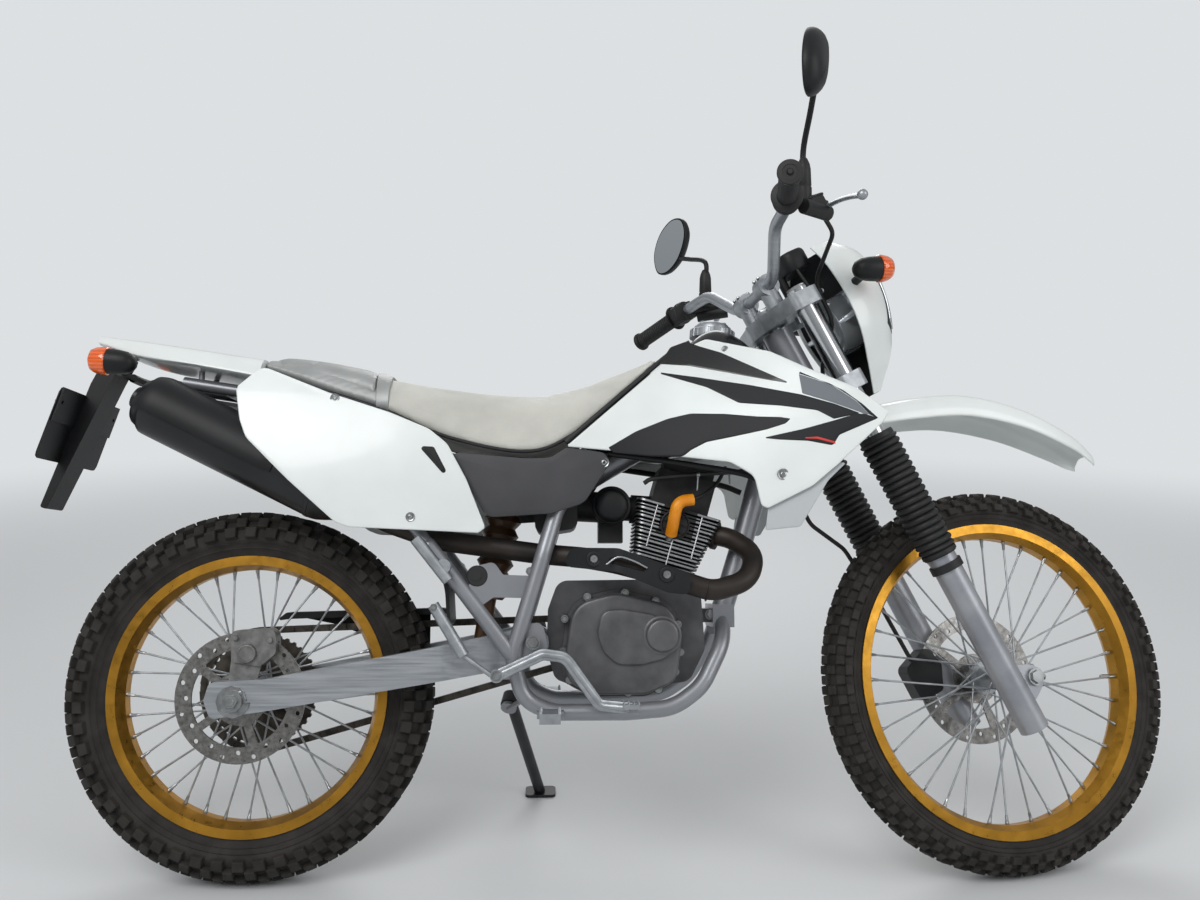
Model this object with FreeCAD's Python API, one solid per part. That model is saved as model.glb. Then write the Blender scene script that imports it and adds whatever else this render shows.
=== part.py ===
import FreeCAD, Part
import functools
import math
import os

# Dual sport motorcycle, leaning on its side stand with the bars turned a little to the left.
# Every piece is drawn on the upright machine with straight bars: X forward from the rear
# axle, Y to the left, Z up from the ground. The last functions turn the bars, lean the
# machine and set it on its two tyres and the foot of the stand. Lengths are millimetres,
# angles are degrees.

Vec = FreeCAD.Vector

# Gaps
SEAT_GAP = 0.3
RUNNING_GAP = 0.5

# Chassis layout
WHEELBASE = 1343.6
RAKE = 27.13
STEER_OFFSET = 60.0
LEAN = 13.84
STEER_ANGLE = 13.28

# Rear wheel
REAR_RADIUS = 322.0
REAR_CROWN = 56.0
REAR_RIM_RADIUS = 242.0
REAR_RIM_HALF = 34.0
REAR_FLANGE_RADIUS = 36.0
REAR_FLANGE_Y = 30.0
REAR_AXLE_RADIUS = 10.0

# Front wheel
FRONT_RADIUS = 343.0
FRONT_CROWN = 42.0
FRONT_RIM_RADIUS = 280.5
FRONT_RIM_HALF = 27.0
FRONT_FLANGE_RADIUS = 30.0
FRONT_FLANGE_Y = 34.0
FRONT_AXLE_RADIUS = 8.5

# Both wheels
SPOKE_COUNT = 36
SPOKE_RADIUS = 1.75
TYRE_WALL = 7.0
TYRE_ARC = 78.0
CROWN_FLATS = 6
FRONT_LUG_DEPTH = 8.0
REAR_LUG_DEPTH = 10.0
FRONT_LUG_ROOT = 4.0
REAR_LUG_ROOT = 5.0
RIM_WALL = 3.0
RIM_LIP = 13.0
RIM_WELL = 9.0
HUB_BARREL_RADIUS = 21.0
FLANGE_THICKNESS = 7.0

# Brake discs
DISC_THICKNESS = 4.0
DISC_BAND = 28.0
DISC_CARRIER_RADIUS = 46.0
DISC_HOLES = 24
DISC_HOLE_RADIUS = 4.0
REAR_DISC_RADIUS = 110.0
REAR_DISC_Y = -73.0
FRONT_DISC_RADIUS = 120.0
FRONT_DISC_Y = 62.0

# Chain drive
CHAIN_PITCH = 15.875
CHAIN_ROLLER = 5.1
CHAIN_HALF_HEIGHT = 7.2
CHAIN_Y = 70.0
CHAIN_WIDTH = 15.0
CHAIN_CORE = 9.0
CHAIN_PLATE = 20.0
PLATE_GAP = 0.2
TOOTH_DEPTH = 4.0
REAR_TEETH = 42
FRONT_TEETH = 15
SPROCKET_THICKNESS = 6.0
COUNTERSHAFT_X = 572.0
COUNTERSHAFT_Z = 412.0

# Fork, in the fork's own axes: x ahead of the steering axis, z along it from the axle
FORK_SPREAD = 100.0
FORK_AHEAD = 20.0
FORK_TUBE_RADIUS = 19.0
FORK_LEG_RADIUS = 25.0
FORK_LEG_LOW = -78.0
FORK_LEG_TOP = 276.0
GAITER_RADIUS = 35.0
GAITER_VALLEY = 31.0
GAITER_RIBS = 12
GAITER_COLLAR = 10.0
GAITER_TOP = 497.0
LOWER_CLAMP_Z = 600.0
UPPER_CLAMP_Z = 770.0
CLAMP_HEIGHT = 30.0
STEM_RADIUS = 13.0
HEAD_RADIUS = 28.0

# Handlebar
BAR_RADIUS = 11.0
BAR_HEIGHT = 828.0
GRIP_RADIUS = 16.0
GRIP_LENGTH = 118.0

# Headlamp, in the fork's own axes
LAMP_BACK = 96.0

# Cable and hose of the fork, in its own axes
CABLE_RADIUS = 3.0
CLIP_HEIGHT = 236.0
CABLE_CLIP = (45, -70, 236)
CABLE_PATH = ((82, -34, 845), (80, -46, 800), (70, -58, 745), (66, -61, 620), (42, -61, 540),
              (41, -60, 262), (47, -75, 220), (50, -75, 160), (60, -73, 90), (60, -73, 12))
HOSE_RADIUS = 4.0
HOSE_PATH = ((44, -244, 890), (84, -190, 842), (78, -72, 795), (76, -70, 715), (76, 46, 655),
             (68, 62, 600), (40, 64, 555), (-30, 66, 530), (-84, 76, 470), (-86, 78, 400),
             (-52, 70, 330), (-44, 64, 220), (-42, 62, 90))

# Frame and swingarm
FRAME_TUBE = 14.0
DOWN_TUBE = 20.0
FOOT_AHEAD = 22.0
BACKBONE = 24.0
TUNNEL_GAP = 6.0
RAIL_TUBE = 11.0
PIVOT_X = 498.0
PIVOT_Z = 417.0
PIVOT_TUBE = 20.0
SHOCK_TOP_X = 452.0
SHOCK_BOLT_Z = 716.0
SHOCK_BOLT = 10.0
SHOCK_COILS = 7
SPRING_START = 40.0
SPRING_LENGTH = 180.0
SPRING_INNER = 25.0
SPRING_OUTER = 34.0

# Engine
CASE_HALF = 56.0
CYLINDER_TILT = 16.0
CYLINDER_FOOT_X = 715.0
CYLINDER_FOOT_Z = 506.0
FIN_COUNT = 9
FIN_PITCH = 13.5
FIN_THICKNESS = 4.5
FIN_HALF = 70.0
INTAKE_JOINT = 671.0

# Exhaust
HEADER_RADIUS = 18.0
MUFFLER_LENGTH = 400.0
MUFFLER_RADIUS = 52.0
MUFFLER_SLOPE = 26.4
MUFFLER_Y = -104.0

# Panels
PANEL_THICKNESS = 3.0
CAP_RADIUS = 42.0
CAP_X = 826.0
CAP_FLOOR = 968.0
FENDER_HALF = 54.0

# Side stand
STAND_PIVOT_X = 450.0
STAND_PIVOT_Y = 138.0
STAND_PIVOT_Z = 292.0
STAND_TUBE = 11.0
STAND_EYE_HALF = 12.0
STAND_BOLT = 6.0
STAND_WELD = (484.0, 114.0, 318.0)
STAND_FOOT_LENGTH = 62.0
STAND_FOOT_WIDTH = 44.0
STAND_FOOT_THICKNESS = 6.0

# Number plate bracket
PLATE_BOLT_RADIUS = 3.5
PLATE_BOLT_SPACING = 210.0
PLATE_BOLT_DROP = 25.0
BRACKET_THICKNESS = 4.0
PLATE_TILT = 17.39
PLATE_TOP = Vec(-309.0, 0, 850.0)

rake = math.radians(RAKE)
STEER_AXIS = Vec(-math.sin(rake), 0, math.cos(rake))
STEER_FORWARD = Vec(math.cos(rake), 0, math.sin(rake))
FRONT_AXLE = Vec(WHEELBASE, 0, FRONT_RADIUS)
REAR_AXLE = Vec(0, 0, REAR_RADIUS)
STEER_FOOT = FRONT_AXLE - STEER_FORWARD * STEER_OFFSET


def fork_point(x, y, z):
    """A point given in the fork's own axes, on the machine with straight bars."""
    return STEER_FOOT + STEER_FORWARD * x + Vec(0, y, 0) + STEER_AXIS * z


def rod(start, end, radius):
    """A round bar between two points."""
    line = end - start
    return Part.makeCylinder(radius, line.Length, start, line)


def fused(solids):
    """One solid from pieces that touch or cross."""
    whole = solids[0]
    for piece in solids[1:]:
        whole = whole.fuse(piece)
    return whole.removeSplitter()


def mirrored(shape):
    """The same piece on the other side of the machine."""
    return shape.mirror(Vec(0, 0, 0), Vec(0, 1, 0))


def rounded_edges(points, radii, closed, chords=False):
    """Lines joined by tangent arcs, or by two chords of each arc, for corners with a radius."""
    count = len(points)
    edges = []
    trail = None
    first = None
    for i, corner in enumerate(points):
        radius = radii[i]
        ending = not closed and i in (0, count - 1)
        if ending or radius <= 0:
            into, out, middle = corner, corner, None
        else:
            back = points[i - 1] - corner
            ahead = points[(i + 1) % count] - corner
            room = 0.45 * min(back.Length, ahead.Length)
            back.normalize()
            ahead.normalize()
            half = back.getAngle(ahead) / 2
            reach = min(radius / math.tan(half), room)
            radius = reach * math.tan(half)
            into = corner + back * reach
            out = corner + ahead * reach
            bisector = back + ahead
            bisector.normalize()
            centre = corner + bisector * (radius / math.sin(half))
            middle = centre - bisector * radius
        if trail is not None and (into - trail).Length > 1e-6:
            edges.append(Part.LineSegment(trail, into).toShape())
        if middle is not None and chords:
            edges.append(Part.LineSegment(into, middle).toShape())
            edges.append(Part.LineSegment(middle, out).toShape())
        elif middle is not None:
            edges.append(Part.Arc(into, middle, out).toShape())
        if first is None:
            first = into
        trail = out
    if closed and (first - trail).Length > 1e-6:
        edges.append(Part.LineSegment(trail, first).toShape())
    return edges


def bent_tube(points, radius, bend):
    """A round tube along straight runs joined by arcs."""
    spots = [Vec(*p) for p in points]
    path = Part.Wire(rounded_edges(spots, [bend] * len(spots), False))
    ring = Part.Wire(Part.makeCircle(radius, spots[0], spots[1] - spots[0]))
    return path.makePipeShell([ring], True, False)


def side_face(outline, y):
    """A flat face at one width from rows of x, z and corner radius."""
    spots = [Vec(row[0], y, row[1]) for row in outline]
    radii = [row[2] for row in outline]
    return Part.Face(Part.Wire(rounded_edges(spots, radii, True)))


def side_prism(outline, y_low, y_high):
    """A side outline carried across the machine."""
    return side_face(outline, y_low).extrude(Vec(0, y_high - y_low, 0))


def plan_prism(outline, z_low, z_high):
    """A plan outline of rows x, y and corner radius, carried upwards."""
    spots = [Vec(row[0], row[1], z_low) for row in outline]
    radii = [row[2] for row in outline]
    face = Part.Face(Part.Wire(rounded_edges(spots, radii, True)))
    return face.extrude(Vec(0, 0, z_high - z_low))


def turned(profile):
    """A ring about the wheel's axle from rows of radius, width and corner radius."""
    spots = [Vec(row[0], row[1], 0) for row in profile]
    radii = [row[2] for row in profile]
    face = Part.Face(Part.Wire(rounded_edges(spots, radii, True)))
    return face.revolve(Vec(0, 0, 0), Vec(0, 1, 0), 360)


def hull_section(x, rows):
    """A closed cross section at one x from rows of half width, z and corner radius."""
    right = [Vec(x, -row[0], row[1]) for row in rows]
    left = [Vec(x, row[0], row[1]) for row in reversed(rows)]
    radii = [row[2] for row in rows]
    return Part.Wire(rounded_edges(right + left, radii + radii[::-1], True, True))


def body_loft(sections):
    """A body lofted along the machine from cross sections."""
    wires = [hull_section(x, rows) for x, rows in sections]
    return Part.makeLoft(wires, True, False)


def panel_skin(stations, heights, thickness):
    """A thin curved wall on the right: at each x, its distance out at the named heights."""
    wires = []
    for x, widths in stations:
        outer = [Vec(x, -w, z) for w, z in zip(widths, heights)]
        inner = [Vec(x, -w + thickness, z) for w, z in zip(widths, heights)]
        edges = rounded_edges(outer, [90.0] * len(outer), False, True)
        back = rounded_edges(inner[::-1], [90.0] * len(inner), False, True)
        edges.append(Part.LineSegment(outer[-1], inner[-1]).toShape())
        edges.extend(back)
        edges.append(Part.LineSegment(inner[0], outer[0]).toShape())
        wires.append(Part.Wire(edges))
    return Part.makeLoft(wires, True, False)


def fork_prism(outline, y_low, y_high):
    """An outline of fork rows x, z and corner radius, carried across the fork."""
    spots = [fork_point(row[0], y_low, row[1]) for row in outline]
    radii = [row[2] for row in outline]
    face = Part.Face(Part.Wire(rounded_edges(spots, radii, True)))
    return face.extrude(Vec(0, y_high - y_low, 0))


def fork_slab(outline, z_low, z_high):
    """An outline of fork rows x, y and corner radius, carried along the steering axis."""
    spots = [fork_point(row[0], row[1], z_low) for row in outline]
    radii = [row[2] for row in outline]
    face = Part.Face(Part.Wire(rounded_edges(spots, radii, True)))
    return face.extrude(STEER_AXIS * (z_high - z_low))


# Wheels, drawn about their own axle


# Lugs of one pitch: share of the pitch, angle across the crown, width and length
FRONT_LUGS = ((0.0, 0.0, 20.0, 18.0), (0.5, 50.0, 26.0, 20.0), (0.5, -50.0, 26.0, 20.0))
REAR_LUGS = ((0.0, 0.0, 28.0, 22.0), (0.5, 50.0, 34.0, 26.0), (0.5, -50.0, 34.0, 26.0))
FRONT_PITCHES = 40
REAR_PITCHES = 36


def lowest_turn(axle_rotation):
    """Turn about the axle that brings the first lug of the middle row to the ground."""
    down = axle_rotation.inverted().multVec(Vec(0, 0, -1))
    return -math.degrees(math.atan2(down.z, down.x))


def lug_blocks(radius, crown, low, step, count, rows):
    """Blocks of the tread: the corners of each block's top lie on the tyre's round crown."""
    blocks = []
    for share, across, width, length in rows:
        top = math.sqrt(crown ** 2 - width ** 2 / 4)
        for k in range(count):
            block = Part.makeBox(top - low, width, length, Vec(low, -width / 2, -length / 2))
            block.rotate(Vec(0, 0, 0), Vec(0, 0, 1), across)
            block.translate(Vec(radius - crown, 0, 0))
            block.rotate(Vec(0, 0, 0), Vec(0, 1, 0), -(k + share) * step)
            blocks.append(block)
    return blocks


def knobbed_tyre(face, blocks, step, turn):
    """A quarter of the carcass with its lugs, made once and set round the wheel four times."""
    quarter = face.copy()
    quarter.rotate(Vec(0, 0, 0), Vec(0, 1, 0), 0.25 * step)
    quarter = quarter.revolve(Vec(0, 0, 0), Vec(0, -1, 0), 90).multiFuse(blocks)
    quarters = []
    for k in range(4):
        piece = quarter.copy()
        piece.rotate(Vec(0, 0, 0), Vec(0, 1, 0), turn + k * 90.0)
        quarters.append(piece)
    return quarters[0].multiFuse(quarters[1:])


def crown_points(centre, bow):
    """Corners of the crown's flats, from the left wall to the right."""
    points = []
    for k in range(CROWN_FLATS + 1):
        angle = math.radians(TYRE_ARC * (1 - 2.0 * k / CROWN_FLATS))
        points.append((centre + bow * math.cos(angle), bow * math.sin(angle)))
    return points


def carcass_face(radius, crown, rim_radius, rim_half):
    """Section of the carcass: a crown in six flats under the lugs, and walls to the beads."""
    centre = radius - crown
    bead = rim_radius - RIM_LIP + SEAT_GAP
    bead_out = rim_half - RIM_WALL - SEAT_GAP
    neck = rim_radius + SEAT_GAP
    outer = [(bead, bead_out), (neck, bead_out)] + crown_points(centre, crown)
    outer += [(neck, -bead_out), (bead, -bead_out)]
    inner = [(bead, bead_out - TYRE_WALL)] + crown_points(centre, crown - TYRE_WALL)
    inner += [(bead, TYRE_WALL - bead_out)]
    outline = outer + inner[::-1]
    spots = [Vec(height, y, 0) for height, y in outline]
    return Part.Face(Part.makePolygon(spots + spots[:1]))


def rim(rim_radius, rim_half):
    """Rim with two lips, bead seats and a well."""
    seat = rim_radius - RIM_LIP
    well = seat - RIM_WELL
    lip = rim_half - RIM_WALL
    profile = (
        (rim_radius, -rim_half, 0), (rim_radius, -lip, 0), (seat, -lip, 0), (seat, -14, 0),
        (well, -9, 0), (well, 9, 0), (seat, 14, 0), (seat, lip, 0),
        (rim_radius, lip, 0), (rim_radius, rim_half, 0), (seat - 3, rim_half, 0),
        (well - 3, 11, 0), (well - 3, -11, 0), (seat - 3, -rim_half, 0),
    )
    return turned(profile)


def hub(flange_radius, flange_y, low_y, high_y, axle_radius, rim_radius):
    """Hub with two flanges and its laced spokes."""
    barrel = rod(Vec(0, low_y, 0), Vec(0, high_y, 0), HUB_BARREL_RADIUS)
    pieces = [barrel]
    half = FLANGE_THICKNESS / 2
    for side in (1, -1):
        middle = side * flange_y
        pieces.append(rod(Vec(0, middle - half, 0), Vec(0, middle + half, 0), flange_radius))
    tip = rim_radius - RIM_LIP - RIM_WELL - 3 - RUNNING_GAP
    turn = 360.0 / SPOKE_COUNT
    for k in range(SPOKE_COUNT):
        side = 1 if k % 2 else -1
        outer = (k // 2) % 2
        lead = 56.0 if outer else -56.0
        hub_y = side * flange_y + (2.2 if outer else -2.2) * side
        rim_y = side * (6.0 if outer else 1.5)
        rim_turn = math.radians(k * turn)
        hub_turn = math.radians(k * turn + lead)
        root = flange_radius - 5
        start = Vec(root * math.cos(hub_turn), hub_y, root * math.sin(hub_turn))
        end = Vec(tip * math.cos(rim_turn), rim_y, tip * math.sin(rim_turn))
        pieces.append(rod(start, end, SPOKE_RADIUS))
    whole = pieces[0].multiFuse(pieces[1:])
    return whole.cut(rod(Vec(0, low_y - 1, 0), Vec(0, high_y + 1, 0), axle_radius + SEAT_GAP))


def disc(radius, y, bore):
    """Brake disc: a drilled braking band on five arms."""
    low = y - DISC_THICKNESS / 2
    high = y + DISC_THICKNESS / 2
    band = rod(Vec(0, low, 0), Vec(0, high, 0), radius)
    band = band.cut(rod(Vec(0, low - 1, 0), Vec(0, high + 1, 0), radius - DISC_BAND))
    carrier = rod(Vec(0, low, 0), Vec(0, high, 0), DISC_CARRIER_RADIUS)
    pieces = [band, carrier]
    for k in range(5):
        arm = Part.makeBox(radius - DISC_BAND / 2, DISC_THICKNESS, 14, Vec(0, low, -7))
        arm.rotate(Vec(0, 0, 0), Vec(0, 1, 0), k * 72.0)
        pieces.append(arm)
    whole = fused(pieces)
    drills = [rod(Vec(0, low - 1, 0), Vec(0, high + 1, 0), bore)]
    for k in range(DISC_HOLES):
        angle = 2 * math.pi * k / DISC_HOLES
        row = radius - DISC_BAND * (0.33 if k % 2 else 0.67)
        spot = Vec(row * math.cos(angle), low - 1, row * math.sin(angle))
        drills.append(rod(spot, spot + Vec(0, DISC_THICKNESS + 2, 0), DISC_HOLE_RADIUS))
    return whole.cut(drills)


REAR_PITCH_RADIUS = CHAIN_PITCH / (2 * math.sin(math.pi / REAR_TEETH))
FRONT_PITCH_RADIUS = CHAIN_PITCH / (2 * math.sin(math.pi / FRONT_TEETH))


def sprocket(pitch_radius, teeth, y, bore):
    """Sprocket whose teeth stay inside the rollers of the chain."""
    low = y - SPROCKET_THICKNESS / 2
    high = y + SPROCKET_THICKNESS / 2
    tip = pitch_radius - CHAIN_ROLLER - RUNNING_GAP
    root = tip - TOOTH_DEPTH
    outline = []
    for k in range(teeth):
        for share, reach in ((0.0, root), (0.3, root), (0.5, tip), (0.8, tip)):
            angle = 2 * math.pi * (k + share) / teeth
            outline.append((reach * math.cos(angle), reach * math.sin(angle), 0))
    plate = side_prism(outline, low, high)
    return plate.cut(rod(Vec(0, low - 1, 0), Vec(0, high + 1, 0), bore))


def front_tyre():
    """Knobbed front tyre, with a lug of the middle row where it meets the ground."""
    carcass = FRONT_CROWN - FRONT_LUG_DEPTH
    step = 360.0 / FRONT_PITCHES
    face = carcass_face(FRONT_RADIUS - FRONT_LUG_DEPTH, carcass, FRONT_RIM_RADIUS, FRONT_RIM_HALF)
    blocks = lug_blocks(FRONT_RADIUS, FRONT_CROWN, carcass - FRONT_LUG_ROOT, step,
                        FRONT_PITCHES // 4, FRONT_LUGS)
    turn = lowest_turn(STAND.multiply(STEER_TURN).Rotation)
    return knobbed_tyre(face, blocks, step, turn)


def front_rim():
    return rim(FRONT_RIM_RADIUS, FRONT_RIM_HALF)


def front_hub():
    disc_face = FRONT_DISC_Y - DISC_THICKNESS / 2
    return hub(FRONT_FLANGE_RADIUS, FRONT_FLANGE_Y, -58.0, disc_face, FRONT_AXLE_RADIUS,
               FRONT_RIM_RADIUS)


def front_disc():
    return disc(FRONT_DISC_RADIUS, FRONT_DISC_Y, FRONT_AXLE_RADIUS + 6)


def rear_tyre():
    """Knobbed rear tyre, with a lug of the middle row where it meets the ground."""
    carcass = REAR_CROWN - REAR_LUG_DEPTH
    step = 360.0 / REAR_PITCHES
    face = carcass_face(REAR_RADIUS - REAR_LUG_DEPTH, carcass, REAR_RIM_RADIUS, REAR_RIM_HALF)
    blocks = lug_blocks(REAR_RADIUS, REAR_CROWN, carcass - REAR_LUG_ROOT, step,
                        REAR_PITCHES // 4, REAR_LUGS)
    return knobbed_tyre(face, blocks, step, lowest_turn(STAND.Rotation))


def rear_rim():
    return rim(REAR_RIM_RADIUS, REAR_RIM_HALF)


def rear_hub():
    disc_face = REAR_DISC_Y + DISC_THICKNESS / 2
    sprocket_face = CHAIN_Y - SPROCKET_THICKNESS / 2
    return hub(REAR_FLANGE_RADIUS, REAR_FLANGE_Y, disc_face, sprocket_face, REAR_AXLE_RADIUS,
               REAR_RIM_RADIUS)


def rear_disc():
    return disc(REAR_DISC_RADIUS, REAR_DISC_Y, REAR_AXLE_RADIUS + 6)


def rear_sprocket():
    return sprocket(REAR_PITCH_RADIUS, REAR_TEETH, CHAIN_Y, REAR_AXLE_RADIUS + 6)


# Frame


def head_bottom():
    return fork_point(0, 0, LOWER_CLAMP_Z + CLAMP_HEIGHT / 2 + 5)


def head_top():
    return fork_point(0, 0, UPPER_CLAMP_Z - CLAMP_HEIGHT / 2 - 5)


DOWN_KNEE = Vec(871, 0, 571)
DOWN_FOOT = Vec(836, 0, 462)
BACKBONE_REAR = Vec(590, 0, 706)
RAIL_PATH = ((590, -76, 706), (480, -78, 700), (300, -78, 745), (140, -70, 815), (0, -46, 852),
             (-130, -40, 872))


def backbone_front():
    return fork_point(0, 0, UPPER_CLAMP_Z - 75)


@functools.lru_cache(None)
def frame_front():
    """Head tube, single down tube and the plate that takes the two cradle tubes."""
    outer = rod(head_bottom(), head_top(), HEAD_RADIUS)
    start = fork_point(0, 0, UPPER_CLAMP_Z - 80)
    down = bent_tube((tuple(start), tuple(DOWN_KNEE), tuple(DOWN_FOOT)), DOWN_TUBE, 400.0)
    foot = Part.makeBox(38, 100, 40, Vec(DOWN_FOOT.x - FOOT_AHEAD, -50, DOWN_FOOT.z - 24))
    spine = rod(fork_point(-6, 0, UPPER_CLAMP_Z - 75), gusset_end(), BACKBONE)
    whole = fused([outer, down, foot, spine])
    bore = rod(head_bottom() - STEER_AXIS * 2, head_top() + STEER_AXIS * 2, STEM_RADIUS + RUNNING_GAP)
    return whole.cut(bore)


def spine_lines():
    """Directions along the backbone and square above it."""
    line = backbone_front() - BACKBONE_REAR
    line.normalize()
    return line, Vec(-line.z, 0, line.x)


def gusset_end():
    """Where the stub of the spine behind the head meets the backbone."""
    front = backbone_front()
    return front + (BACKBONE_REAR - front) * 0.2


def rear_rail(grow):
    """Right seat rail, or the space round it when grown."""
    return bent_tube(RAIL_PATH, RAIL_TUBE + grow, 160.0)


def frame_backbone():
    """Backbone with its rear cross tube and the two seat rails."""
    spine = rod(gusset_end(), BACKBONE_REAR, BACKBONE)
    cross = rod(BACKBONE_REAR + Vec(0, -88, 0), BACKBONE_REAR + Vec(0, 88, 0), 16.0)
    pieces = [spine, cross]
    rail = rear_rail(0)
    pieces.extend([rail, mirrored(rail)])
    for x, z, half, radius in ((SHOCK_TOP_X, SHOCK_BOLT_Z, 78, SHOCK_BOLT), (-60, 861, 44, 8)):
        pieces.append(rod(Vec(x, -half, z), Vec(x, half, z), radius))
    line, up = spine_lines()
    for along in (120, 290):
        spot = BACKBONE_REAR + line * along
        pieces.append(rod(spot, spot + up * (BACKBONE + TUNNEL_GAP - SEAT_GAP), 10))
    for side in (1, -1):
        for x, y, low, high in ((-100, 41, 868, 892.8), (5, 47, 829.6, 872.6), (240, 75, 771, 811)):
            pieces.append(rod(Vec(x, side * y, low), Vec(x, side * y, high), 5))
    return fused(pieces).cut(frame_front())


CRADLE_PATH = (
    (832, -30, 458), (828, -74, 415), (786, -100, 340), (736, -110, 306), (657, -112, 300),
    (530, -112, 300), (482, -114, 322), (463, -118, 394), (516, -114, 570), (536, -94, 640),
    (566, -80, 692),
)
STAY_PATH = ((470, -118, 385), (319, -113, 580), (165, -88, 772))


def frame_cradle():
    """Cradle tube under the engine, pivot tube, rear stay and gusset plate of the right side."""
    tube = bent_tube(CRADLE_PATH, FRAME_TUBE, 90.0)
    stay = rod(Vec(*STAY_PATH[0]), Vec(*STAY_PATH[1]), FRAME_TUBE - 1)
    upper = rod(Vec(*STAY_PATH[1]), Vec(*STAY_PATH[2]), FRAME_TUBE - 3)
    knee = Part.makeSphere(FRAME_TUBE - 1, Vec(*STAY_PATH[1]))
    plate = side_prism(((384, 500, 6), (400, 545, 14), (430, 552, 12), (446, 530, 6),
                        (508, 528, 6), (500, 490, 6), (430, 492, 6), (408, 476, 6)), -116, -110)
    lug = side_prism(((476, 446, 10), (514, 450, 14), (524, 404, 20), (500, 380, 16),
                      (462, 392, 10)), -115, -106)
    whole = fused([tube, stay, upper, knee, plate, lug])
    foot = Part.makeBox(60, 100, 60, Vec(DOWN_FOOT.x - 40, -50, DOWN_FOOT.z - 40))
    whole = whole.cut(foot)
    whole = whole.cut(rod(Vec(PIVOT_X, -130, PIVOT_Z), Vec(PIVOT_X, -100, PIVOT_Z), 9.0))
    cross = rod(BACKBONE_REAR + Vec(0, -90, 0), BACKBONE_REAR + Vec(0, 90, 0), 16.0 + SEAT_GAP)
    whole = whole.cut(cross)
    whole = whole.cut(rear_rail(SEAT_GAP))
    solids = sorted(whole.Solids, key=lambda s: s.Volume)
    return solids[-1]


def frame_cradle_right():
    """The right tube also carries the lug of the brake pedal."""
    return fused([frame_cradle(), rod(Vec(471, -116, 364), Vec(439, -116, 364), 9)])


def frame_cradle_left():
    """The left tube also carries the bracket and the bolt of the side stand."""
    return fused([mirrored(frame_cradle()), stand_bracket()])


# Engine


def crankcase():
    """Crankcase between its two covers, with the shaft and sprocket that drive the chain."""
    case = side_prism(((522, 470, 20), (540, 520, 25), (700, 522, 10), (792, 500, 20),
                       (798, 400, 30), (770, 345, 25), (600, 326, 30), (535, 350, 20),
                       (520, 400, 10)), -CASE_HALF, CASE_HALF)
    face = DOWN_FOOT.x - FOOT_AHEAD - SEAT_GAP
    hanger = Part.makeBox(face - 780, 60, 24, Vec(780, -30, 446))
    shaft_low = Vec(COUNTERSHAFT_X, CASE_HALF, COUNTERSHAFT_Z)
    shaft_high = Vec(COUNTERSHAFT_X, CHAIN_Y + 8, COUNTERSHAFT_Z)
    shaft = rod(shaft_low, shaft_high, 12.0)
    wheel = sprocket(FRONT_PITCH_RADIUS, FRONT_TEETH, CHAIN_Y, 5.0)
    wheel.translate(Vec(COUNTERSHAFT_X, 0, COUNTERSHAFT_Z))
    return fused([case, hanger, shaft, wheel])


def engine_covers():
    """Clutch cover on the right, generator cover on the left."""
    clutch = side_prism(((552, 395, 45), (565, 480, 45), (640, 500, 60), (735, 478, 45),
                         (752, 420, 35), (742, 350, 30), (690, 328, 30), (600, 328, 30),
                         (556, 350, 25)), -112, -CASE_HALF)
    raised = rod(Vec(648, -112, 415), Vec(648, -122, 415), 72)
    small = rod(Vec(716, -112, 428), Vec(716, -132, 428), 30)
    generator = rod(Vec(694, CASE_HALF, 402), Vec(694, 100, 402), 64)
    cap = rod(Vec(694, 100, 402), Vec(694, 108, 402), 40)
    return Part.makeCompound([fused([clutch, raised, small]), fused([generator, cap])])


def tilted(solids):
    """Pieces drawn upright on the cylinder's foot, leaned forward with the cylinder."""
    whole = fused(solids)
    whole.rotate(Vec(0, 0, 0), Vec(0, 1, 0), CYLINDER_TILT)
    whole.translate(Vec(CYLINDER_FOOT_X, 0, CYLINDER_FOOT_Z))
    return whole


FIRST_FIN = 34.0


def cylinder_fin(k):
    low = FIRST_FIN + k * FIN_PITCH
    grow = 56.0 + 2.6 * k
    return plan_prism(((-grow, -FIN_HALF, 14), (grow, -FIN_HALF, 14), (grow, FIN_HALF, 14),
                       (-grow, FIN_HALF, 14)), low, low + FIN_THICKNESS)


@functools.lru_cache(None)
def cylinder():
    """Cylinder barrel with its lower fins."""
    barrel = rod(Vec(0, 0, 22), Vec(0, 0, FIRST_FIN + 4 * FIN_PITCH + FIN_THICKNESS), 50)
    return tilted([barrel] + [cylinder_fin(k) for k in range(5)])


@functools.lru_cache(None)
def cylinder_head():
    """Head with the upper fins, rocker cover, ports and plug seat."""
    foot = FIRST_FIN + 4 * FIN_PITCH + FIN_THICKNESS
    core = Part.makeBox(104, 104, 118, Vec(-52, -52, foot))
    top = Part.makeBox(92, 92, 20, Vec(-46, -46, foot + 118))
    whole = tilted([core, top] + [cylinder_fin(k) for k in range(5, FIN_COUNT)])
    inlet = rod(Vec(INTAKE_JOINT, 0, 650), Vec(716, 0, 647), 26)
    outlet = rod(Vec(*HEADER_PATH[0]), Vec(760, -16, 616), 24)
    return fused([whole, inlet, outlet])


def plug_cap():
    """Cap of the spark plug on the right of the head."""
    cap = rod(Vec(746, -FIN_HALF - SEAT_GAP, 620), Vec(746, -92, 623), 9)
    elbow = rod(Vec(746, -88, 612), Vec(741, -88, 648), 8)
    return fused([cap, elbow])


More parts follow.
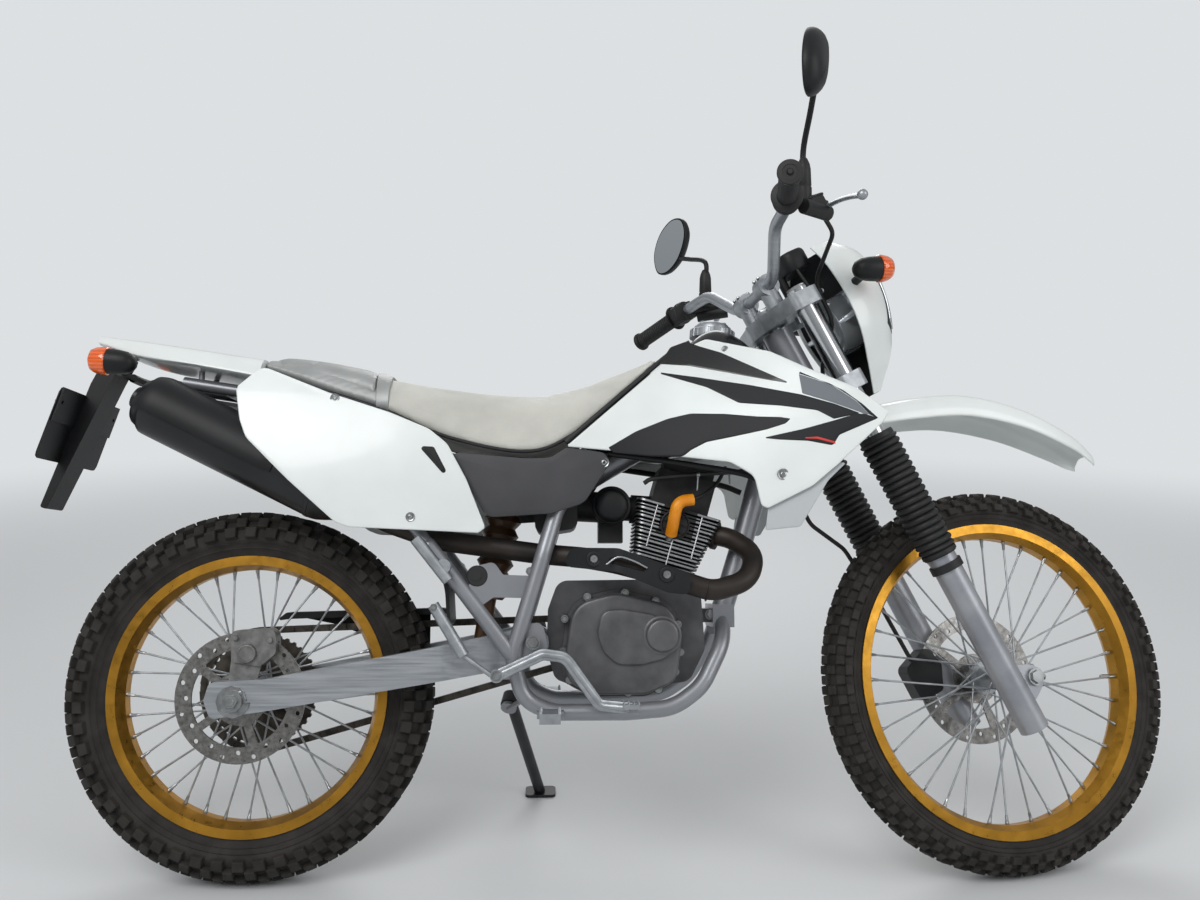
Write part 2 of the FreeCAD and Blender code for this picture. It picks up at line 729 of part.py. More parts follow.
def intake():
    """Carburettor with its bowl and dome, the rubber joints and the air box behind."""
    pieces = [
        rod(Vec(574, 0, 655), Vec(640, 0, 652), 28),
        rod(Vec(630, 0, 652), Vec(INTAKE_JOINT - SEAT_GAP, 0, 650), 22),
        rod(Vec(634, -62, 652), Vec(634, 40, 652), 32),
        Part.makeBox(44, 50, 40, Vec(612, -25, 588)),
    ]
    box = side_prism(((500, 600, 15), (494, 680, 15), (572, 684, 12), (574, 612, 15)), -66, 66)
    pieces.append(box)
    return fused(pieces).cut(cylinder_head())


HEADER_PATH = (
    (818, -34, 602), (848, -46, 595), (884, -84, 566), (866, -122, 520), (802, -136, 502),
    (720, -137, 528), (636, -126, 550), (580, -88, 560), (510, -74, 566), (330, -74, 590),
    (250, -84, 618), (200, -100, 642),
)


@functools.lru_cache(None)
def exhaust_pipe():
    """Header from the port round the front of the engine and back to the muffler."""
    pipe = bent_tube(HEADER_PATH, HEADER_RADIUS, 60.0)
    start = Vec(*HEADER_PATH[0])
    line = Vec(*HEADER_PATH[1]) - start
    line.normalize()
    collar = rod(start, start + line * 8, 26)
    return fused([pipe, collar]).cut(cylinder()).cut(cylinder_head())


def exhaust_shield():
    """Slotted heat shield over the pipe beside the engine."""
    outline = ((548, 544, 16), (560, 576, 16), (640, 574, 30), (762, 532, 14), (758, 496, 12),
               (722, 500, 25), (640, 534, 30))
    band = plan_prism(((770, -161, 0), (640, -161, 40), (590, -134, 40), (540, -104, 0),
                       (538, -108, 0), (588, -138, 44), (640, -165, 44), (770, -165, 0)), 480, 590)
    skin = band.common(side_prism(outline, -180, -90))
    slot = side_prism(((622, 550, 6), (628, 560, 6), (690, 544, 6), (684, 534, 6)), -170, -120)
    posts = [rod(Vec(x, y + 22, z), Vec(x, y, z), 7)
             for x, y, z in ((721, -162, 530), (600, -141, 556))]
    return fused([skin.cut(slot)] + posts).cut(exhaust_pipe())


def muffler():
    """Long oval silencer with a cone at its front and an outlet at its rear."""
    slope = math.radians(MUFFLER_SLOPE)
    along = Vec(-math.cos(slope), 0, math.sin(slope))
    front = Vec(196, MUFFLER_Y, 644)
    body_start = front + along * 60
    body_end = front + along * MUFFLER_LENGTH
    cone = Part.makeCone(HEADER_RADIUS + 6, MUFFLER_RADIUS, 60, front, along)
    body = rod(body_start, body_end, MUFFLER_RADIUS)
    lid = Part.makeCone(MUFFLER_RADIUS, MUFFLER_RADIUS - 10, 16, body_end, along)
    outlet = rod(body_end + along * 16, body_end + along * 30, 18)
    hanger = rod(Vec(64, -96, 712), Vec(64, -66, 828), 7).cut(rear_rail(SEAT_GAP))
    hanger = max(hanger.Solids, key=lambda s: s.Volume)
    whole = fused([cone, body, lid, outlet, hanger])
    bore = rod(body_end + along * 2, body_end + along * 40, 14)
    socket = bent_tube(HEADER_PATH[-4:], HEADER_RADIUS + SEAT_GAP, 60.0)
    return whole.cut(bore).cut(socket)


# Bodywork


@functools.lru_cache(None)
def fuel_tank():
    """Tank with the tunnel that sits over the backbone."""
    body = body_loft((
        (590, ((60, 742, 8), (64, 756, 8), (40, 764, 8))),
        (660, ((96, 742, 14), (100, 790, 20), (44, 838, 20))),
        (740, ((108, 744, 14), (110, 840, 40), (46, 912, 30))),
        (810, ((110, 752, 14), (112, 880, 50), (50, 972, 30))),
        (868, ((92, 770, 14), (86, 870, 40), (44, 962, 24))),
        (920, ((44, 800, 12), (46, 860, 16), (22, 918, 14))),
    ))
    line, up = spine_lines()
    wide = BACKBONE + TUNNEL_GAP
    corners = []
    for along, rise in ((-80, wide), (460, wide), (460, -260), (-80, -260)):
        spot = BACKBONE_REAR + line * along + up * rise
        corners.append((spot.x, spot.z, 0))
    tunnel = side_prism(corners, -wide, wide)
    recess = rod(cap_point(-SEAT_GAP), cap_point(50), CAP_RADIUS + SEAT_GAP)
    return body.cut(tunnel).cut(recess)


def cap_point(height):
    """A point on the axis of the filler cap."""
    return Vec(CAP_X + 0.08 * height, 0, CAP_FLOOR + height)


def tank_cap():
    """Filler cap on the crown of the tank."""
    ring = rod(cap_point(0), cap_point(24), CAP_RADIUS)
    top = rod(cap_point(24), cap_point(32), 34)
    return fused([ring, top])


SHROUD_OUTLINE = (
    (556, 752, 6), (622, 743, 20), (752, 730, 30), (831, 720, 30), (872, 694, 25),
    (884, 642, 8), (890, 602, 6), (923, 605, 8), (976, 668, 20), (1006, 716, 30),
    (1081, 782, 8), (1092, 801, 6), (1043, 846, 30), (972, 882, 40), (908, 918, 40),
    (800, 946, 20), (745, 920, 20),
)
SHROUD_HEIGHTS = (590, 720, 830, 960)
SHROUD_STATIONS = (
    (540, (124, 128, 122, 100)), (700, (140, 142, 124, 92)), (830, (170, 164, 136, 98)),
    (950, (190, 186, 166, 136)), (1100, (214, 212, 200, 186)),
)


def shroud():
    """Radiator style shroud panel of the right side, from the seat to its forward tip."""
    skin = panel_skin(SHROUD_STATIONS, SHROUD_HEIGHTS, PANEL_THICKNESS)
    panel = skin.common(side_prism(SHROUD_OUTLINE, -260, -60))
    posts = [rod(Vec(x, -80, z), Vec(x, -y, z), 7).cut(fuel_tank())
             for x, z, y in ((700, 790, 127), (800, 850, 126))]
    return fused([panel] + posts)


def shroud_right():
    return shroud()


def shroud_left():
    return mirrored(shroud())


COVER_OUTLINE = (
    (-12, 849, 20), (2, 790, 30), (15, 759, 30), (88, 688, 60), (168, 617, 30), (190, 609, 20),
    (405, 600, 10), (416, 612, 10), (384, 690, 60), (350, 752, 30), (318, 778, 30),
    (251, 806, 30), (144, 841, 40), (27, 889, 20),
)
COVER_HEIGHTS = (590, 720, 810, 900)
COVER_STATIONS = (
    (-30, (158, 160, 150, 112)), (120, (158, 162, 142, 106)), (280, (150, 152, 132, 104)),
    (430, (138, 136, 124, 100)),
)
VENT_OUTLINE = ((299, 750, 3), (328, 749, 4), (367, 674, 3))


def side_cover():
    """White side panel with its slanted vent."""
    skin = panel_skin(COVER_STATIONS, COVER_HEIGHTS, PANEL_THICKNESS)
    panel = skin.common(side_prism(COVER_OUTLINE, -220, -60))
    posts = [rod(Vec(282, -118.4, 626), Vec(282, -148.5, 626), 5),
             rod(Vec(157, -82.4, 808), Vec(157, -138, 808), 5)]
    return fused([panel] + posts).cut(side_prism(VENT_OUTLINE, -220, -60))


def side_cover_right():
    return side_cover()


def side_cover_left():
    return mirrored(side_cover())


LOWER_OUTLINE = (
    (352, 738, 10), (480, 728, 40), (526, 729, 20), (552, 744, 8), (612, 736, 10),
    (612, 704, 12), (566, 648, 30), (430, 627, 20),
)


def lower_covers():
    """Dark covers under the seat, ahead of the white side panels."""
    posts = [rod(Vec(604, -88 - SEAT_GAP, 706), Vec(604, -122, 706), 5),
             rod(Vec(537, -110.4, 640), Vec(537, -122, 640), 5)]
    right = fused([side_prism(LOWER_OUTLINE, -124, -121)] + posts)
    return Part.makeCompound([right, mirrored(right)])


def seat():
    """Seat from the tail to its nose on the tank."""
    return body_loft((
        (22, ((58, 896, 6), (60, 904, 6), (46, 912, 6))),
        (140, ((92, 848, 10), (94, 872, 12), (70, 892, 16))),
        (240, ((110, 814, 10), (112, 846, 16), (78, 866, 20))),
        (350, ((116, 766, 10), (112, 812, 24), (74, 850, 24))),
        (480, ((116, 740, 10), (106, 790, 30), (60, 840, 24))),
        (560, ((110, 769, 10), (98, 812, 24), (52, 854, 20))),
        (650, ((98, 848, 8), (84, 870, 12), (44, 890, 12))),
        (712, ((86, 907, 4), (78, 914, 4), (40, 921, 4))),
    ))


@functools.lru_cache(None)
def tail_cover():
    """White tail from the seat to its pointed end."""
    return body_loft((
        (-292, ((22, 944, 4), (26, 950, 4), (18, 962, 4))),
        (-200, ((66, 912, 6), (68, 918, 6), (50, 946, 10))),
        (-100, ((84, 894, 6), (86, 900, 6), (60, 930, 12))),
        (16, ((88, 872, 6), (90, 880, 6), (62, 912, 12))),
    ))


FENDER_PATH = ((-255.4, 892), (-190, 862), (-120, 840), (20, 818), (150, 778), (240, 710),
               (318, 600), (342, 500), (346, 440))


@functools.lru_cache(None)
def inner_fender():
    """Black inner mudguard over and ahead of the rear wheel."""
    spots = [Vec(x, -FENDER_HALF, z) for x, z in FENDER_PATH]
    lower = rounded_edges(spots, [120.0] * len(spots), False)
    shift = Vec(6, 0, 6)
    upper_spots = [p + shift for p in reversed(spots)]
    upper = rounded_edges(upper_spots, [120.0] * len(spots), False)
    close_a = Part.LineSegment(spots[-1], upper_spots[0]).toShape()
    close_b = Part.LineSegment(upper_spots[-1], spots[0]).toShape()
    face = Part.Face(Part.Wire(lower + [close_a] + upper + [close_b]))
    return face.extrude(Vec(0, 2 * FENDER_HALF, 0))


@functools.lru_cache(None)
def plate_bracket():
    """Bracket hanging from the tail, with the two plate bolt holes."""
    arm = side_prism(((-240, 925, 6), (-262, 880, 20), (-364, 646, 4), (-376, 650, 4),
                      (-300, 872, 20), (-268, 938, 6)), -30, 30)
    plate = Part.makeBox(BRACKET_THICKNESS, PLATE_BOLT_SPACING + 20, 60,
                         Vec(0, -PLATE_BOLT_SPACING / 2 - 10, -60))
    plate.rotate(Vec(0, 0, 0), Vec(0, 1, 0), PLATE_TILT)
    plate.translate(PLATE_TOP)
    whole = fused([arm, plate]).cut(tail_cover()).cut(inner_fender())
    for side in (1, -1):
        spot = plate_bolt(side)
        whole = whole.cut(rod(spot - plate_axis() * 30, spot + plate_axis() * 30, PLATE_BOLT_RADIUS))
    return whole


def plate_axis():
    """Direction of the plate bolts, out to the rear."""
    tilt = math.radians(PLATE_TILT)
    return Vec(-math.cos(tilt), 0, math.sin(tilt))


def plate_bolt(side):
    """Middle of a plate bolt hole."""
    tilt = math.radians(PLATE_TILT)
    down = Vec(-math.sin(tilt), 0, -math.cos(tilt))
    spot = PLATE_TOP + Vec(0, side * PLATE_BOLT_SPACING / 2, 0) + down * PLATE_BOLT_DROP
    return spot - plate_axis() * (BRACKET_THICKNESS / 2)


def rear_lamps():
    """Tail lamp and the two rear flashers with their stalks."""
    lamp = side_prism(((-262, 938, 0), (-330, 930, 8), (-338, 896, 10), (-290, 890, 0)), -45, 45)
    lamp = lamp.cut(tail_cover()).cut(plate_bracket()).cut(inner_fender())
    pieces = [max(lamp.Solids, key=lambda s: s.Volume)]
    for side in (1, -1):
        stalk = rod(Vec(-262, side * 32, 893), Vec(-240, side * 118, 891), 9)
        body = rod(Vec(-212, side * 140, 890), Vec(-240, side * 140, 891), 20)
        lens = Part.makeCone(24, 16, 24, Vec(-240, side * 140, 891), Vec(-1, 0, 0))
        whole = fused([stalk, body, lens]).cut(tail_cover()).cut(inner_fender())
        pieces.append(max(whole.Solids, key=lambda s: s.Volume))
    return Part.makeCompound(pieces)


# Rear suspension, drive and brake

ARM_SIDE = (
    (-48, 322, 12), (-40, 352, 12), (51, 357, 30), (355, 413, 40), (470, 437, 20),
    (522, 434, 16), (526, 398, 20), (486, 390, 15), (439, 368, 30), (62, 306, 30),
    (-36, 292, 12),
)
ARM_PLAN = (
    (-60, -118, 0), (345, -118, 40), (440, -100, 40), (530, -100, 0), (530, -68, 0),
    (430, -68, 40), (335, -86, 40), (-60, -86, 0),
)


def swingarm():
    """Swingarm: two box arms, a cross beam and the pivot tube."""
    arm = side_prism(ARM_SIDE, -130, -60).common(plan_prism(ARM_PLAN, 200, 500))
    beam = side_prism(((352, 352, 8), (352, 398, 12), (424, 410, 12), (424, 370, 8)), -90, 90)
    tube = rod(Vec(PIVOT_X, -100, PIVOT_Z), Vec(PIVOT_X, 100, PIVOT_Z), PIVOT_TUBE)
    whole = fused([arm, mirrored(arm), beam, tube])
    bolt = rod(Vec(PIVOT_X, -140, PIVOT_Z), Vec(PIVOT_X, 140, PIVOT_Z), 9.0)
    axle = rod(REAR_AXLE + Vec(0, -140, 0), REAR_AXLE + Vec(0, 140, 0),
               REAR_AXLE_RADIUS + SEAT_GAP)
    return whole.cut(bolt).cut(axle)


def rear_axle():
    """Rear axle with its nuts and spacers, and the swingarm pivot bolt."""
    axle = rod(REAR_AXLE + Vec(0, -132, 0), REAR_AXLE + Vec(0, 132, 0), REAR_AXLE_RADIUS)
    pieces = [axle]
    for side in (1, -1):
        pieces.append(rod(REAR_AXLE + Vec(0, side * 118, 0), REAR_AXLE + Vec(0, side * 128, 0), 18))
    spacer_r = rod(REAR_AXLE + Vec(0, -86, 0), REAR_AXLE + Vec(0, -76, 0), 15)
    spacer_l = rod(REAR_AXLE + Vec(0, 86, 0), REAR_AXLE + Vec(0, 74, 0), 15)
    bolt = rod(Vec(PIVOT_X, -130, PIVOT_Z), Vec(PIVOT_X, 130, PIVOT_Z), 9.0 - SEAT_GAP)
    heads = [rod(Vec(PIVOT_X, s * 115.3, PIVOT_Z), Vec(PIVOT_X, s * 127, PIVOT_Z), 12)
             for s in (1, -1)]
    return Part.makeCompound([fused(pieces + [spacer_r, spacer_l]), fused([bolt] + heads)])


def shock_absorber():
    """Single shock with its spring between the frame and the swingarm."""
    top = Vec(SHOCK_TOP_X, 0, SHOCK_BOLT_Z - SHOCK_BOLT - SEAT_GAP)
    low = Vec(402, 0, 413)
    line = low - top
    line.normalize()
    coils = []
    half = SPRING_LENGTH / SHOCK_COILS / 2
    for k in range(SHOCK_COILS):
        start = top + line * (SPRING_START + 2 * k * half)
        coils.append(Part.makeCone(SPRING_INNER, SPRING_OUTER, half, start, line))
        coils.append(Part.makeCone(SPRING_OUTER, SPRING_INNER, half, start + line * half, line))
    spring = fused(coils)
    body = rod(top, low, 14)
    bolt = rod(Vec(SHOCK_TOP_X, -30, SHOCK_BOLT_Z), Vec(SHOCK_TOP_X, 30, SHOCK_BOLT_Z),
               SHOCK_BOLT + SEAT_GAP)
    return fused([spring, body]).cut(bolt)


def chain_spans():
    """The chain's pitch line in turn: start, end and centre of each run or arc, from the rear."""
    start = Vec(0, 0, REAR_RADIUS)
    end = Vec(COUNTERSHAFT_X, 0, COUNTERSHAFT_Z)
    span = end - start
    heading = math.atan2(span.z, span.x)
    swing = math.acos((REAR_PITCH_RADIUS - FRONT_PITCH_RADIUS) / span.Length)
    return start, end, heading, swing


def around(centre, radius, angle):
    """Point at an angle on a circle in the plane of the chain."""
    return centre + Vec(radius * math.cos(angle), 0, radius * math.sin(angle))


def chain_face(offset):
    """The area inside the chain's pitch line moved out by an offset."""
    start, end, heading, swing = chain_spans()
    big = REAR_PITCH_RADIUS + offset
    small = FRONT_PITCH_RADIUS + offset
    a = around(start, big, heading + swing)
    b = around(end, small, heading + swing)
    c = around(end, small, heading)
    d = around(end, small, heading - swing)
    e = around(start, big, heading - swing)
    f = around(start, big, heading + math.pi)
    edges = [Part.LineSegment(a, b).toShape(), Part.Arc(b, c, d).toShape(),
             Part.LineSegment(d, e).toShape(), Part.Arc(e, f, a).toShape()]
    return Part.Face(Part.Wire(edges))


def chain_spot(along):
    """Point on the pitch line and the angle of its outward normal."""
    start, end, heading, swing = chain_spans()
    top = around(start, REAR_PITCH_RADIUS, heading + swing)
    front = around(end, FRONT_PITCH_RADIUS, heading + swing)
    run = (front - top).Length
    front_arc = FRONT_PITCH_RADIUS * 2 * swing
    rear_arc = REAR_PITCH_RADIUS * 2 * (math.pi - swing)
    if along < run:
        return top + (front - top) * (along / run), heading + swing
    if along < run + front_arc:
        angle = heading + swing - (along - run) / FRONT_PITCH_RADIUS
        return around(end, FRONT_PITCH_RADIUS, angle), angle
    if along < 2 * run + front_arc:
        low = around(end, FRONT_PITCH_RADIUS, heading - swing)
        rear = around(start, REAR_PITCH_RADIUS, heading - swing)
        share = (along - run - front_arc) / run
        return low + (rear - low) * share, heading - swing
    angle = heading - swing - (along - 2 * run - front_arc) / REAR_PITCH_RADIUS
    assert along < 2 * run + front_arc + rear_arc
    return around(start, REAR_PITCH_RADIUS, angle), angle


def chain_length():
    """Length of the pitch line."""
    start, end, heading, swing = chain_spans()
    run = (end - start).Length * math.sin(swing)
    return 2 * run + 2 * swing * FRONT_PITCH_RADIUS + 2 * (math.pi - swing) * REAR_PITCH_RADIUS


def chain():
    """Drive chain in its loop round the two sprockets, with the outer plates of every other link."""
    area = chain_face(CHAIN_HALF_HEIGHT).cut(chain_face(-CHAIN_ROLLER))
    area.translate(Vec(0, CHAIN_Y - CHAIN_CORE / 2, 0))
    core = area.extrude(Vec(0, CHAIN_CORE, 0))
    pairs = int(chain_length() / CHAIN_PITCH / 2)
    plates = []
    for k in range(pairs):
        spot, angle = chain_spot((k + 0.5) * chain_length() / pairs)
        plate = Part.makeBox(CHAIN_HALF_HEIGHT + CHAIN_ROLLER - 2 * PLATE_GAP, CHAIN_WIDTH,
                             CHAIN_PLATE, Vec(PLATE_GAP - CHAIN_ROLLER,
                                              CHAIN_Y - CHAIN_WIDTH / 2, -CHAIN_PLATE / 2))
        plate.rotate(Vec(0, 0, 0), Vec(0, 1, 0), -math.degrees(angle))
        plate.translate(spot)
        plates.append(plate)
    return core.multiFuse(plates)


def chain_guard():
    """Guard above the upper run, carried on the swingarm."""
    top = side_prism(((20, 446, 10), (40, 462, 10), (330, 470, 20), (352, 452, 8),
                      (330, 459, 20), (44, 450, 8)), 58, 96)
    web = side_prism(((60, 452, 4), (60, 461, 4), (300, 469, 4), (300, 403.3, 0), (250, 394.1, 0),
                      (120, 440, 20)), 92, 96)
    return fused([top, web])


def rear_caliper():
    """Rear caliper over the disc and the bracket that holds it to the axle."""
    body = side_prism(((-12, 384, 8), (-16, 436, 12), (60, 440, 14), (62, 398, 12), (36, 376, 8)),
                      -92, -58)
    slot = rod(REAR_AXLE + Vec(0, REAR_DISC_Y - DISC_THICKNESS / 2 - 1.5, 0),
               REAR_AXLE + Vec(0, REAR_DISC_Y + DISC_THICKNESS / 2 + 1.5, 0),
               REAR_DISC_RADIUS + 3)
    arm = side_prism(((-20, 322, 14), (-14, 392, 6), (40, 392, 6), (20, 312, 14)), -85.5, -81)
    whole = fused([body.cut(slot), arm])
    return whole.cut(rod(REAR_AXLE + Vec(0, -140, 0), REAR_AXLE, 15 + SEAT_GAP))


def foot_controls():
    """Brake pedal on the right and shift lever on the left."""
    pedal = bent_tube(((439, -150, 364), (515, -152, 399), (552, -152, 394), (612, -160, 316),
                       (658, -172, 313)), 6.5, 18.0)
    boss = rod(Vec(439, -125 - SEAT_GAP, 364), Vec(439, -158, 364), 11)
    pad = Part.makeBox(26, 34, 8, Vec(646, -190, 313))
    master = rod(Vec(331, -138, 480), Vec(383, -138, 396), 10)
    link = rod(Vec(383, -138, 396), Vec(432, -142, 362), 4)
    lever = bent_tube(((560, 112, 352), (575, 128, 345), (680, 134, 330), (700, 160, 332)), 5.5, 12.0)
    lever_boss = rod(Vec(556, CASE_HALF, 352), Vec(556, 122, 352), 8)
    brake = fused([pedal, boss, pad, link, master])
    return Part.makeCompound([brake, fused([lever, lever_boss])])


def footrests():
    """Rider's pegs at the cradle tubes and folded passenger pegs on the stays."""
    pieces = []
    for side in (1, -1):
        bracket = Part.makeBox(44, 26, 12, Vec(506, min(side * 126.4, side * 152.4), 294))
        peg = Part.makeBox(34, 70, 16, Vec(511, min(side * 150, side * 220), 294))
        pieces.append(fused([bracket, peg]))
        fold = rod(Vec(356, side * 141, 520), Vec(300, side * 143, 590), 10)
        root = rod(Vec(348, side * 127.7, 544), Vec(348, side * 148, 544), 12)
        pieces.append(fused([fold, root]))
    return Part.makeCompound(pieces)


# Steering assembly


def clamp_outline(back, half, waist_x, waist_y):
    """Clamp seen along the steering axis, drawn in behind so that it turns past the frame."""
    right = ((-back, -half, 14), (waist_x, -waist_y, 20), (FORK_AHEAD - 30, -FORK_SPREAD - 26, 14),
             (FORK_AHEAD + 30, -FORK_SPREAD - 26, 14), (FORK_AHEAD + 24, -FORK_SPREAD + 40, 20))
    left = tuple((x, -y, radius) for x, y, radius in reversed(right))
    return right + left


def fork_clamps():
    """Upper and lower fork clamps on the steering stem, with the two risers of the bar."""
    half = CLAMP_HEIGHT / 2
    upper = fork_slab(clamp_outline(36, 30, -22, 78), UPPER_CLAMP_Z - half, UPPER_CLAMP_Z + half)
    lower = fork_slab(clamp_outline(28, 18, -10, 60), LOWER_CLAMP_Z - half, LOWER_CLAMP_Z + half)
    stem = rod(fork_point(0, 0, LOWER_CLAMP_Z), fork_point(0, 0, UPPER_CLAMP_Z + 24), STEM_RADIUS)
    nut = rod(fork_point(0, 0, UPPER_CLAMP_Z + half), fork_point(0, 0, UPPER_CLAMP_Z + half + 10), 22)
    pieces = [upper, lower, stem, nut]
    for side in (1, -1):
        riser = rod(fork_point(-3, side * 50, UPPER_CLAMP_Z), fork_point(-3, side * 50, BAR_HEIGHT), 17)
        collar = rod(fork_point(-3, side * 50 - 15, BAR_HEIGHT),
                     fork_point(-3, side * 50 + 15, BAR_HEIGHT), 21)
        pieces.extend([riser, collar])
        low, high = sorted((side * 30, side * 42))
        pieces.append(fork_slab(((30, low, 0), (LAMP_BACK - SEAT_GAP, low, 0),
                                 (LAMP_BACK - SEAT_GAP, high, 0), (30, high, 0)), 742, 764))
    whole = fused(pieces)
    bar = rod(fork_point(-3, -90, BAR_HEIGHT), fork_point(-3, 90, BAR_HEIGHT), BAR_RADIUS + SEAT_GAP)
    whole = whole.cut(bar)
    for side in (1, -1):
        tube = rod(fork_point(FORK_AHEAD, side * FORK_SPREAD, LOWER_CLAMP_Z - 60),
                   fork_point(FORK_AHEAD, side * FORK_SPREAD, UPPER_CLAMP_Z + 60),
                   FORK_TUBE_RADIUS + SEAT_GAP)
        whole = whole.cut(tube)
    return whole


def pair(maker):
    """The two like pieces of the fork."""
    return Part.makeCompound([maker(-1), maker(1)])


def fork_tubes():
    """Chromed stanchions from the clamps down into the legs."""
    def one(side):
        y = side * FORK_SPREAD
        return rod(fork_point(FORK_AHEAD, y, 60), fork_point(FORK_AHEAD, y, UPPER_CLAMP_Z + 22),
                   FORK_TUBE_RADIUS)
    return pair(one)


def fork_gaiters():
    """Rubber gaiters over the tubes."""
    def one(side):
        y = side * FORK_SPREAD
        start = fork_point(FORK_AHEAD, y, FORK_LEG_TOP - 20)
        end = fork_point(FORK_AHEAD, y, GAITER_TOP)
        low = FORK_LEG_TOP - 20 + GAITER_COLLAR
        step = (GAITER_TOP - GAITER_COLLAR - low) / (2 * GAITER_RIBS)
        spots = [fork_point(FORK_AHEAD, y, FORK_LEG_TOP - 20),
                 fork_point(FORK_AHEAD + GAITER_VALLEY, y, FORK_LEG_TOP - 20)]
        for k in range(2 * GAITER_RIBS + 1):
            reach = GAITER_RADIUS if k % 2 else GAITER_VALLEY
            spots.append(fork_point(FORK_AHEAD + reach, y, low + k * step))
        spots.append(fork_point(FORK_AHEAD + GAITER_VALLEY, y, GAITER_TOP))
        spots.append(fork_point(FORK_AHEAD, y, GAITER_TOP))
        face = Part.Face(Part.makePolygon(spots + spots[:1]))
        sleeve = face.revolve(start, STEER_AXIS, 360)
        tube = rod(start - STEER_AXIS * 5, end + STEER_AXIS * 5, FORK_TUBE_RADIUS + SEAT_GAP)
        leg = rod(start - STEER_AXIS * 5, fork_point(FORK_AHEAD, y, FORK_LEG_TOP + SEAT_GAP),
                  FORK_LEG_RADIUS + SEAT_GAP)
        return sleeve.cut(tube).cut(leg)
    return pair(one)


def fork_legs():
    """Cast lower legs with the axle boss ahead of them."""
    def one(side):
        y = side * FORK_SPREAD
        leg = rod(fork_point(FORK_AHEAD, y, FORK_LEG_LOW), fork_point(FORK_AHEAD, y, FORK_LEG_TOP),
                  FORK_LEG_RADIUS)
        boss = fork_prism(((FORK_AHEAD, 40, 6), (STEER_OFFSET + 4, 22, 16),
                           (STEER_OFFSET + 24, 0, 16), (STEER_OFFSET + 4, -22, 16),
                           (FORK_AHEAD, -44, 6)), y - 15, y + 15)
        pieces = [leg, boss]
        if side > 0:
            pieces.append(fork_prism(((-44, 30, 5), (-44, 84, 5), (FORK_AHEAD, 100, 5),
                                      (FORK_AHEAD, 14, 5)), 79, 95))
        whole = fused(pieces)
        bore = rod(fork_point(FORK_AHEAD, y, 55), fork_point(FORK_AHEAD, y, FORK_LEG_TOP + 2),
                   FORK_TUBE_RADIUS + SEAT_GAP)
        axle = rod(fork_point(STEER_OFFSET, y - 60, 0), fork_point(STEER_OFFSET, y + 60, 0),
                   FRONT_AXLE_RADIUS + SEAT_GAP)
        return whole.cut(bore).cut(axle)
    return pair(one)


@functools.lru_cache(None)
def front_axle():
    """Front axle with spacers on both sides of the hub."""
    axle = rod(fork_point(STEER_OFFSET, -120, 0), fork_point(STEER_OFFSET, 124, 0),
               FRONT_AXLE_RADIUS)
    right = rod(fork_point(STEER_OFFSET, -85, 0), fork_point(STEER_OFFSET, -60, 0), 13)
    drive = rod(fork_point(STEER_OFFSET, -82, 0), fork_point(STEER_OFFSET, -64, 0), 22)
    left = rod(fork_point(STEER_OFFSET, 85, 0), fork_point(STEER_OFFSET, 67, 0), 13)
    nut = rod(fork_point(STEER_OFFSET, 115, 0), fork_point(STEER_OFFSET, 124, 0), 14)
    head = rod(fork_point(STEER_OFFSET, -120, 0), fork_point(STEER_OFFSET, -115, 0), 14)
    return fused([axle, right, drive, left, nut, head])


def speedometer_cable():
    """Cable from the meter down between the tubes and along the right leg to its drive."""
    spots = [tuple(fork_point(*p)) for p in CABLE_PATH]
    cable = bent_tube(spots, CABLE_RADIUS, 45.0)
    axis_low = fork_point(FORK_AHEAD, -FORK_SPREAD, CLIP_HEIGHT - 7)
    axis_high = fork_point(FORK_AHEAD, -FORK_SPREAD, CLIP_HEIGHT + 7)
    ring = rod(axis_low, axis_high, FORK_LEG_RADIUS + 4)
    ring = ring.cut(rod(axis_low - STEER_AXIS, axis_high + STEER_AXIS, FORK_LEG_RADIUS + SEAT_GAP))
    lug = rod(fork_point(FORK_AHEAD + 24, -FORK_SPREAD + 14, CLIP_HEIGHT),
              fork_point(*CABLE_CLIP), 4.5)
    leg = rod(axis_low - STEER_AXIS, axis_high + STEER_AXIS, FORK_LEG_RADIUS + SEAT_GAP)
    whole = fused([cable, ring, lug.cut(leg)])
    return whole.cut(meter()).cut(front_axle())


def brake_hose():
    """Hose from the right hand brake down in front of the clamps to the front caliper."""
    spots = [tuple(fork_point(*p)) for p in HOSE_PATH]
    hose = bent_tube(spots, HOSE_RADIUS, 45.0)
    rest = hose.cut(hand_controls()).cut(front_caliper())
    return max(rest.Solids, key=lambda s: s.Volume)


@functools.lru_cache(None)
def front_caliper():
    """Front caliper behind the left leg."""
    body = fork_prism(((-70, 20, 10), (-70, 86, 14), (-8, 104, 14), (2, 60, 10), (-20, 18, 10)), 46, 78.7)
    slot = rod(fork_point(STEER_OFFSET, FRONT_DISC_Y - 3.5, 0),
               fork_point(STEER_OFFSET, FRONT_DISC_Y + 3.5, 0), FRONT_DISC_RADIUS + 3)
    leg = rod(fork_point(FORK_AHEAD, FORK_SPREAD, FORK_LEG_LOW),
              fork_point(FORK_AHEAD, FORK_SPREAD, FORK_LEG_TOP), FORK_LEG_RADIUS + SEAT_GAP)
    return body.cut(slot).cut(leg)


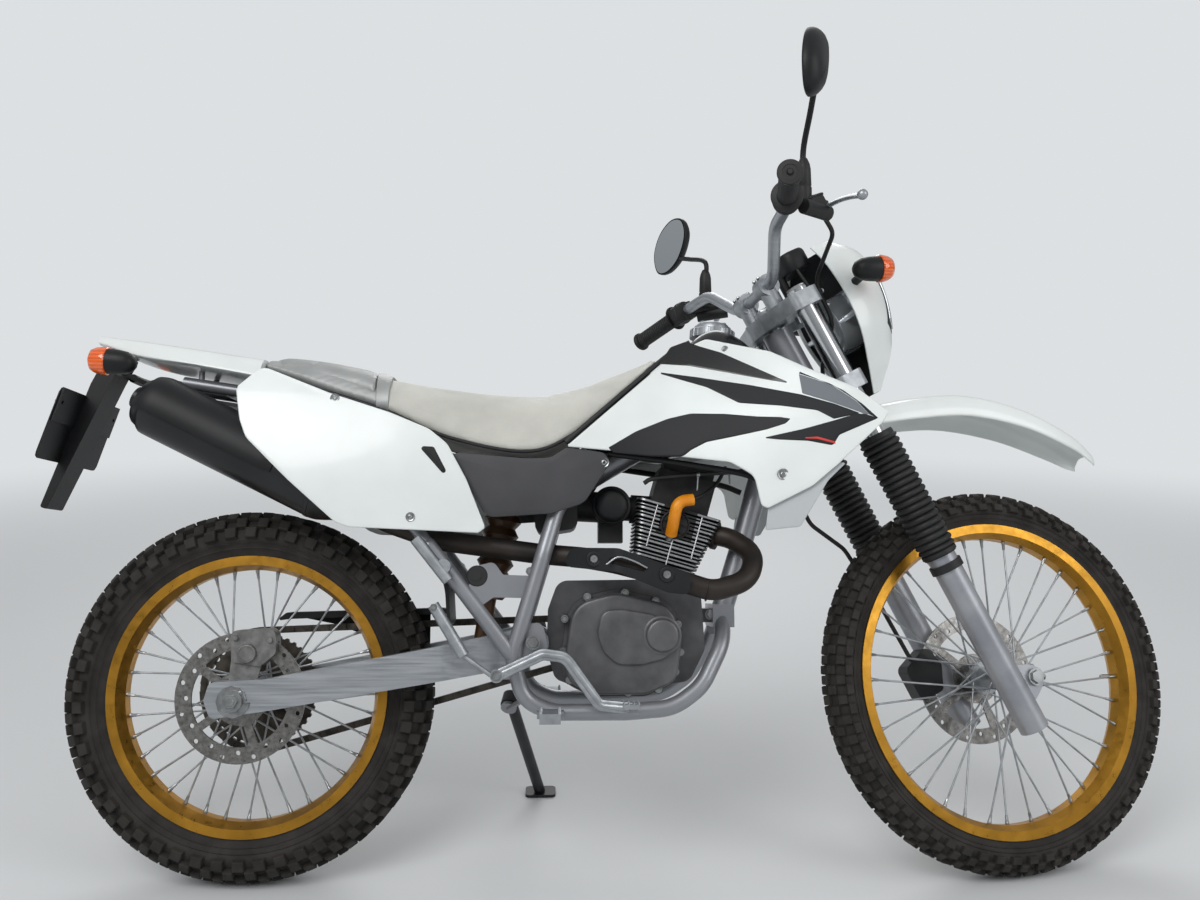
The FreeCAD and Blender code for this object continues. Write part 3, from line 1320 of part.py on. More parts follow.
def front_fender():
    """High front mudguard: an arched sheet from under the clamp to its tip."""
    rows = ((1040, 822, 44), (1098, 838, 50), (1200, 861, 58), (1310, 872, 60), (1430, 852, 56),
            (1530, 812, 48), (1590, 770, 34))

    def shell(drop):
        wires = []
        for x, z, half in rows:
            wires.append(hull_section(x, ((half - drop, z - 46 - drop * 2, 2),
                                          (half - drop - 2, z - 16 - drop, 12),
                                          (half * 0.5 - drop * 0.5, z - drop, 14))))
        return Part.makeLoft(wires, True, False)
    bottom = LOWER_CLAMP_Z - CLAMP_HEIGHT / 2 - SEAT_GAP
    bosses = [rod(fork_point(28, side * 22, bottom), fork_point(28, side * 22, bottom - 30), 8)
              for side in (1, -1)]
    return fused([shell(0)] + bosses).cut(shell(4))


COWL_ROWS = (
    (564, 100, 130, 36), (620, 100, 184, 70), (680, 102, 210, 98), (744, 104, 224, 106),
    (815, 110, 224, 88), (862, 120, 188, 52),
)


def cowl_body(shrink, back):
    """Cowl volume: rows of height, rear edge, nose and half width in the fork's axes."""
    wires = []
    for z, rear, nose, half in COWL_ROWS:
        rim_half = half - shrink
        tip = nose - shrink
        cheek = rear + (nose - rear) * 0.35
        spots = [fork_point(rear - back, -rim_half, z), fork_point(cheek, -rim_half, z),
                 fork_point(tip, -rim_half * 0.5, z), fork_point(tip, rim_half * 0.5, z),
                 fork_point(cheek, rim_half, z), fork_point(rear - back, rim_half, z)]
        radii = [2, 30, 24, 24, 30, 2]
        wires.append(Part.Wire(rounded_edges(spots, radii, True, True)))
    return Part.makeLoft(wires, True, False)


@functools.lru_cache(None)
def headlamp_cowl():
    """White cowl round the headlamp, open at the rear."""
    shell = cowl_body(0, 0).cut(cowl_body(4, 30))
    opening = fork_prism(((150, 656, 10), (150, 770, 10), (280, 770, 10), (280, 656, 10)), -70, 70)
    return shell.cut(opening)


def headlamp():
    """Headlamp with its bowl, filling the opening of the cowl."""
    lens = cowl_body(0.6, 0).common(
        fork_prism(((151, 657, 10), (151, 769, 10), (280, 769, 10), (280, 657, 10)), -69, 69))
    bowl = rod(fork_point(LAMP_BACK, 0, 712), fork_point(170, 0, 712), 54)
    ears = rod(fork_point(112, -103, 712), fork_point(112, 103, 712), 6)
    return fused([lens, bowl, ears]).cut(headlamp_cowl())


@functools.lru_cache(None)
def meter():
    """Instrument case above the upper clamp."""
    case = fork_slab(((66, -40, 22), (122, -40, 22), (122, 40, 22), (66, 40, 22)), 836, 878)
    stalk = fork_slab(((54, -14, 4), (72, -14, 4), (72, 14, 4), (54, 14, 4)), UPPER_CLAMP_Z + 15, 840)
    arm = fork_slab(((25, -14, 4), (70, -14, 4), (70, 14, 4), (25, 14, 4)),
                    UPPER_CLAMP_Z + 15.0, UPPER_CLAMP_Z + 21)
    return fused([case, stalk, arm])


BAR_PATH = ((-3, 0, BAR_HEIGHT), (-3, 84, BAR_HEIGHT), (0, 168, 898), (-2, 226, 906),
            (-78, 398, 911))


def bar_half(side):
    spots = [fork_point(x, side * y, z) for x, y, z in BAR_PATH]
    path = Part.Wire(rounded_edges(spots, [70.0] * len(spots), False))
    ring = Part.Wire(Part.makeCircle(BAR_RADIUS, spots[0], spots[1] - spots[0]))
    return path.makePipeShell([ring], True, False)


def handlebar():
    """Wide bar swept back to the grips."""
    return fused([bar_half(-1), bar_half(1)])


def grip_line(side):
    start = fork_point(BAR_PATH[3][0], side * BAR_PATH[3][1], BAR_PATH[3][2])
    end = fork_point(BAR_PATH[4][0], side * BAR_PATH[4][1], BAR_PATH[4][2])
    line = end - start
    line.normalize()
    return end, line


@functools.lru_cache(None)
def hand_controls():
    """Grips, switch housings, lever perches and levers."""
    pieces = []
    for side in (1, -1):
        end, line = grip_line(side)
        grip = rod(end - line * GRIP_LENGTH, end + line * 6, GRIP_RADIUS)
        housing = rod(end - line * (GRIP_LENGTH + 38), end - line * GRIP_LENGTH, 22)
        hole = rod(end - line * (GRIP_LENGTH + 60), end, BAR_RADIUS + SEAT_GAP)
        perch = rod(fork_point(-22, side * 256, 908), fork_point(62, side * 240, 884), 11)
        lever = bent_tube((tuple(fork_point(58, side * 240, 885)), tuple(fork_point(56, side * 290, 878)),
                           tuple(fork_point(28, side * 385, 846))), 5.5, 40.0)
        knob = Part.makeSphere(9, fork_point(28, side * 385, 846))
        whole = fused([grip, housing, perch, lever, knob])
        pieces.append(whole.cut(hole))
    return Part.makeCompound(pieces)


# Outline of a mirror: out from the stem and up, and the steps of its domed back
MIRROR_OUTLINE = ((-34, -52), (8, -58), (42, -34), (50, 4), (36, 44), (0, 62), (-38, 50), (-52, 6))
MIRROR_STEPS = ((-8, 1.0), (2, 1.0), (14, 0.8), (22, 0.4))


def mirror_head(side):
    """Mirror with a flat glass to the rear and a domed back."""
    centre = fork_point(80, side * 370, 1076)
    facing = STEER_FORWARD * 0.96 + Vec(0, side * 0.28, 0)
    facing.normalize()
    up = STEER_AXIS
    out = up.cross(facing) * (1 if side > 0 else -1)
    wires = []
    for height, scale in MIRROR_STEPS:
        middle = centre + facing * height
        spots = [middle + out * (u * scale) + up * (v * scale) for u, v in MIRROR_OUTLINE]
        wires.append(Part.makePolygon(spots + spots[:1]))
    return Part.makeLoft(wires, True, True)


def mirrors():
    """Two mirrors on bent stems."""
    pieces = []
    for side in (1, -1):
        foot = fork_point(26, side * 246, 905)
        stem = bent_tube((tuple(foot), tuple(fork_point(36, side * 262, 930)),
                          tuple(fork_point(70, side * 338, 1012)),
                          tuple(fork_point(79, side * 364, 1060))), 5.0, 20.0)
        pieces.append(fused([stem, mirror_head(side)]))
    controls = hand_controls()
    return Part.makeCompound([p.cut(controls) for p in pieces])


def front_flashers():
    """Front flashers on stalks at the cowl's sides."""
    pieces = []
    for side in (1, -1):
        stalk = rod(fork_point(136, side * 90, 762), fork_point(140, side * 140, 762), 8)
        start = fork_point(124, side * 152, 770)
        ahead = fork_point(160, side * 152, 756) - start
        ahead.normalize()
        body = Part.makeCone(12, 22, 16, start - ahead * 12, ahead)
        lamp = rod(start + ahead * 4, start + ahead * 34, 22)
        lens = Part.makeCone(25, 17, 26, start + ahead * 34, ahead)
        whole = fused([stalk, body, lamp, lens])
        pieces.append(whole.cut(cowl_body(-SEAT_GAP, 0)))
    return Part.makeCompound(pieces)


# The stand, and how the machine stands


def lean_placement(pitch):
    lean = FreeCAD.Rotation(Vec(1, 0, 0), -LEAN)
    nose = FreeCAD.Rotation(Vec(0, 1, 0), pitch)
    return FreeCAD.Placement(Vec(0, 0, 0), lean.multiply(nose))


def steered(point):
    turn = FreeCAD.Rotation(STEER_AXIS, STEER_ANGLE)
    return STEER_FOOT + turn.multVec(point - STEER_FOOT)


def lowest(place, centre, axle, radius, crown):
    """Height of the lowest point of a tyre with a round crown."""
    spot = place.multVec(centre)
    across = place.Rotation.multVec(axle)
    return spot.z - (radius - crown) * math.sqrt(1 - across.z ** 2) - crown


def standing():
    """Pitch and height that put both tyres on the ground at the given lean."""
    front_axle_line = FreeCAD.Rotation(STEER_AXIS, STEER_ANGLE).multVec(Vec(0, 1, 0))
    pitch = 0.0
    for _ in range(40):
        place = lean_placement(pitch)
        rear = lowest(place, REAR_AXLE, Vec(0, 1, 0), REAR_RADIUS, REAR_CROWN)
        front = lowest(place, steered(FRONT_AXLE), front_axle_line, FRONT_RADIUS, FRONT_CROWN)
        pitch += math.degrees((front - rear) / WHEELBASE)
    place = lean_placement(pitch)
    place.Base = Vec(ORIGIN_X, ORIGIN_Y, -rear)
    return place


# The part's origin lies on the ground below the middle of the whole machine
ORIGIN_X = -660.0
ORIGIN_Y = -286.0

STAND = standing()
STEER_TURN = FreeCAD.Placement(Vec(0, 0, 0), FreeCAD.Rotation(STEER_AXIS, STEER_ANGLE), STEER_FOOT)
STAND_DOWN = Vec(0.19, 0.669, -0.719)
STAND_FOLDED = Vec(-0.97, 0.15, 0.10)


def on_machine(shape):
    """A piece of the machine, leaned with it."""
    moved = shape.copy()
    moved.Placement = STAND.multiply(moved.Placement)
    return moved


def on_steering(shape):
    """A piece of the fork, turned with the bars and leaned with the machine."""
    moved = shape.copy()
    moved.Placement = STAND.multiply(STEER_TURN).multiply(moved.Placement)
    return moved


def stand_pivot():
    return Vec(STAND_PIVOT_X, STAND_PIVOT_Y, STAND_PIVOT_Z)


def stand_axis():
    axis = STAND_DOWN.cross(STAND_FOLDED)
    axis.normalize()
    return axis


def stand_foot():
    """Where the leg of the stand meets the ground, in the part's frame."""
    start = STAND.multVec(stand_pivot())
    line = STAND.Rotation.multVec(STAND_DOWN)
    line.normalize()
    reach = start.z / -line.z
    return start + line * reach


def side_stand():
    """Side stand: pivot eye, leg and flat foot, in the part's frame."""
    start = STAND.multVec(stand_pivot())
    foot = stand_foot()
    axis = STAND.Rotation.multVec(stand_axis())
    line = foot - start
    line.normalize()
    eye = rod(start - axis * STAND_EYE_HALF, start + axis * STAND_EYE_HALF, 17)
    leg = rod(start + line * 8, foot - line * 8, STAND_TUBE)
    half = STAND_FOOT_LENGTH / 2
    side = STAND_FOOT_WIDTH / 2
    pad = plan_prism(((foot.x - half, foot.y - side, 10), (foot.x + half, foot.y - side, 10),
                      (foot.x + half, foot.y + side, 10), (foot.x - half, foot.y + side, 10)),
                     0, STAND_FOOT_THICKNESS)
    whole = fused([eye, leg, pad])
    below = Part.makeBox(400, 400, 100, Vec(foot.x - 200, foot.y - 200, -100))
    whole = whole.cut(below)
    return whole.cut(rod(start - axis * 30, start + axis * 30, STAND_BOLT + SEAT_GAP))


def stand_bracket():
    """Plate, bolt and welded arm of the stand under the left cradle tube."""
    start = stand_pivot()
    axis = stand_axis()
    inner = STAND_EYE_HALF + RUNNING_GAP
    plate = rod(start - axis * (inner + 7), start - axis * inner, 15)
    bolt = rod(start - axis * (inner + 7), start + axis * (inner + 5), STAND_BOLT)
    cap = rod(start + axis * inner, start + axis * (inner + 5), 10)
    tube = Vec(*STAND_WELD)
    out = tube - start
    out = out - axis * out.dot(axis)
    out.normalize()
    corner = start - axis * (inner + 6) + out * 40
    arm = rod(start - axis * (inner + 6), corner, 5)
    knee = Part.makeSphere(5, corner)
    weld = rod(corner, tube, 5)
    return fused([plate, bolt, cap, arm, knee, weld])


MACHINE_PIECES = (
    frame_front, frame_backbone, frame_cradle_right, frame_cradle_left, crankcase, engine_covers,
    cylinder, cylinder_head, plug_cap, intake, exhaust_pipe, exhaust_shield, muffler, fuel_tank, tank_cap,
    shroud_right, shroud_left, side_cover_right, side_cover_left, lower_covers, seat, tail_cover,
    inner_fender, plate_bracket, rear_lamps, swingarm, rear_axle, shock_absorber, chain,
    chain_guard, rear_caliper, foot_controls, footrests,
)
STEERING_PIECES = (
    fork_clamps, fork_tubes, fork_gaiters, fork_legs, front_axle, front_caliper, front_fender,
    headlamp_cowl, headlamp, meter, handlebar, hand_controls, mirrors, front_flashers,
    speedometer_cable, brake_hose,
)
FRONT_WHEEL_PIECES = (front_tyre, front_rim, front_hub, front_disc)
REAR_WHEEL_PIECES = (rear_tyre, rear_rim, rear_hub, rear_disc, rear_sprocket)


def moved_to(shape, spot):
    moved = shape.copy()
    moved.translate(spot)
    return moved


def front_wheel_piece(shape):
    """A piece drawn about the axle, put on the fork's axle."""
    return on_steering(moved_to(shape, FRONT_AXLE))


def rear_wheel_piece(shape):
    return on_machine(moved_to(shape, REAR_AXLE))


def as_made(shape):
    return shape


GROUPS = (
    (MACHINE_PIECES, on_machine), (STEERING_PIECES, on_steering),
    (FRONT_WHEEL_PIECES, front_wheel_piece), (REAR_WHEEL_PIECES, rear_wheel_piece),
    ((side_stand,), as_made),
)


def report_line(name, point, direction):
    print("FACT", name, *[round(a, 6) for a in (*point, *direction)])


def main():
    os.makedirs("parts", exist_ok=True)
    box = FreeCAD.BoundBox()
    for makers, place in GROUPS:
        for maker in makers:
            shape = place(maker())
            if not shape.isValid() or not shape.Solids:
                print("CHECK", maker.__name__, shape.isValid(), len(shape.Solids))
            shape.exportStep("parts/" + maker.__name__ + ".step")
            box.add(shape.BoundBox)
            print(maker.__name__, len(shape.Solids), round(shape.Volume / 1000, 1))
    print("BOX", box)
    turn = STAND.Rotation
    report_line("steering", STAND.multVec(STEER_FOOT), turn.multVec(STEER_AXIS))
    wheel = STAND.multiply(STEER_TURN)
    report_line("front_axle", wheel.multVec(FRONT_AXLE), wheel.Rotation.multVec(Vec(0, 1, 0)))
    report_line("rear_axle", STAND.multVec(REAR_AXLE), turn.multVec(Vec(0, 1, 0)))
    report_line("stand", STAND.multVec(stand_pivot()), turn.multVec(stand_axis()))
    report_line("stand_foot", stand_foot(), Vec(0, 0, -1))
    for side, name in ((1, "plate_bolt_left"), (-1, "plate_bolt_right")):
        report_line(name, STAND.multVec(plate_bolt(side)), turn.multVec(plate_axis()))


main()
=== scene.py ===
import math

import bpy
import numpy as np
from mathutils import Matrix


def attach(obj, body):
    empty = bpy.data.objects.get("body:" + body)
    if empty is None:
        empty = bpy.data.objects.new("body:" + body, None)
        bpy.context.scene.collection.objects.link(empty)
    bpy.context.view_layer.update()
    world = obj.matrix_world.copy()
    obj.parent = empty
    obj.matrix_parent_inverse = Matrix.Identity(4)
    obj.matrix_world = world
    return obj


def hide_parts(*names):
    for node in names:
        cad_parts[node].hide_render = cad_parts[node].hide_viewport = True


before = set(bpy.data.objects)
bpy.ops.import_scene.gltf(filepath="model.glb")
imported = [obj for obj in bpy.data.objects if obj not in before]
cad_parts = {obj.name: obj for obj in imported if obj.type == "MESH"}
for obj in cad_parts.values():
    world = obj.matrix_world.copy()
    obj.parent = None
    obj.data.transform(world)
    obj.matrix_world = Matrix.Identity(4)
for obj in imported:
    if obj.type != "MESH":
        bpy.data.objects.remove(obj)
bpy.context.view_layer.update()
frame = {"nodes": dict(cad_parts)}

# Looks of the dual sport motorcycle. Shapes are drawn in millimetres on the upright machine
# with straight bars, X forward from the rear axle, Y to the left and Z up, or in the fork's
# own axes, x ahead of the steering axis and z along it from the front axle. The place
# functions turn the bars, lean the machine and give metres in the frame of the CAD model.

bl_info = {
    "name": "Dual sport motorcycle",
    "version": (1, 0, 0),
    "blender": (4, 5, 0),
    "location": "View3D > Sidebar > Motorcycle",
    "description": "Builds the visible surfaces of a dual sport motorcycle round its CAD frame",
    "category": "Object",
}

# How the machine stands
LEAN = 13.84
PITCH = 0.21638
STEER_ANGLE = 13.28
RAKE = 27.13
ORIGIN = np.array((-660.0, -286.0, 1.628))
FRONT_AXLE = np.array((1343.6, 0.0, 343.0))
REAR_AXLE = np.array((0.0, 0.0, 322.0))
STEER_OFFSET = 60.0

# Fork tubes in the fork's own axes, and directions that many small parts point to
TUBE_AHEAD = 20
TUBE_SIDE = 100
UP = (0, 0, 1)
RIGHT = (0, -1, 0)
LEFT = (0, 1, 0)
AHEAD = (1, 0, 0)

# Angle in degrees above which an edge is drawn sharp
SHARP_EDGE = 38.0

# Camera of the view, in millimetres and degrees
CAMERA_SPOT = (-118.6, -2041.4, 968.8)
CAMERA_YAW = -2.29
CAMERA_DOWN = 6.84
CAMERA_ROLL = -0.30
CAMERA_LENS = 31.75


def turn_matrix(axis, degrees):
    """Rotation about an axis: cosine part, cross part and the axis' own part."""
    x, y, z = np.asarray(axis, float) / np.linalg.norm(axis)
    angle = math.radians(degrees)
    cross = np.array(((0, -z, y), (z, 0, -x), (-y, x, 0)))
    own = np.outer((x, y, z), (x, y, z))
    return math.cos(angle) * np.eye(3) + math.sin(angle) * cross + (1 - math.cos(angle)) * own


rake = math.radians(RAKE)
STEER_AXIS = np.array((-math.sin(rake), 0.0, math.cos(rake)))
STEER_FORWARD = np.array((math.cos(rake), 0.0, math.sin(rake)))
STEER_FOOT = FRONT_AXLE - STEER_FORWARD * STEER_OFFSET
LEAN_TURN = turn_matrix(AHEAD, -LEAN) @ turn_matrix(LEFT, PITCH)
STEER_TURN = turn_matrix(STEER_AXIS, STEER_ANGLE)


def on_machine(points):
    """Points of the upright machine, leaned, set on the ground and given in metres."""
    return (np.asarray(points, float) @ LEAN_TURN.T + ORIGIN) * 0.001


def on_steering(points):
    """Points of the straight fork, turned with the bars and leaned with the machine."""
    points = np.asarray(points, float)
    return on_machine((points - STEER_FOOT) @ STEER_TURN.T + STEER_FOOT)


def on_fork(points):
    """Points in the fork's own axes, put on the turned fork."""
    points = np.asarray(points, float)
    x, y, z = points[..., 0:1], points[..., 1:2], points[..., 2:3]
    return on_steering(STEER_FOOT + x * STEER_FORWARD + y * np.array(LEFT) + z * STEER_AXIS)


def on_front_wheel(points):
    """Points round the middle of the front axle."""
    return on_steering(np.asarray(points, float) + FRONT_AXLE)


def on_rear_wheel(points):
    """Points round the middle of the rear axle."""
    return on_machine(np.asarray(points, float) + REAR_AXLE)


# Surfaces: a part is an array of points and an array of faces, where -1 marks a triangle


def unit(vectors):
    """The vectors divided by their lengths."""
    return vectors / np.linalg.norm(vectors, axis=-1, keepdims=True)


def smooth(rows, count, closed=False):
    """Curve through rows: in each span a cubic whose end slopes are half the step between the
    neighbours on both sides. Works along the first axis of any array."""
    rows = np.asarray(rows, float)
    n = len(rows)
    if closed:
        t = np.linspace(0, n, count, endpoint=False)
        i = np.minimum(t.astype(int), n - 1)
        a, b, c, d = (rows[(i + k) % n] for k in (-1, 0, 1, 2))
    else:
        t = np.linspace(0, n - 1, count)
        i = np.minimum(t.astype(int), n - 2)
        first = 2 * rows[:1] - rows[1:2]
        last = 2 * rows[-1:] - rows[-2:-1]
        longer = np.concatenate((first, rows, last))
        a, b, c, d = (longer[i + k] for k in (0, 1, 2, 3))
    f = (t - i).reshape((-1,) + (1,) * (rows.ndim - 1))
    return 0.5 * (2 * b + (c - a) * f + (2 * a - 5 * b + 4 * c - d) * f ** 2
                  + (3 * b - a - 3 * c + d) * f ** 3)


def even(path, count, closed=False):
    """The same path with points at even steps of its length."""
    path = np.asarray(path, float)
    if closed:
        path = np.concatenate((path, path[:1]))
    steps = np.linalg.norm(np.diff(path, axis=0), axis=1)
    along = np.concatenate(((0,), np.cumsum(steps)))
    wanted = np.linspace(0, along[-1], count, endpoint=not closed)
    return np.stack([np.interp(wanted, along, path[:, k]) for k in range(path.shape[1])], axis=1)


def rounded(rows, closed=True, arc_points=7):
    """Outline from corners and radii, the last column: each corner becomes an arc that is tangent
    to both sides."""
    rows = np.asarray(rows, float)
    spots, radii = rows[:, :-1], rows[:, -1]
    pieces = []
    for k in range(len(spots)):
        corner = spots[k]
        if radii[k] <= 0 or (not closed and k in (0, len(spots) - 1)):
            pieces.append(corner[None])
            continue
        back = spots[k - 1] - corner
        ahead = spots[(k + 1) % len(spots)] - corner
        room = 0.45 * min(np.linalg.norm(back), np.linalg.norm(ahead))
        back, ahead = unit(back), unit(ahead)
        half = math.acos(max(-1.0, min(1.0, float(back @ ahead)))) / 2
        reach = min(radii[k] / math.tan(half), room)
        radius = reach * math.tan(half)
        centre = corner + unit(back + ahead) * (radius / math.sin(half))
        start = corner + back * reach - centre
        end = corner + ahead * reach - centre
        angle = math.pi - 2 * half
        f = np.linspace(0, 1, arc_points)[:, None]
        pieces.append(
            centre + (np.sin((1 - f) * angle) * start + np.sin(f * angle) * end) / math.sin(angle))
    return np.concatenate(pieces)


def rounded_outline(corners, count):
    """Closed outline with rounded corners, in evenly spaced points."""
    return even(rounded(corners), count, True)


def rectangle(u0, u1, v0, v1, radius, count):
    """Rectangle with rounded corners."""
    return rounded_outline(((u0, v0, radius), (u1, v0, radius), (u1, v1, radius), (u0, v1, radius)), count)


def placing(origin, u, v, w):
    """Place for flat outlines: from an origin, u and v in a plane and w square to it."""
    u, v, w = (np.asarray(axis, float) for axis in (u, v, w))

    def place(points):
        points = np.asarray(points, float)
        return origin + points[..., 0:1] * u + points[..., 1:2] * v + points[..., 2:3] * w

    return place


def grid_faces(rows, columns, wrap_rows=False, wrap_columns=False):
    """Quads between neighbouring points of a grid that is stored row by row."""
    down = np.arange(rows if wrap_rows else rows - 1)
    over = np.arange(columns if wrap_columns else columns - 1)
    r, c = np.meshgrid(down, over, indexing="ij")
    r, c = r.ravel(), c.ravel()
    r2, c2 = (r + 1) % rows, (c + 1) % columns
    return np.stack((r * columns + c, r * columns + c2, r2 * columns + c2, r2 * columns + c), 1)


def volume(points, faces):
    """Volume of a closed part, from the cones between its faces and the origin."""
    tri = np.where(faces[:, 3] < 0, faces[:, 2], faces[:, 3])
    a, b, c, d = (points[faces[:, 0]], points[faces[:, 1]], points[faces[:, 2]], points[tri])
    return float((np.cross(a, b) * c).sum() + (np.cross(a, c) * d).sum())


def outward(points, faces):
    """The part with its faces pointing out."""
    middle = points - points.mean(0)
    if volume(middle, faces) < 0:
        quad = faces[:, 3] >= 0
        flipped = faces.copy()
        flipped[quad] = faces[quad][:, ::-1]
        flipped[~quad, :3] = faces[~quad][:, 2::-1]
        faces = flipped
    return points, faces


def fan(ring, centre):
    """Triangles from a closed ring of indices to a middle point."""
    ring = np.asarray(ring)
    after = np.roll(ring, -1)
    return np.stack((ring, after, np.full(len(ring), centre), np.full(len(ring), -1)), 1)


def loft(rings, rounded_ends=0.0):
    """Closed body through rings of points, an array of ring, point and x y z, with both ends
    closed to their middle, which may stand out by a little."""
    rings = np.asarray(rings, float)
    rows, columns = rings.shape[:2]
    faces = grid_faces(rows, columns, wrap_columns=True)
    middles = rings[[0, -1]].mean(1)
    out = middles - rings[[1, -2]].mean(1)
    out /= np.maximum(np.linalg.norm(out, axis=1, keepdims=True), 1e-9)
    middles = middles + out * rounded_ends
    points = np.concatenate((rings.reshape(-1, 3), middles))
    start = fan(np.arange(columns)[::-1], rows * columns)
    end = fan((rows - 1) * columns + np.arange(columns), rows * columns + 1)
    return outward(points, np.concatenate((faces, start, end)))


def frames_along(path):
    """Two directions square to a path: the world axis least in line with it, made square, and
    their cross product."""
    tangent = unit(np.gradient(path, axis=0))
    worst = np.abs(tangent).max(0)
    axis = np.eye(3)[int(worst.argmin())]
    side = unit(axis - (tangent @ axis)[:, None] * tangent)
    return tangent, side, np.cross(tangent, side)


def tube(path, radius, sides=16):
    """Round tube: a circle of the given radius, or radii, carried along a path."""
    path = np.asarray(path, float)
    _, side, up = frames_along(path)
    angle = np.linspace(0, 2 * math.pi, sides, endpoint=False)[None, :, None]
    radius = np.broadcast_to(np.asarray(radius, float), (len(path),))[:, None, None]
    rings = path[:, None] + radius * (np.cos(angle) * side[:, None] + np.sin(angle) * up[:, None])
    return loft(rings)


def strip_tube(path, outline):
    """A closed flat outline of side and up distances carried along a path."""
    path = np.asarray(path, float)
    _, side, up = frames_along(path)
    rings = path[:, None] + outline[None, :, :1] * side[:, None] + outline[None, :, 1:] * up[:, None]
    return loft(rings)


def basis(axis, hint=UP):
    """Three square directions: two across and the axis itself."""
    axis = unit(np.asarray(axis, float))
    hint = np.asarray(hint, float)
    if abs(float(axis @ unit(hint))) > 0.95:
        hint = np.array((1.0, 0.0, 0.0))
    across = unit(np.cross(hint, axis))
    return np.stack((across, np.cross(axis, across), axis))


def lathe(profile, centre, axis, sides=48):
    """Turned body: rows of radius and height turned about an axis. A profile that starts and ends
    off the axis is closed on itself as a ring."""
    profile = np.asarray(profile, float)
    across, other, line = basis(axis)
    angle = np.linspace(0, 2 * math.pi, sides, endpoint=False)[None, :, None]
    radius, height = profile[:, 0][:, None, None], profile[:, 1][:, None, None]
    rings = (np.asarray(centre, float) + radius * (np.cos(angle) * across + np.sin(angle) * other)
             + height * line)
    if profile[0, 0] < 1e-6 and profile[-1, 0] < 1e-6:
        points, faces = loft(rings[1:-1])
        points[-2:] = rings[0, 0], rings[-1, 0]
        return outward(points, faces)
    faces = grid_faces(len(profile), sides, wrap_rows=True, wrap_columns=True)
    return outward(rings.reshape(-1, 3), faces)


def stack(outline, steps, place):
    """Closed body on a flat outline: rings of the outline, drawn in by each step's first number at
    the height of its second, and closed to the middle. Place turns u, v and height into x y z."""
    outline = np.asarray(outline, float)
    ahead = np.roll(outline, -1, 0) - np.roll(outline, 1, 0)
    inward = unit(np.stack((-ahead[:, 1], ahead[:, 0]), 1))
    after = np.roll(outline, -1, 0)
    area = (outline[:, 0] * after[:, 1] - outline[:, 1] * after[:, 0]).sum()
    inward = inward * math.copysign(1.0, area)
    rings = [np.concatenate((outline + inward * inset, np.full((len(outline), 1), float(height))), 1)
             for inset, height in steps]
    return loft(place(np.array(rings)))


def boundary(rows, columns):
    """Indices round the edge of a grid, in order."""
    low = np.arange(columns)
    right = np.arange(1, rows) * columns + columns - 1
    high = (rows - 1) * columns + np.arange(columns - 2, -1, -1)
    left = np.arange(rows - 2, 0, -1) * columns
    return np.concatenate((low, right, high, left))


def shell(outer, inner, rims=()):
    """Closed wall between two grids of the same size, with loops of points between their edges."""
    rows, columns = outer.shape[:2]
    edge = boundary(rows, columns)
    count = rows * columns
    front = grid_faces(rows, columns)
    back = grid_faces(rows, columns)[:, ::-1] + count
    points = [outer.reshape(-1, 3), inner.reshape(-1, 3)]
    loops = [edge]
    offset = 2 * count
    for loop in rims:
        points.append(loop)
        loops.append(np.arange(offset, offset + len(edge)))
        offset += len(edge)
    loops.append(edge + count)
    bands = []
    for near, far in zip(loops[:-1], loops[1:]):
        bands.append(np.stack((np.roll(near, -1), near, far, np.roll(far, -1)), 1))
    return outward(np.concatenate(points), np.concatenate([front, back] + bands))


def copies(part, spots, axes):
    """One small part repeated: its z follows each axis and its origin goes to each spot."""
    points, faces = part
    spots = np.atleast_2d(np.asarray(spots, float))
    axes = np.broadcast_to(np.asarray(axes, float), spots.shape)
    turns = np.array([basis(a) for a in axes])
    placed = np.einsum("pk,nkj->npj", points, turns) + spots[:, None]
    shift = (np.arange(len(spots)) * len(points))[:, None, None]
    repeated = np.where(faces[None] < 0, -1, faces[None] + shift)
    return placed.reshape(-1, 3), repeated.reshape(-1, 4)


def mirrored(part):
    """The part on the other side of the machine."""
    points, faces = part
    return outward(points * np.array((1, -1, 1)), faces)


def both_sides(parts):
    """The parts and their mirror images."""
    return list(parts) + [mirrored(p) for p in parts]


def join(parts):
    """Several parts as one."""
    offsets = np.cumsum([0] + [len(p[0]) for p in parts])
    return (np.concatenate([p[0] for p in parts]),
            np.concatenate([np.where(p[1] < 0, -1, p[1] + o) for p, o in zip(parts, offsets)]))


def make_piece(name, parts, place, body, finish, replaces=(), sharp=SHARP_EDGE):
    """Joins parts into one object that rides on a body, with a sharp edge above an angle."""
    points, faces = join(parts)
    quads = faces[faces[:, 3] >= 0]
    triangles = faces[faces[:, 3] < 0][:, :3]
    mesh = bpy.data.meshes.new(name)
    mesh.vertices.add(len(points))
    mesh.vertices.foreach_set("co", place(points).ravel())
    corners = np.concatenate((quads.ravel(), triangles.ravel()))
    mesh.loops.add(len(corners))
    mesh.loops.foreach_set("vertex_index", corners)
    starts = np.concatenate((np.arange(len(quads)) * 4, len(quads) * 4 + np.arange(len(triangles)) * 3))
    mesh.polygons.add(len(starts))
    mesh.polygons.foreach_set("loop_start", starts)
    mesh.update(calc_edges=True)
    mesh.polygons.foreach_set("use_smooth", np.ones(len(starts), bool))
    mesh.set_sharp_from_angle(angle=math.radians(sharp))
    mesh.validate()
    item = bpy.data.objects.new(name, mesh)
    bpy.context.scene.collection.objects.link(item)
    mesh.materials.append(finish_of(finish))
    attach(item, body)
    if replaces:
        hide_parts(*replaces)
    return item


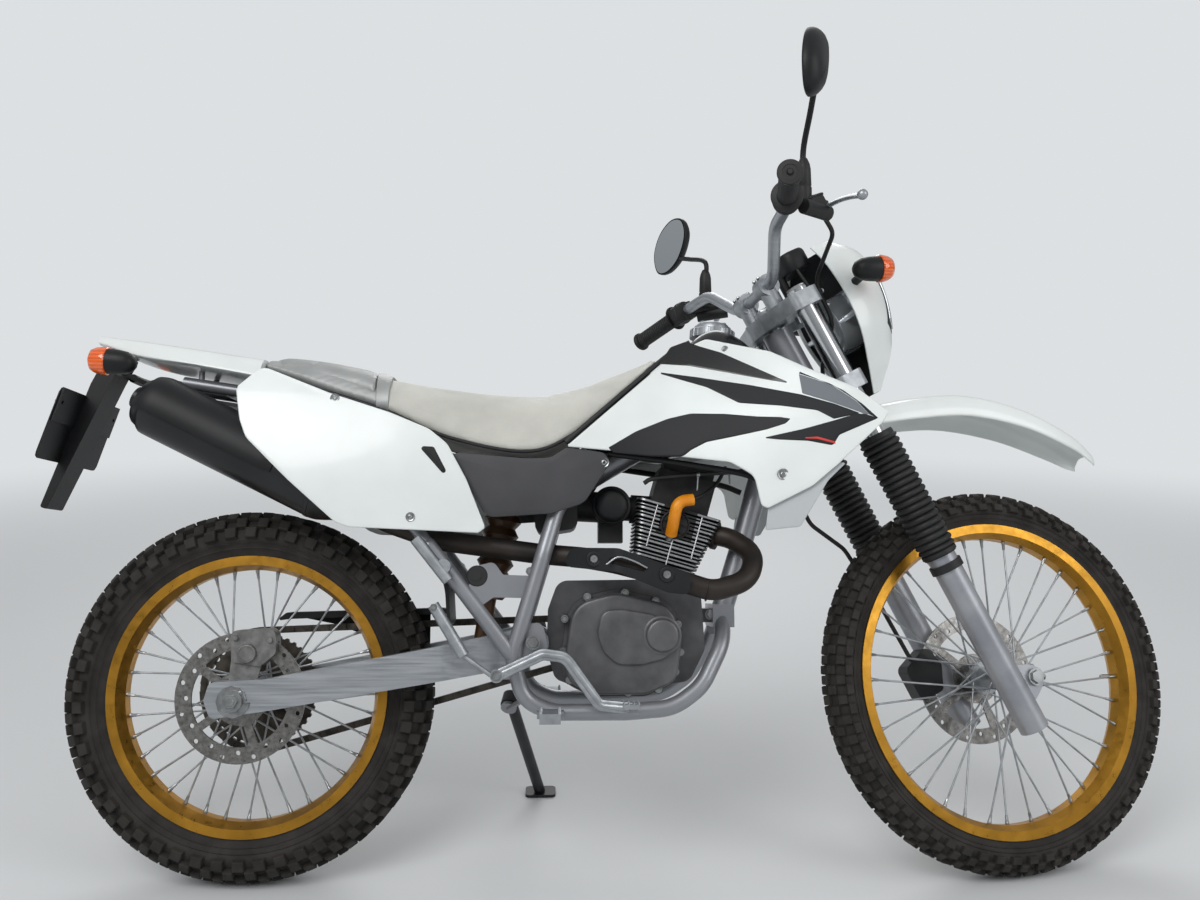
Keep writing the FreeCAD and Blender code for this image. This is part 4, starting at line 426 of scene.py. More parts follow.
def chassis_piece(name, parts, finish, replaces=(), sharp=SHARP_EDGE):
    """A piece of the machine itself, drawn on the upright machine."""
    return make_piece(name, parts, on_machine, "chassis", finish, replaces, sharp)


def fork_piece(name, parts, finish, replaces=(), sharp=SHARP_EDGE):
    """A piece that turns with the bars, drawn in the fork's own axes."""
    return make_piece(name, parts, on_fork, "steering", finish, replaces, sharp)


def each_side(name, parts, finish, replaces=(), sharp=SHARP_EDGE):
    """One piece for each side: the parts are drawn on the right."""
    for side, label in ((-1, "right"), (1, "left")):
        drawn = parts if side < 0 else [mirrored(p) for p in parts]
        hidden = [node + "_" + label for node in replaces]
        chassis_piece(name + "_" + label, drawn, finish, hidden, sharp)


def dress(nodes, finish):
    """Gives CAD nodes a finish by its name."""
    for name in nodes:
        item = frame["nodes"][name]
        item.data.materials.clear()
        item.data.materials.append(finish_of(finish))


# Finishes


BACKGROUND = "#DDE0E2"
LUMP_SCALE = 600.0  # a noise texture's scale times the size of its lumps in millimetres
TONE_SPREAD = (0.35, 0.65)
GLOSS_SPREAD = (0.3, 0.7)
LEATHER_CELLS = 420.0
LENS_RIBS = 52.0
FLOOR_FADE = (2.2, 6.5)


def linear(hex_colour):
    """An sRGB hex colour as linear red, green, blue and full alpha."""
    parts = [int(hex_colour[k:k + 2], 16) / 255 for k in (1, 3, 5)]
    return tuple(p / 12.92 if p <= 0.04045 else ((p + 0.055) / 1.055) ** 2.4 for p in parts) + (1.0,)


def chosen(colour):
    """Linear colour of a hex value, or of the colour of that name on the panel."""
    if colour.startswith("#"):
        return linear(colour)
    return tuple(getattr(bpy.context.scene.motorcycle_colours, colour)) + (1.0,)


def toned(colour, tone):
    """Linear colour of a tone: a hex value, or a factor that darkens or lightens the colour."""
    if isinstance(tone, str):
        return linear(tone)
    return tuple(min(1.0, c * tone) for c in chosen(colour)[:3]) + (1.0,)


def add_node(tree, kind, inputs=(), stops=(), **settings):
    """Adds a node, sets its options and its colour stops, and fills its inputs with values or with
    other outputs."""
    made = tree.nodes.new(kind)
    for key, value in settings.items():
        setattr(made, key, value)
    for k, (position, colour) in enumerate(stops):
        made.color_ramp.elements[k].position = position
        made.color_ramp.elements[k].color = colour
    for key, value in dict(inputs).items():
        if isinstance(value, bpy.types.NodeSocket):
            tree.links.new(value, made.inputs[key])
        else:
            made.inputs[key].default_value = value
    return made


def leather_grain(tree, shader):
    """Leather cells of 2.5 mm pressed 0.3 mm deep: each cell rises from its edge."""
    where = add_node(tree, "ShaderNodeTexCoord").outputs["Object"]
    cells = add_node(tree, "ShaderNodeTexVoronoi", {"Vector": where, "Scale": LEATHER_CELLS},
                     feature="DISTANCE_TO_EDGE")
    height = add_node(tree, "ShaderNodeMapRange", {"Value": cells.outputs["Distance"], "From Max": 0.25})
    bump = add_node(
        tree, "ShaderNodeBump", {"Height": height.outputs[0], "Distance": 0.0003, "Strength": 0.8})
    tree.links.new(bump.outputs[0], shader.inputs["Normal"])


def lens_ribs(tree, shader):
    """Ribs of 3 mm inside the lens: bands along Z from a darker to a lighter tone."""
    where = add_node(tree, "ShaderNodeTexCoord").outputs["Object"]
    bands = add_node(tree, "ShaderNodeTexWave", {"Vector": where, "Scale": LENS_RIBS}, bands_direction="Z")
    tones = add_node(tree, "ShaderNodeValToRGB", {"Fac": bands.outputs["Fac"]},
                     ((0.2, toned("lens", 0.82)), (0.8, toned("lens", 1.15))))
    tree.links.new(tones.outputs[0], shader.inputs["Base Color"])


# Colour, metallic, roughness and patterns of each finish. Tones are lumps of a size in millimetres
# and a detail, from a darker to a lighter tone. Gloss is lumps between two values of roughness, and
# grain is lumps with a depth in millimetres and a strength. What is left goes to the shader.
FINISHES = {
    # Gloss white injection moulded panel: faint waviness and a clear top coat
    "white_panel_plastic": ("panel", 0.0, 0.32, dict(
        tones=(90, 3, 0.95, 1.04), grain=(14, 2, 0.25, 0.25), Coat_Weight=0.45, Coat_Roughness=0.08)),
    # Unpainted dark grey panel with a sandy moulded grain
    "grey_textured_plastic": ("cover", 0.0, 0.62, dict(
        tones=(60, 3, 0.85, 1.18), grain=(1.6, 4, 0.25, 0.7))),
    # White satin moulding under the shroud, given a pale grey colour that is painted shade where it turns
    # downwards
    "pale_scoop_plastic": ("#B9BEC0", 0.0, 0.42, dict(grain=(3, 3, 0.1, 0.5))),
    # Satin black polypropylene with fine grain and a little dust
    "black_moulding": ("#0F1011", 0.0, 0.48, dict(
        tones=(45, 3, "#0D0E0F", "#17181A"), grain=(1.4, 3, 0.12, 0.5), Specular_IOR_Level=0.35)),
    # Satin black moulding let into the shroud, a little grey where the light skims it
    "satin_black_insert": ("#121317", 0.0, 0.38, dict(
        tones=(70, 3, "#0E0F12", "#17181C"), grain=(1.8, 3, 0.06, 0.4), Specular_IOR_Level=0.3)),
    # Deep black enamel under clear lacquer, glossier in some places than in others
    "black_tank_paint": ("tank", 0.0, 0.28, dict(
        gloss=(120, 3, 0.22, 0.34), Specular_IOR_Level=0.3, Coat_Weight=0.6, Coat_Roughness=0.03)),
    # Printed vinyl film with a soft gloss, dark for the arrow and paler for its border
    "arrow_film": ("arrow", 0.0, 0.42, dict(grain=(20, 2, 0.1, 0.2), Specular_IOR_Level=0.25)),
    "arrow_border_film": ("border", 0.0, 0.42, dict(grain=(20, 2, 0.1, 0.2), Specular_IOR_Level=0.25)),
    # Small red print on the shroud film
    "red_accent": ("#C5291F", 0.0, 0.35, dict(tones=(30, 3, "#BA231A", "#CE3127"))),
    # Light grey vinyl cover with a leather grain, greyer where it has been rubbed
    "seat_vinyl": ("seat", 0.0, 0.55, dict(tones=(70, 5, 0.88, 1.12), also=leather_grain,
                                           Sheen_Weight=0.08)),
    # Silver grey grained vinyl of the rear pad and the strap
    "silver_pad_vinyl": ("#A3A5A4", 0.25, 0.45, dict(
        tones=(60, 4, "#989A99", "#AEB0AF"), grain=(2.5, 3, 0.15, 0.7))),
    # Black vinyl piping and hem
    "black_piping_vinyl": ("#17171A", 0.0, 0.5, dict(grain=(2.0, 3, 0.12, 0.6))),
    # Moulded tyre rubber with dry brown dust in it
    "tyre_rubber": ("tyre", 0.0, 0.82, dict(tones=(22, 6, 0.65, 1.6), grain=(2.5, 5, 0.4, 0.7))),
    # Clean moulded rubber of gaiters, grips and hoses
    "black_rubber": ("#141414", 0.0, 0.55, dict(
        tones=(30, 3, "#101011", "#1E1E1F"), grain=(2.0, 3, 0.1, 0.5))),
    # Rolled aluminium rim, anodised gold: satin metal with faint lumps
    "gold_anodised_alloy": ("rim", 0.9, 0.34, dict(
        tones=(40, 4, 0.84, 1.16), gloss=(8, 4, 0.26, 0.42), grain=(4, 4, 0.05, 0.5))),
    # Silver metallic paint on steel tube
    "frame_silver_paint": ("frame", 0.55, 0.38, dict(
        tones=(40, 3, 0.95, 1.06), grain=(10, 3, 0.04, 0.3), Coat_Weight=0.3)),
    # Aluminium beam brushed along its length: long fine scratches, drawn 2.4 mm wide to show
    "brushed_alloy": ("#A9ADB2", 0.9, 0.38, dict(
        stretch=(0.04, 1.0, 1.0), tones=(2.4, 4, "#A6AAAF", "#B2B6BB"), gloss=(2.4, 4, 0.3, 0.48),
        grain=(2.4, 4, 0.03, 0.4))),
    # Sand blasted cast aluminium of clamps, hubs and bosses, its grit drawn 1.6 mm coarse to show
    "cast_alloy": ("#A4A8AC", 0.8, 0.42, dict(
        tones=(12, 4, "#979B9F", "#AFB3B7"), grain=(1.6, 4, 0.12, 0.6))),
    # Silver paint on the cast fork legs
    "leg_silver_paint": ("#9A9DA3", 0.5, 0.4, dict(
        tones=(35, 4, "#90939A", "#A5A8AD"), grain=(3, 3, 0.08, 0.5), Coat_Weight=0.2)),
    # Ground and chromed steel tube
    "hard_chrome": ("#C9CBCE", 1.0, 0.12, dict(gloss=(60, 3, 0.08, 0.18))),
    # Warm dark grey satin paint on the engine castings
    "gunmetal_case_paint": ("#5A5A5C", 0.35, 0.42, dict(
        tones=(25, 4, "#505052", "#646466"), grain=(2.2, 4, 0.15, 0.5), Coat_Weight=0.15)),
    # Dull black heat proof paint between the fins
    "black_fin_paint": ("#1C1C1D", 0.1, 0.6, dict(
        tones=(15, 4, "#171718", "#2A2A2B"), grain=(1.5, 4, 0.15, 0.6))),
    # Bare aluminium, machined bright, on the edges of the fins
    "machined_edge": ("#B4B6B8", 0.95, 0.32, dict(gloss=(3, 4, 0.24, 0.42))),
    # Exhaust pipe under heat proof paint that has browned
    "header_steel": ("#2A2522", 0.4, 0.5, dict(
        tones=(55, 5, "#1F1C1B", "#3A322C"), grain=(3, 4, 0.1, 0.5))),
    # Satin black stove paint on sheet steel
    "silencer_black": ("#17181A", 0.2, 0.36, dict(
        tones=(80, 4, "#131415", "#202224"), grain=(6, 3, 0.08, 0.4))),
    # Zinc plated bolts, nuts and rods, a little blotched
    "zinc_steel": ("#9B9D9E", 0.95, 0.34, dict(tones=(9, 4, "#8C8E8F", "#A9ABAC"))),
    # Stainless brake disc, ground by the pads
    "ground_disc_steel": ("#8D8B88", 1.0, 0.3, dict(
        tones=(5, 5, "#7C7A77", "#9C9A97"), gloss=(3, 4, 0.24, 0.4))),
    # Grey anodised cast caliper
    "caliper_grey": ("#7A7A78", 0.6, 0.45, dict(
        tones=(8, 4, "#6C6C6A", "#878785"), grain=(1.6, 4, 0.12, 0.5))),
    # Dark oiled steel of the chain and sprockets
    "oiled_chain_steel": ("#4A4641", 0.85, 0.4, dict(tones=(12, 4, "#393632", "#5C5750"))),
    # Brown red gloss paint on the shock's coil
    "spring_paint": ("#4A3018", 0.1, 0.4, dict(tones=(20, 4, "#3E2813", "#5A3A1C"), Coat_Weight=0.4)),
    # Black paint on the side stand and small brackets
    "black_stand_paint": ("#17171A", 0.1, 0.42, dict(tones=(25, 4, "#131316", "#232326"))),
    # Moulded orange lens of the flashers, ribbed inside
    "orange_lens": ("lens", 0.0, 0.12, dict(also=lens_ribs, Coat_Weight=0.8, Subsurface_Weight=0.1)),
    # Moulded red lens of the tail lamp
    "red_lens": ("#A3120F", 0.0, 0.12, dict(tones=(18, 3, "#92100D", "#B51A15"), Coat_Weight=0.8)),
    # Clear headlamp cover over its bright bowl
    "clear_lens": ("#D5DBDF", 0.6, 0.08, dict(
        tones=(40, 2, "#C3CACF", "#E4E9EC"), Coat_Weight=1.0, Coat_Roughness=0.02)),
    # Silvered glass of the mirrors
    "mirror_glass": ("#DDE3E8", 1.0, 0.02, dict(gloss=(80, 3, 0.015, 0.04))),
    # Dark display behind clear polycarbonate
    "dark_display_window": ("#1B2124", 0.0, 0.08, dict(
        tones=(25, 2, "#181D20", "#20272A"), Coat_Weight=1.0)),
    # Orange moulded spark plug cap
    "plug_cap_orange": ("#F2960F", 0.0, 0.4, dict(tones=(12, 3, "#E58A0A", "#F8A321"))),
    # Pressed aluminium plate with baked white enamel
    "blank_plate_enamel": ("#D9DBD8", 0.0, 0.35, dict(
        tones=(30, 3, "#CFD1CE", "#E0E2DF"), Coat_Weight=0.3)),
    # Plain pale studio floor
    "studio_floor": ("#D3D5D6", 0.0, 0.75, {}),
}
MADE_FINISHES = {}


def new_finish(name, colour, metallic, roughness, tones=None, gloss=None, grain=None, also=None,
               stretch=(1.0, 1.0, 1.0), **sockets):
    """A material with one surface shader and its patterns, which read object coordinates, stretched
    for a surface that is brushed one way."""
    finish = bpy.data.materials.new(name)
    finish.use_nodes = True
    tree = finish.node_tree
    tree.nodes.clear()
    values = {"Base Color": chosen(colour), "Metallic": metallic, "Roughness": roughness}
    values.update({key.replace("_", " "): value for key, value in sockets.items()})
    shader = add_node(tree, "ShaderNodeBsdfPrincipled", values)
    add_node(tree, "ShaderNodeOutputMaterial", {"Surface": shader.outputs[0]})
    for socket, pattern in (("Base Color", tones), ("Roughness", gloss), ("Normal", grain)):
        if not pattern:
            continue
        size, detail, low, high = pattern
        where = add_node(tree, "ShaderNodeTexCoord").outputs["Object"]
        place = add_node(tree, "ShaderNodeMapping", {"Vector": where, "Scale": stretch})
        wanted = {"Vector": place.outputs[0], "Detail": detail, "Scale": LUMP_SCALE / size}
        lumps = add_node(tree, "ShaderNodeTexNoise", wanted).outputs["Fac"]
        if socket == "Base Color":
            stops = zip(TONE_SPREAD, (toned(colour, low), toned(colour, high)))
            made = add_node(tree, "ShaderNodeValToRGB", {"Fac": lumps}, stops)
        elif socket == "Roughness":
            ends = {"From Min": GLOSS_SPREAD[0], "From Max": GLOSS_SPREAD[1], "To Min": low, "To Max": high}
            made = add_node(tree, "ShaderNodeMapRange", {"Value": lumps, **ends})
        else:
            depth = {"Distance": low / 1000, "Strength": high}
            made = add_node(tree, "ShaderNodeBump", {"Height": lumps, **depth})
        tree.links.new(made.outputs[0], shader.inputs[socket])
    if also:
        also(tree, shader)
    return finish


def finish_of(name):
    """The finish of that name, made once."""
    if name not in MADE_FINISHES:
        colour, metallic, roughness, patterns = FINISHES[name]
        MADE_FINISHES[name] = new_finish(name, colour, metallic, roughness, **patterns)
    return MADE_FINISHES[name]


def floor_finish():
    """The floor's finish, which fades into the pale background some metres away."""
    finish = finish_of("studio_floor")
    tree = finish.node_tree
    out = [n for n in tree.nodes if n.type == "OUTPUT_MATERIAL"][0]
    surface = out.inputs["Surface"].links[0].from_socket
    where = add_node(tree, "ShaderNodeTexCoord").outputs["Object"]
    far = add_node(tree, "ShaderNodeVectorMath", {0: where}, operation="LENGTH").outputs["Value"]
    fade = add_node(
        tree, "ShaderNodeMapRange", {"Value": far, "From Min": FLOOR_FADE[0], "From Max": FLOOR_FADE[1]},
        interpolation_type="SMOOTHSTEP")
    glow = add_node(tree, "ShaderNodeEmission", {"Color": linear(BACKGROUND), "Strength": 1.0})
    mixed = add_node(tree, "ShaderNodeMixShader", {0: fade.outputs[0], 1: surface, 2: glow.outputs[0]})
    tree.links.new(mixed.outputs[0], out.inputs["Surface"])
    return finish


# Wheels, in wheel coordinates: Y is the axle


FRONT_TYRE = {"radius": 343.0, "crown": 42.0, "rim": 280.5, "half": 27.0, "depth": 8.0}
REAR_TYRE = {"radius": 322.0, "crown": 56.0, "rim": 242.0, "half": 34.0, "depth": 10.0}

# Radius of the hub's spoke flanges and their distance from the wheel's middle
FRONT_FLANGE = (30.0, 34.0)
REAR_FLANGE = (36.0, 30.0)
SPOKES = 36
SPOKE_LEAN = 56.0

# Lugs of one pitch: phase along the pitch, angle across the crown, width and length in mm
FRONT_LUGS = (
    (0.0, 0.0, 20, 15), (0.5, 27, 15, 15), (0.5, -27, 15, 15), (0.0, 52, 15, 16), (0.0, -52, 15, 16),
    (0.5, 74, 13, 19), (0.5, -74, 13, 19))
REAR_LUGS = ((0.0, 0.0, 30, 18), (0.5, 26, 21, 18), (0.5, -26, 21, 18), (0.0, 49, 21, 19),
             (0.0, -49, 21, 19), (0.5, 71, 19, 22), (0.5, -71, 19, 22))


def crown_points(tyre, angle, across, height):
    """Points on the crown: out from the carcass by a height, at an angle round the wheel and an
    angle across it."""
    low = tyre["radius"] - tyre["crown"]
    bow = tyre["crown"] - tyre["depth"] + height
    radius = low + bow * np.cos(across)
    return np.stack((radius * np.cos(angle), bow * np.sin(across), radius * np.sin(angle)), -1)


def lug_rows(tyre, rows, pitches):
    """All lugs: each has a base, a shoulder ring and a slightly smaller top, bent to the crown."""
    corners = np.array(((-1, -1), (1, -1), (1, 1), (-1, 1)), float)
    steps = ((-2.0, 1.2), (tyre["depth"] - 1.3, 0.0), (tyre["depth"], -1.3))
    parts = []
    faces = np.array(((0, 1, 5, 4), (1, 2, 6, 5), (2, 3, 7, 6), (3, 0, 4, 7), (4, 5, 9, 8),
                      (5, 6, 10, 9), (6, 7, 11, 10), (7, 4, 8, 11), (8, 9, 10, 11), (3, 2, 1, 0)))
    for phase, across, width, length in rows:
        turn = (np.arange(pitches) + phase) * 2 * math.pi / pitches
        points = []
        for height, grow in steps:
            along = corners[:, 0] * (length / 2 + grow) / tyre["radius"]
            over = corners[:, 1] * (width / 2 + grow) / tyre["crown"]
            over = math.radians(across) + np.repeat(over[None], len(turn), 0)
            points.append(crown_points(tyre, turn[:, None] + along[None], over, height))
        block = np.concatenate(points, 1)
        part = outward(block[0], faces)
        shift = (np.arange(len(turn)) * 12)[:, None, None]
        parts.append((block.reshape(-1, 3), (part[1][None] + shift).reshape(-1, 4)))
    return parts


def carcass(tyre):
    """Ring under the lugs: an arc of the crown, side walls with two thin ribs, and the beads."""
    arc = np.radians(np.linspace(-78, 78, 25))
    low = tyre["radius"] - tyre["crown"]
    bow = tyre["crown"] - tyre["depth"]
    outer = np.stack((low + bow * np.cos(arc), bow * np.sin(arc)), 1)
    top, bead = outer[-1], np.array((tyre["rim"] + 0.5, tyre["half"] - 3.5))
    wall = []
    for share, out in ((0.2, 1.2), (0.28, 0.6), (0.32, 2.0), (0.36, 0.6), (0.55, 0.2), (0.6, 1.6),
                       (0.65, 0.2), (0.85, -0.6)):
        wall.append(top + (bead - top) * share + np.array((0, out)))
    wall = np.array(wall + [bead, bead - (12, 0), bead - (12, 8)])
    inner = np.stack((low + (bow - 7) * np.cos(arc[::-1]), (bow - 7) * np.sin(arc[::-1])), 1)
    flip = np.array((1, -1))
    profile = np.concatenate((outer, wall, inner, (wall * flip)[::-1]))
    return lathe(profile, (0, 0, 0), LEFT, 144)


def nipples(rim_radius, flange_radius, flange_y):
    """Spoke nipples on the inner face of the rim, pointed along their spokes."""
    k = np.arange(SPOKES)
    side = np.where(k % 2, 1.0, -1.0)
    outer = (k // 2) % 2
    turn = np.radians(k * 360.0 / SPOKES)
    hub_turn = turn + np.radians(np.where(outer, SPOKE_LEAN, -SPOKE_LEAN))
    tip = rim_radius - 25.5
    root = flange_radius - 5
    end = np.stack((tip * np.cos(turn), side * np.where(outer, 6.0, 1.5), tip * np.sin(turn)), 1)
    out = flange_y + np.where(outer, 2.2, -2.2)
    start = np.stack((root * np.cos(hub_turn), side * out, root * np.sin(hub_turn)), 1)
    cone = lathe(((0, -1), (3.6, -1), (3.6, 4), (2.9, 5), (2.4, 15), (0, 15)), (0, 0, 0), UP, 8)
    return copies(cone, end, unit(start - end))


def bolt(radius, height):
    """Hexagon bolt head on a flange, with a bevelled top."""
    hexagon = np.array([(math.cos(a), math.sin(a)) for a in np.radians(np.arange(6) * 60)]) * radius
    head = stack(hexagon, ((0, 0), (0, height - 1), (0.8, height), (radius * 0.5, height)), np.asarray)
    flange = lathe(((0, 0), (radius * 1.25, 0), (radius * 1.25, 1.2), (0, 1.4)), (0, 0, 0), UP, 16)
    return join((head, flange))


def side_place(side=-1.0):
    """Place for outlines drawn in x and z, with height measured outwards from the middle."""
    return lambda p: np.stack((p[..., 0], side * p[..., 2], p[..., 1]), -1)


# Panels of the right side


def fitted(stations, heights):
    """Distance out from the middle as a smooth function of x and z, the best cubic and square
    fit through a table of stations."""
    xs = np.array([row[0] for row in stations], float)
    table = np.array([row[1] for row in stations], float)
    zs = np.array(heights, float)
    x, z = np.meshgrid(xs, zs, indexing="ij")

    def terms(x, z):
        u, v = (x - xs.mean()) / 300.0, (z - zs.mean()) / 200.0
        return np.stack([u ** i * v ** j for i, j in
                         ((0, 0), (1, 0), (2, 0), (3, 0), (0, 1), (1, 1), (2, 1), (0, 2), (1, 2))], -1)

    weights = np.linalg.lstsq(terms(x.ravel(), z.ravel()), table.ravel(), rcond=None)[0]
    return lambda px, pz: terms(px, pz) @ weights


def inset(curve, distance):
    """A flat curve moved to its left by a distance."""
    ahead = unit(np.gradient(curve, axis=0))
    return curve + distance * np.stack((-ahead[:, 1], ahead[:, 0]), 1)


def panel(lower, upper, reach, lift=0.0, lip=2.2, wall=1.5, columns=90, rows=26):
    """Panel between a lower and an upper edge curve: straight lines in x and z join them, the
    reach function gives the distance out, and the edge rolls inwards over a quarter circle."""
    low = inset(even(rounded(lower, False), columns), lip)
    high = inset(even(rounded(upper, False), columns), -lip)
    share = np.linspace(0, 1, rows)[:, None, None]
    flat = low[None] * (1 - share) + high[None] * share
    x, z = flat[..., 0], flat[..., 1]
    out = reach(x, z) + lift
    outer = np.stack((x, -out, z), -1)
    inner = np.stack((x, -(out - lip - wall), z), -1)
    edge = boundary(rows, columns)
    loop = outer.reshape(-1, 3)[edge]
    ahead = np.roll(loop, -1, 0) - np.roll(loop, 1, 0)
    away = unit(np.stack((ahead[:, 2], np.zeros(len(loop)), -ahead[:, 0]), 1))
    rims = []
    for angle in (25, 50, 75, 90):
        a = math.radians(angle)
        rims.append(loop + away * lip * math.sin(a) + np.array((0, lip * (1 - math.cos(a)), 0)))
    rims.append(loop + away * lip + np.array((0, lip + wall, 0)))
    return shell(outer, inner, rims)


# Distance out from the middle at stations along x, for the heights in the last row
COVER_REACH = fitted(
    ((-30, (158, 160, 150, 112)), (120, (158, 162, 142, 106)), (280, (150, 152, 132, 104)),
    (430, (138, 136, 124, 100))), (590, 720, 810, 900))
SHROUD_REACH = fitted(
    ((540, (124, 128, 122, 100)), (700, (140, 142, 124, 92)), (830, (170, 164, 136, 98)),
    (950, (190, 186, 166, 136)), (1100, (214, 212, 200, 186))), (590, 720, 830, 960))

# Lower and upper edges in x, z and corner radius
SIDE_COVER_LOW = (
    (-10, 842, 0), (2, 790, 30), (15, 759, 30), (88, 688, 60), (168, 617, 30), (190, 609, 20),
    (405, 600, 6), (414, 607, 0))
SIDE_COVER_HIGH = (
    (-8, 851, 0), (27, 889, 20), (144, 841, 40), (251, 806, 30), (318, 778, 30), (350, 752, 30),
    (384, 690, 60), (415, 613, 0))
VENT = ((302, 747, 4), (328, 746, 5), (364, 678, 4))
SHROUD_LOW = (
    (556, 749, 0), (622, 743, 20), (752, 730, 30), (831, 720, 30), (870, 696, 25), (880, 645, 8),
    (890, 640, 6), (964, 677, 40), (1008, 714, 30), (1081, 782, 8), (1091, 797, 0))
SHROUD_HIGH = (
    (558, 754, 0), (745, 920, 20), (800, 946, 20), (908, 918, 40), (972, 882, 40), (1043, 846, 30),
    (1092, 802, 0))


def body(stations, along=60, around=64, ends=0.0):
    """Body through cross sections: at each x the points of one half, from the bottom up, mirrored
    and joined by a smooth closed curve, and the sections joined by smooth curves."""
    rings = []
    for x, half in stations:
        right = [(x, -w, z) for w, z in half]
        left = [(x, w, z) for w, z in reversed(half)]
        rings.append(smooth(right + left, around, closed=True))
    grid = smooth(np.array(rings), along)
    return loft(grid, ends)


# Cross sections at stations along x: half widths and heights from the bottom up
SEAT_STATIONS = (
    (18, ((40, 894), (57, 896), (62, 903), (48, 913), (20, 916))),
    (140, ((60, 846), (90, 849), (95, 868), (78, 890), (34, 898))),
    (240, ((70, 812), (106, 815), (112, 840), (88, 864), (36, 873))),
    (350, ((74, 764), (112, 768), (114, 806), (84, 844), (34, 856))),
    (480, ((70, 738), (112, 744), (108, 786), (72, 834), (26, 846))),
    (560, ((70, 767), (106, 772), (100, 808), (62, 848), (22, 859))),
    (650, ((60, 846), (94, 850), (86, 868), (52, 888), (20, 894))),
    (712, ((50, 906), (82, 908), (76, 914), (48, 920), (18, 922))),
)
TANK_STATIONS = (
    (590, ((30, 742), (60, 744), (64, 756), (46, 763), (16, 766))),
    (660, ((50, 742), (96, 748), (100, 786), (60, 830), (20, 840))),
    (740, ((60, 744), (108, 752), (111, 836), (64, 902), (22, 914))),
    (810, ((60, 752), (110, 762), (113, 872), (68, 960), (26, 974))),
    (868, ((50, 770), (92, 780), (88, 866), (58, 950), (22, 964))),
    (922, ((20, 800), (44, 806), (46, 860), (28, 912), (10, 919))),
)
TAIL_STATIONS = (
    (-292, ((8, 944), (20, 945), (25, 950), (17, 960), (6, 962))),
    (-200, ((30, 911), (64, 913), (68, 920), (52, 942), (18, 948))),
    (-100, ((40, 893), (82, 895), (86, 902), (64, 926), (22, 932))),
    (16, ((40, 871), (86, 873), (90, 882), (68, 908), (24, 913))),
)
# Mudguard stations: x, height of the top and half width
FENDER_ROWS = (
    (1040, 822, 44), (1098, 838, 50), (1200, 861, 58), (1310, 872, 60), (1430, 852, 56), (1530, 812, 48),
    (1576, 782, 38), (1590, 770, 30))


def fender_shell():
    """High front mudguard: at each station an arch that is flat on top and turns down at the
    sides, with a wall of 3 mm."""
    def grid(drop):
        rings = []
        for x, z, half in FENDER_ROWS:
            w = half - drop
            arch = ((-w, z - 46 * half / 60), (-w + 1, z - 30 * half / 60), (-w * 0.86, z - 11),
                    (-w * 0.5, z - 2), (0, z), (w * 0.5, z - 2), (w * 0.86, z - 11),
                    (w - 1, z - 30 * half / 60), (w, z - 46 * half / 60))
            rings.append([(x - drop * 0.3, y, h - drop) for y, h in smooth(arch, 41)])
        return smooth(np.array(rings), 70)
    outer, inner = grid(0.0), grid(3.0)
    edge = boundary(*outer.shape[:2])
    middle = (outer.reshape(-1, 3)[edge] + inner.reshape(-1, 3)[edge]) / 2
    return shell(outer, inner, [middle + np.array((0, 0, -1.0))])


# Cowl stations: height, rear edge, nose and half width
COWL_ROWS = ((564, 100, 130, 36), (620, 100, 184, 70), (680, 102, 210, 98), (744, 104, 224, 106),
             (815, 110, 224, 88), (862, 120, 188, 52))


def cowl_grid(shrink, back):
    """Cowl in the fork's own axes: at each height a rounded nose between two rear edges."""
    rings = []
    for z, rear, nose, half in COWL_ROWS:
        w, tip = half - shrink, nose - shrink
        span = tip - rear
        front = ((rear - back, -w), (rear + 0.3 * span, -w * 0.97), (rear + 0.68 * span, -w * 0.8),
                 (tip - 0.06 * span, -w * 0.45), (tip, 0), (tip - 0.06 * span, w * 0.45),
                 (rear + 0.68 * span, w * 0.8), (rear + 0.3 * span, w * 0.97), (rear - back, w))
        rings.append([(x, y, z) for x, y in smooth(front, 61)])
    return smooth(np.array(rings), 60)


def cowl_shell():
    """Cowl wall of 3 mm between an outer and an inner grid."""
    outer, inner = cowl_grid(0, 0), cowl_grid(3, 0)
    edge = boundary(*outer.shape[:2])
    middle = (outer.reshape(-1, 3)[edge] + inner.reshape(-1, 3)[edge]) / 2
    return shell(outer, inner, [middle])


def cowl_patch(low, high, half):
    """Grid on the nose of the cowl between two heights: half as wide as given, and narrower near
    both heights."""
    grid = cowl_grid(0, 0)
    heights = grid[:, 0, 2]
    nose = slice(14, 47)
    patch = []
    for z in np.linspace(low, high, 28):
        k = np.clip(np.searchsorted(heights, z) - 1, 0, len(heights) - 2)
        f = (z - heights[k]) / (heights[k + 1] - heights[k])
        ring = grid[k] * (1 - f) + grid[k + 1] * f
        from_middle = abs(z - (low + high) / 2) / ((high - low) / 2)
        y = np.linspace(-1, 1, 40) * half * (1 - max(0.0, from_middle - 0.72))
        patch.append(np.stack((np.interp(y, ring[nose, 1], ring[nose, 0]), y, np.full(len(y), z)), 1))
    return np.array(patch)


def ribbed_sleeve(low, high, ribs):
    """Rubber gaiter round the fork tube: radius goes out and in once for every rib, between two
    plain collars."""
    z = np.linspace(low + 14, high - 12, ribs * 8 + 1)
    wave = (z - z[0]) / (z[-1] - z[0])
    radius = 30.5 + 1.5 * wave + 4.6 * np.abs(np.cos(np.pi * ribs * wave)) ** 0.7 - 1.5
    return [(26.6, low), (29.5, low), (29.5, low + 11), *zip(radius, z), (31, high - 9), (31, high),
            (20, high), (20, low)]


# What a user may change


def colour_choice(name, description, hex_colour):
    """A colour shown on the panel."""
    return bpy.props.FloatVectorProperty(
        name=name, description=description, subtype="COLOR", min=0.0, max=1.0,
        default=linear(hex_colour)[:3])


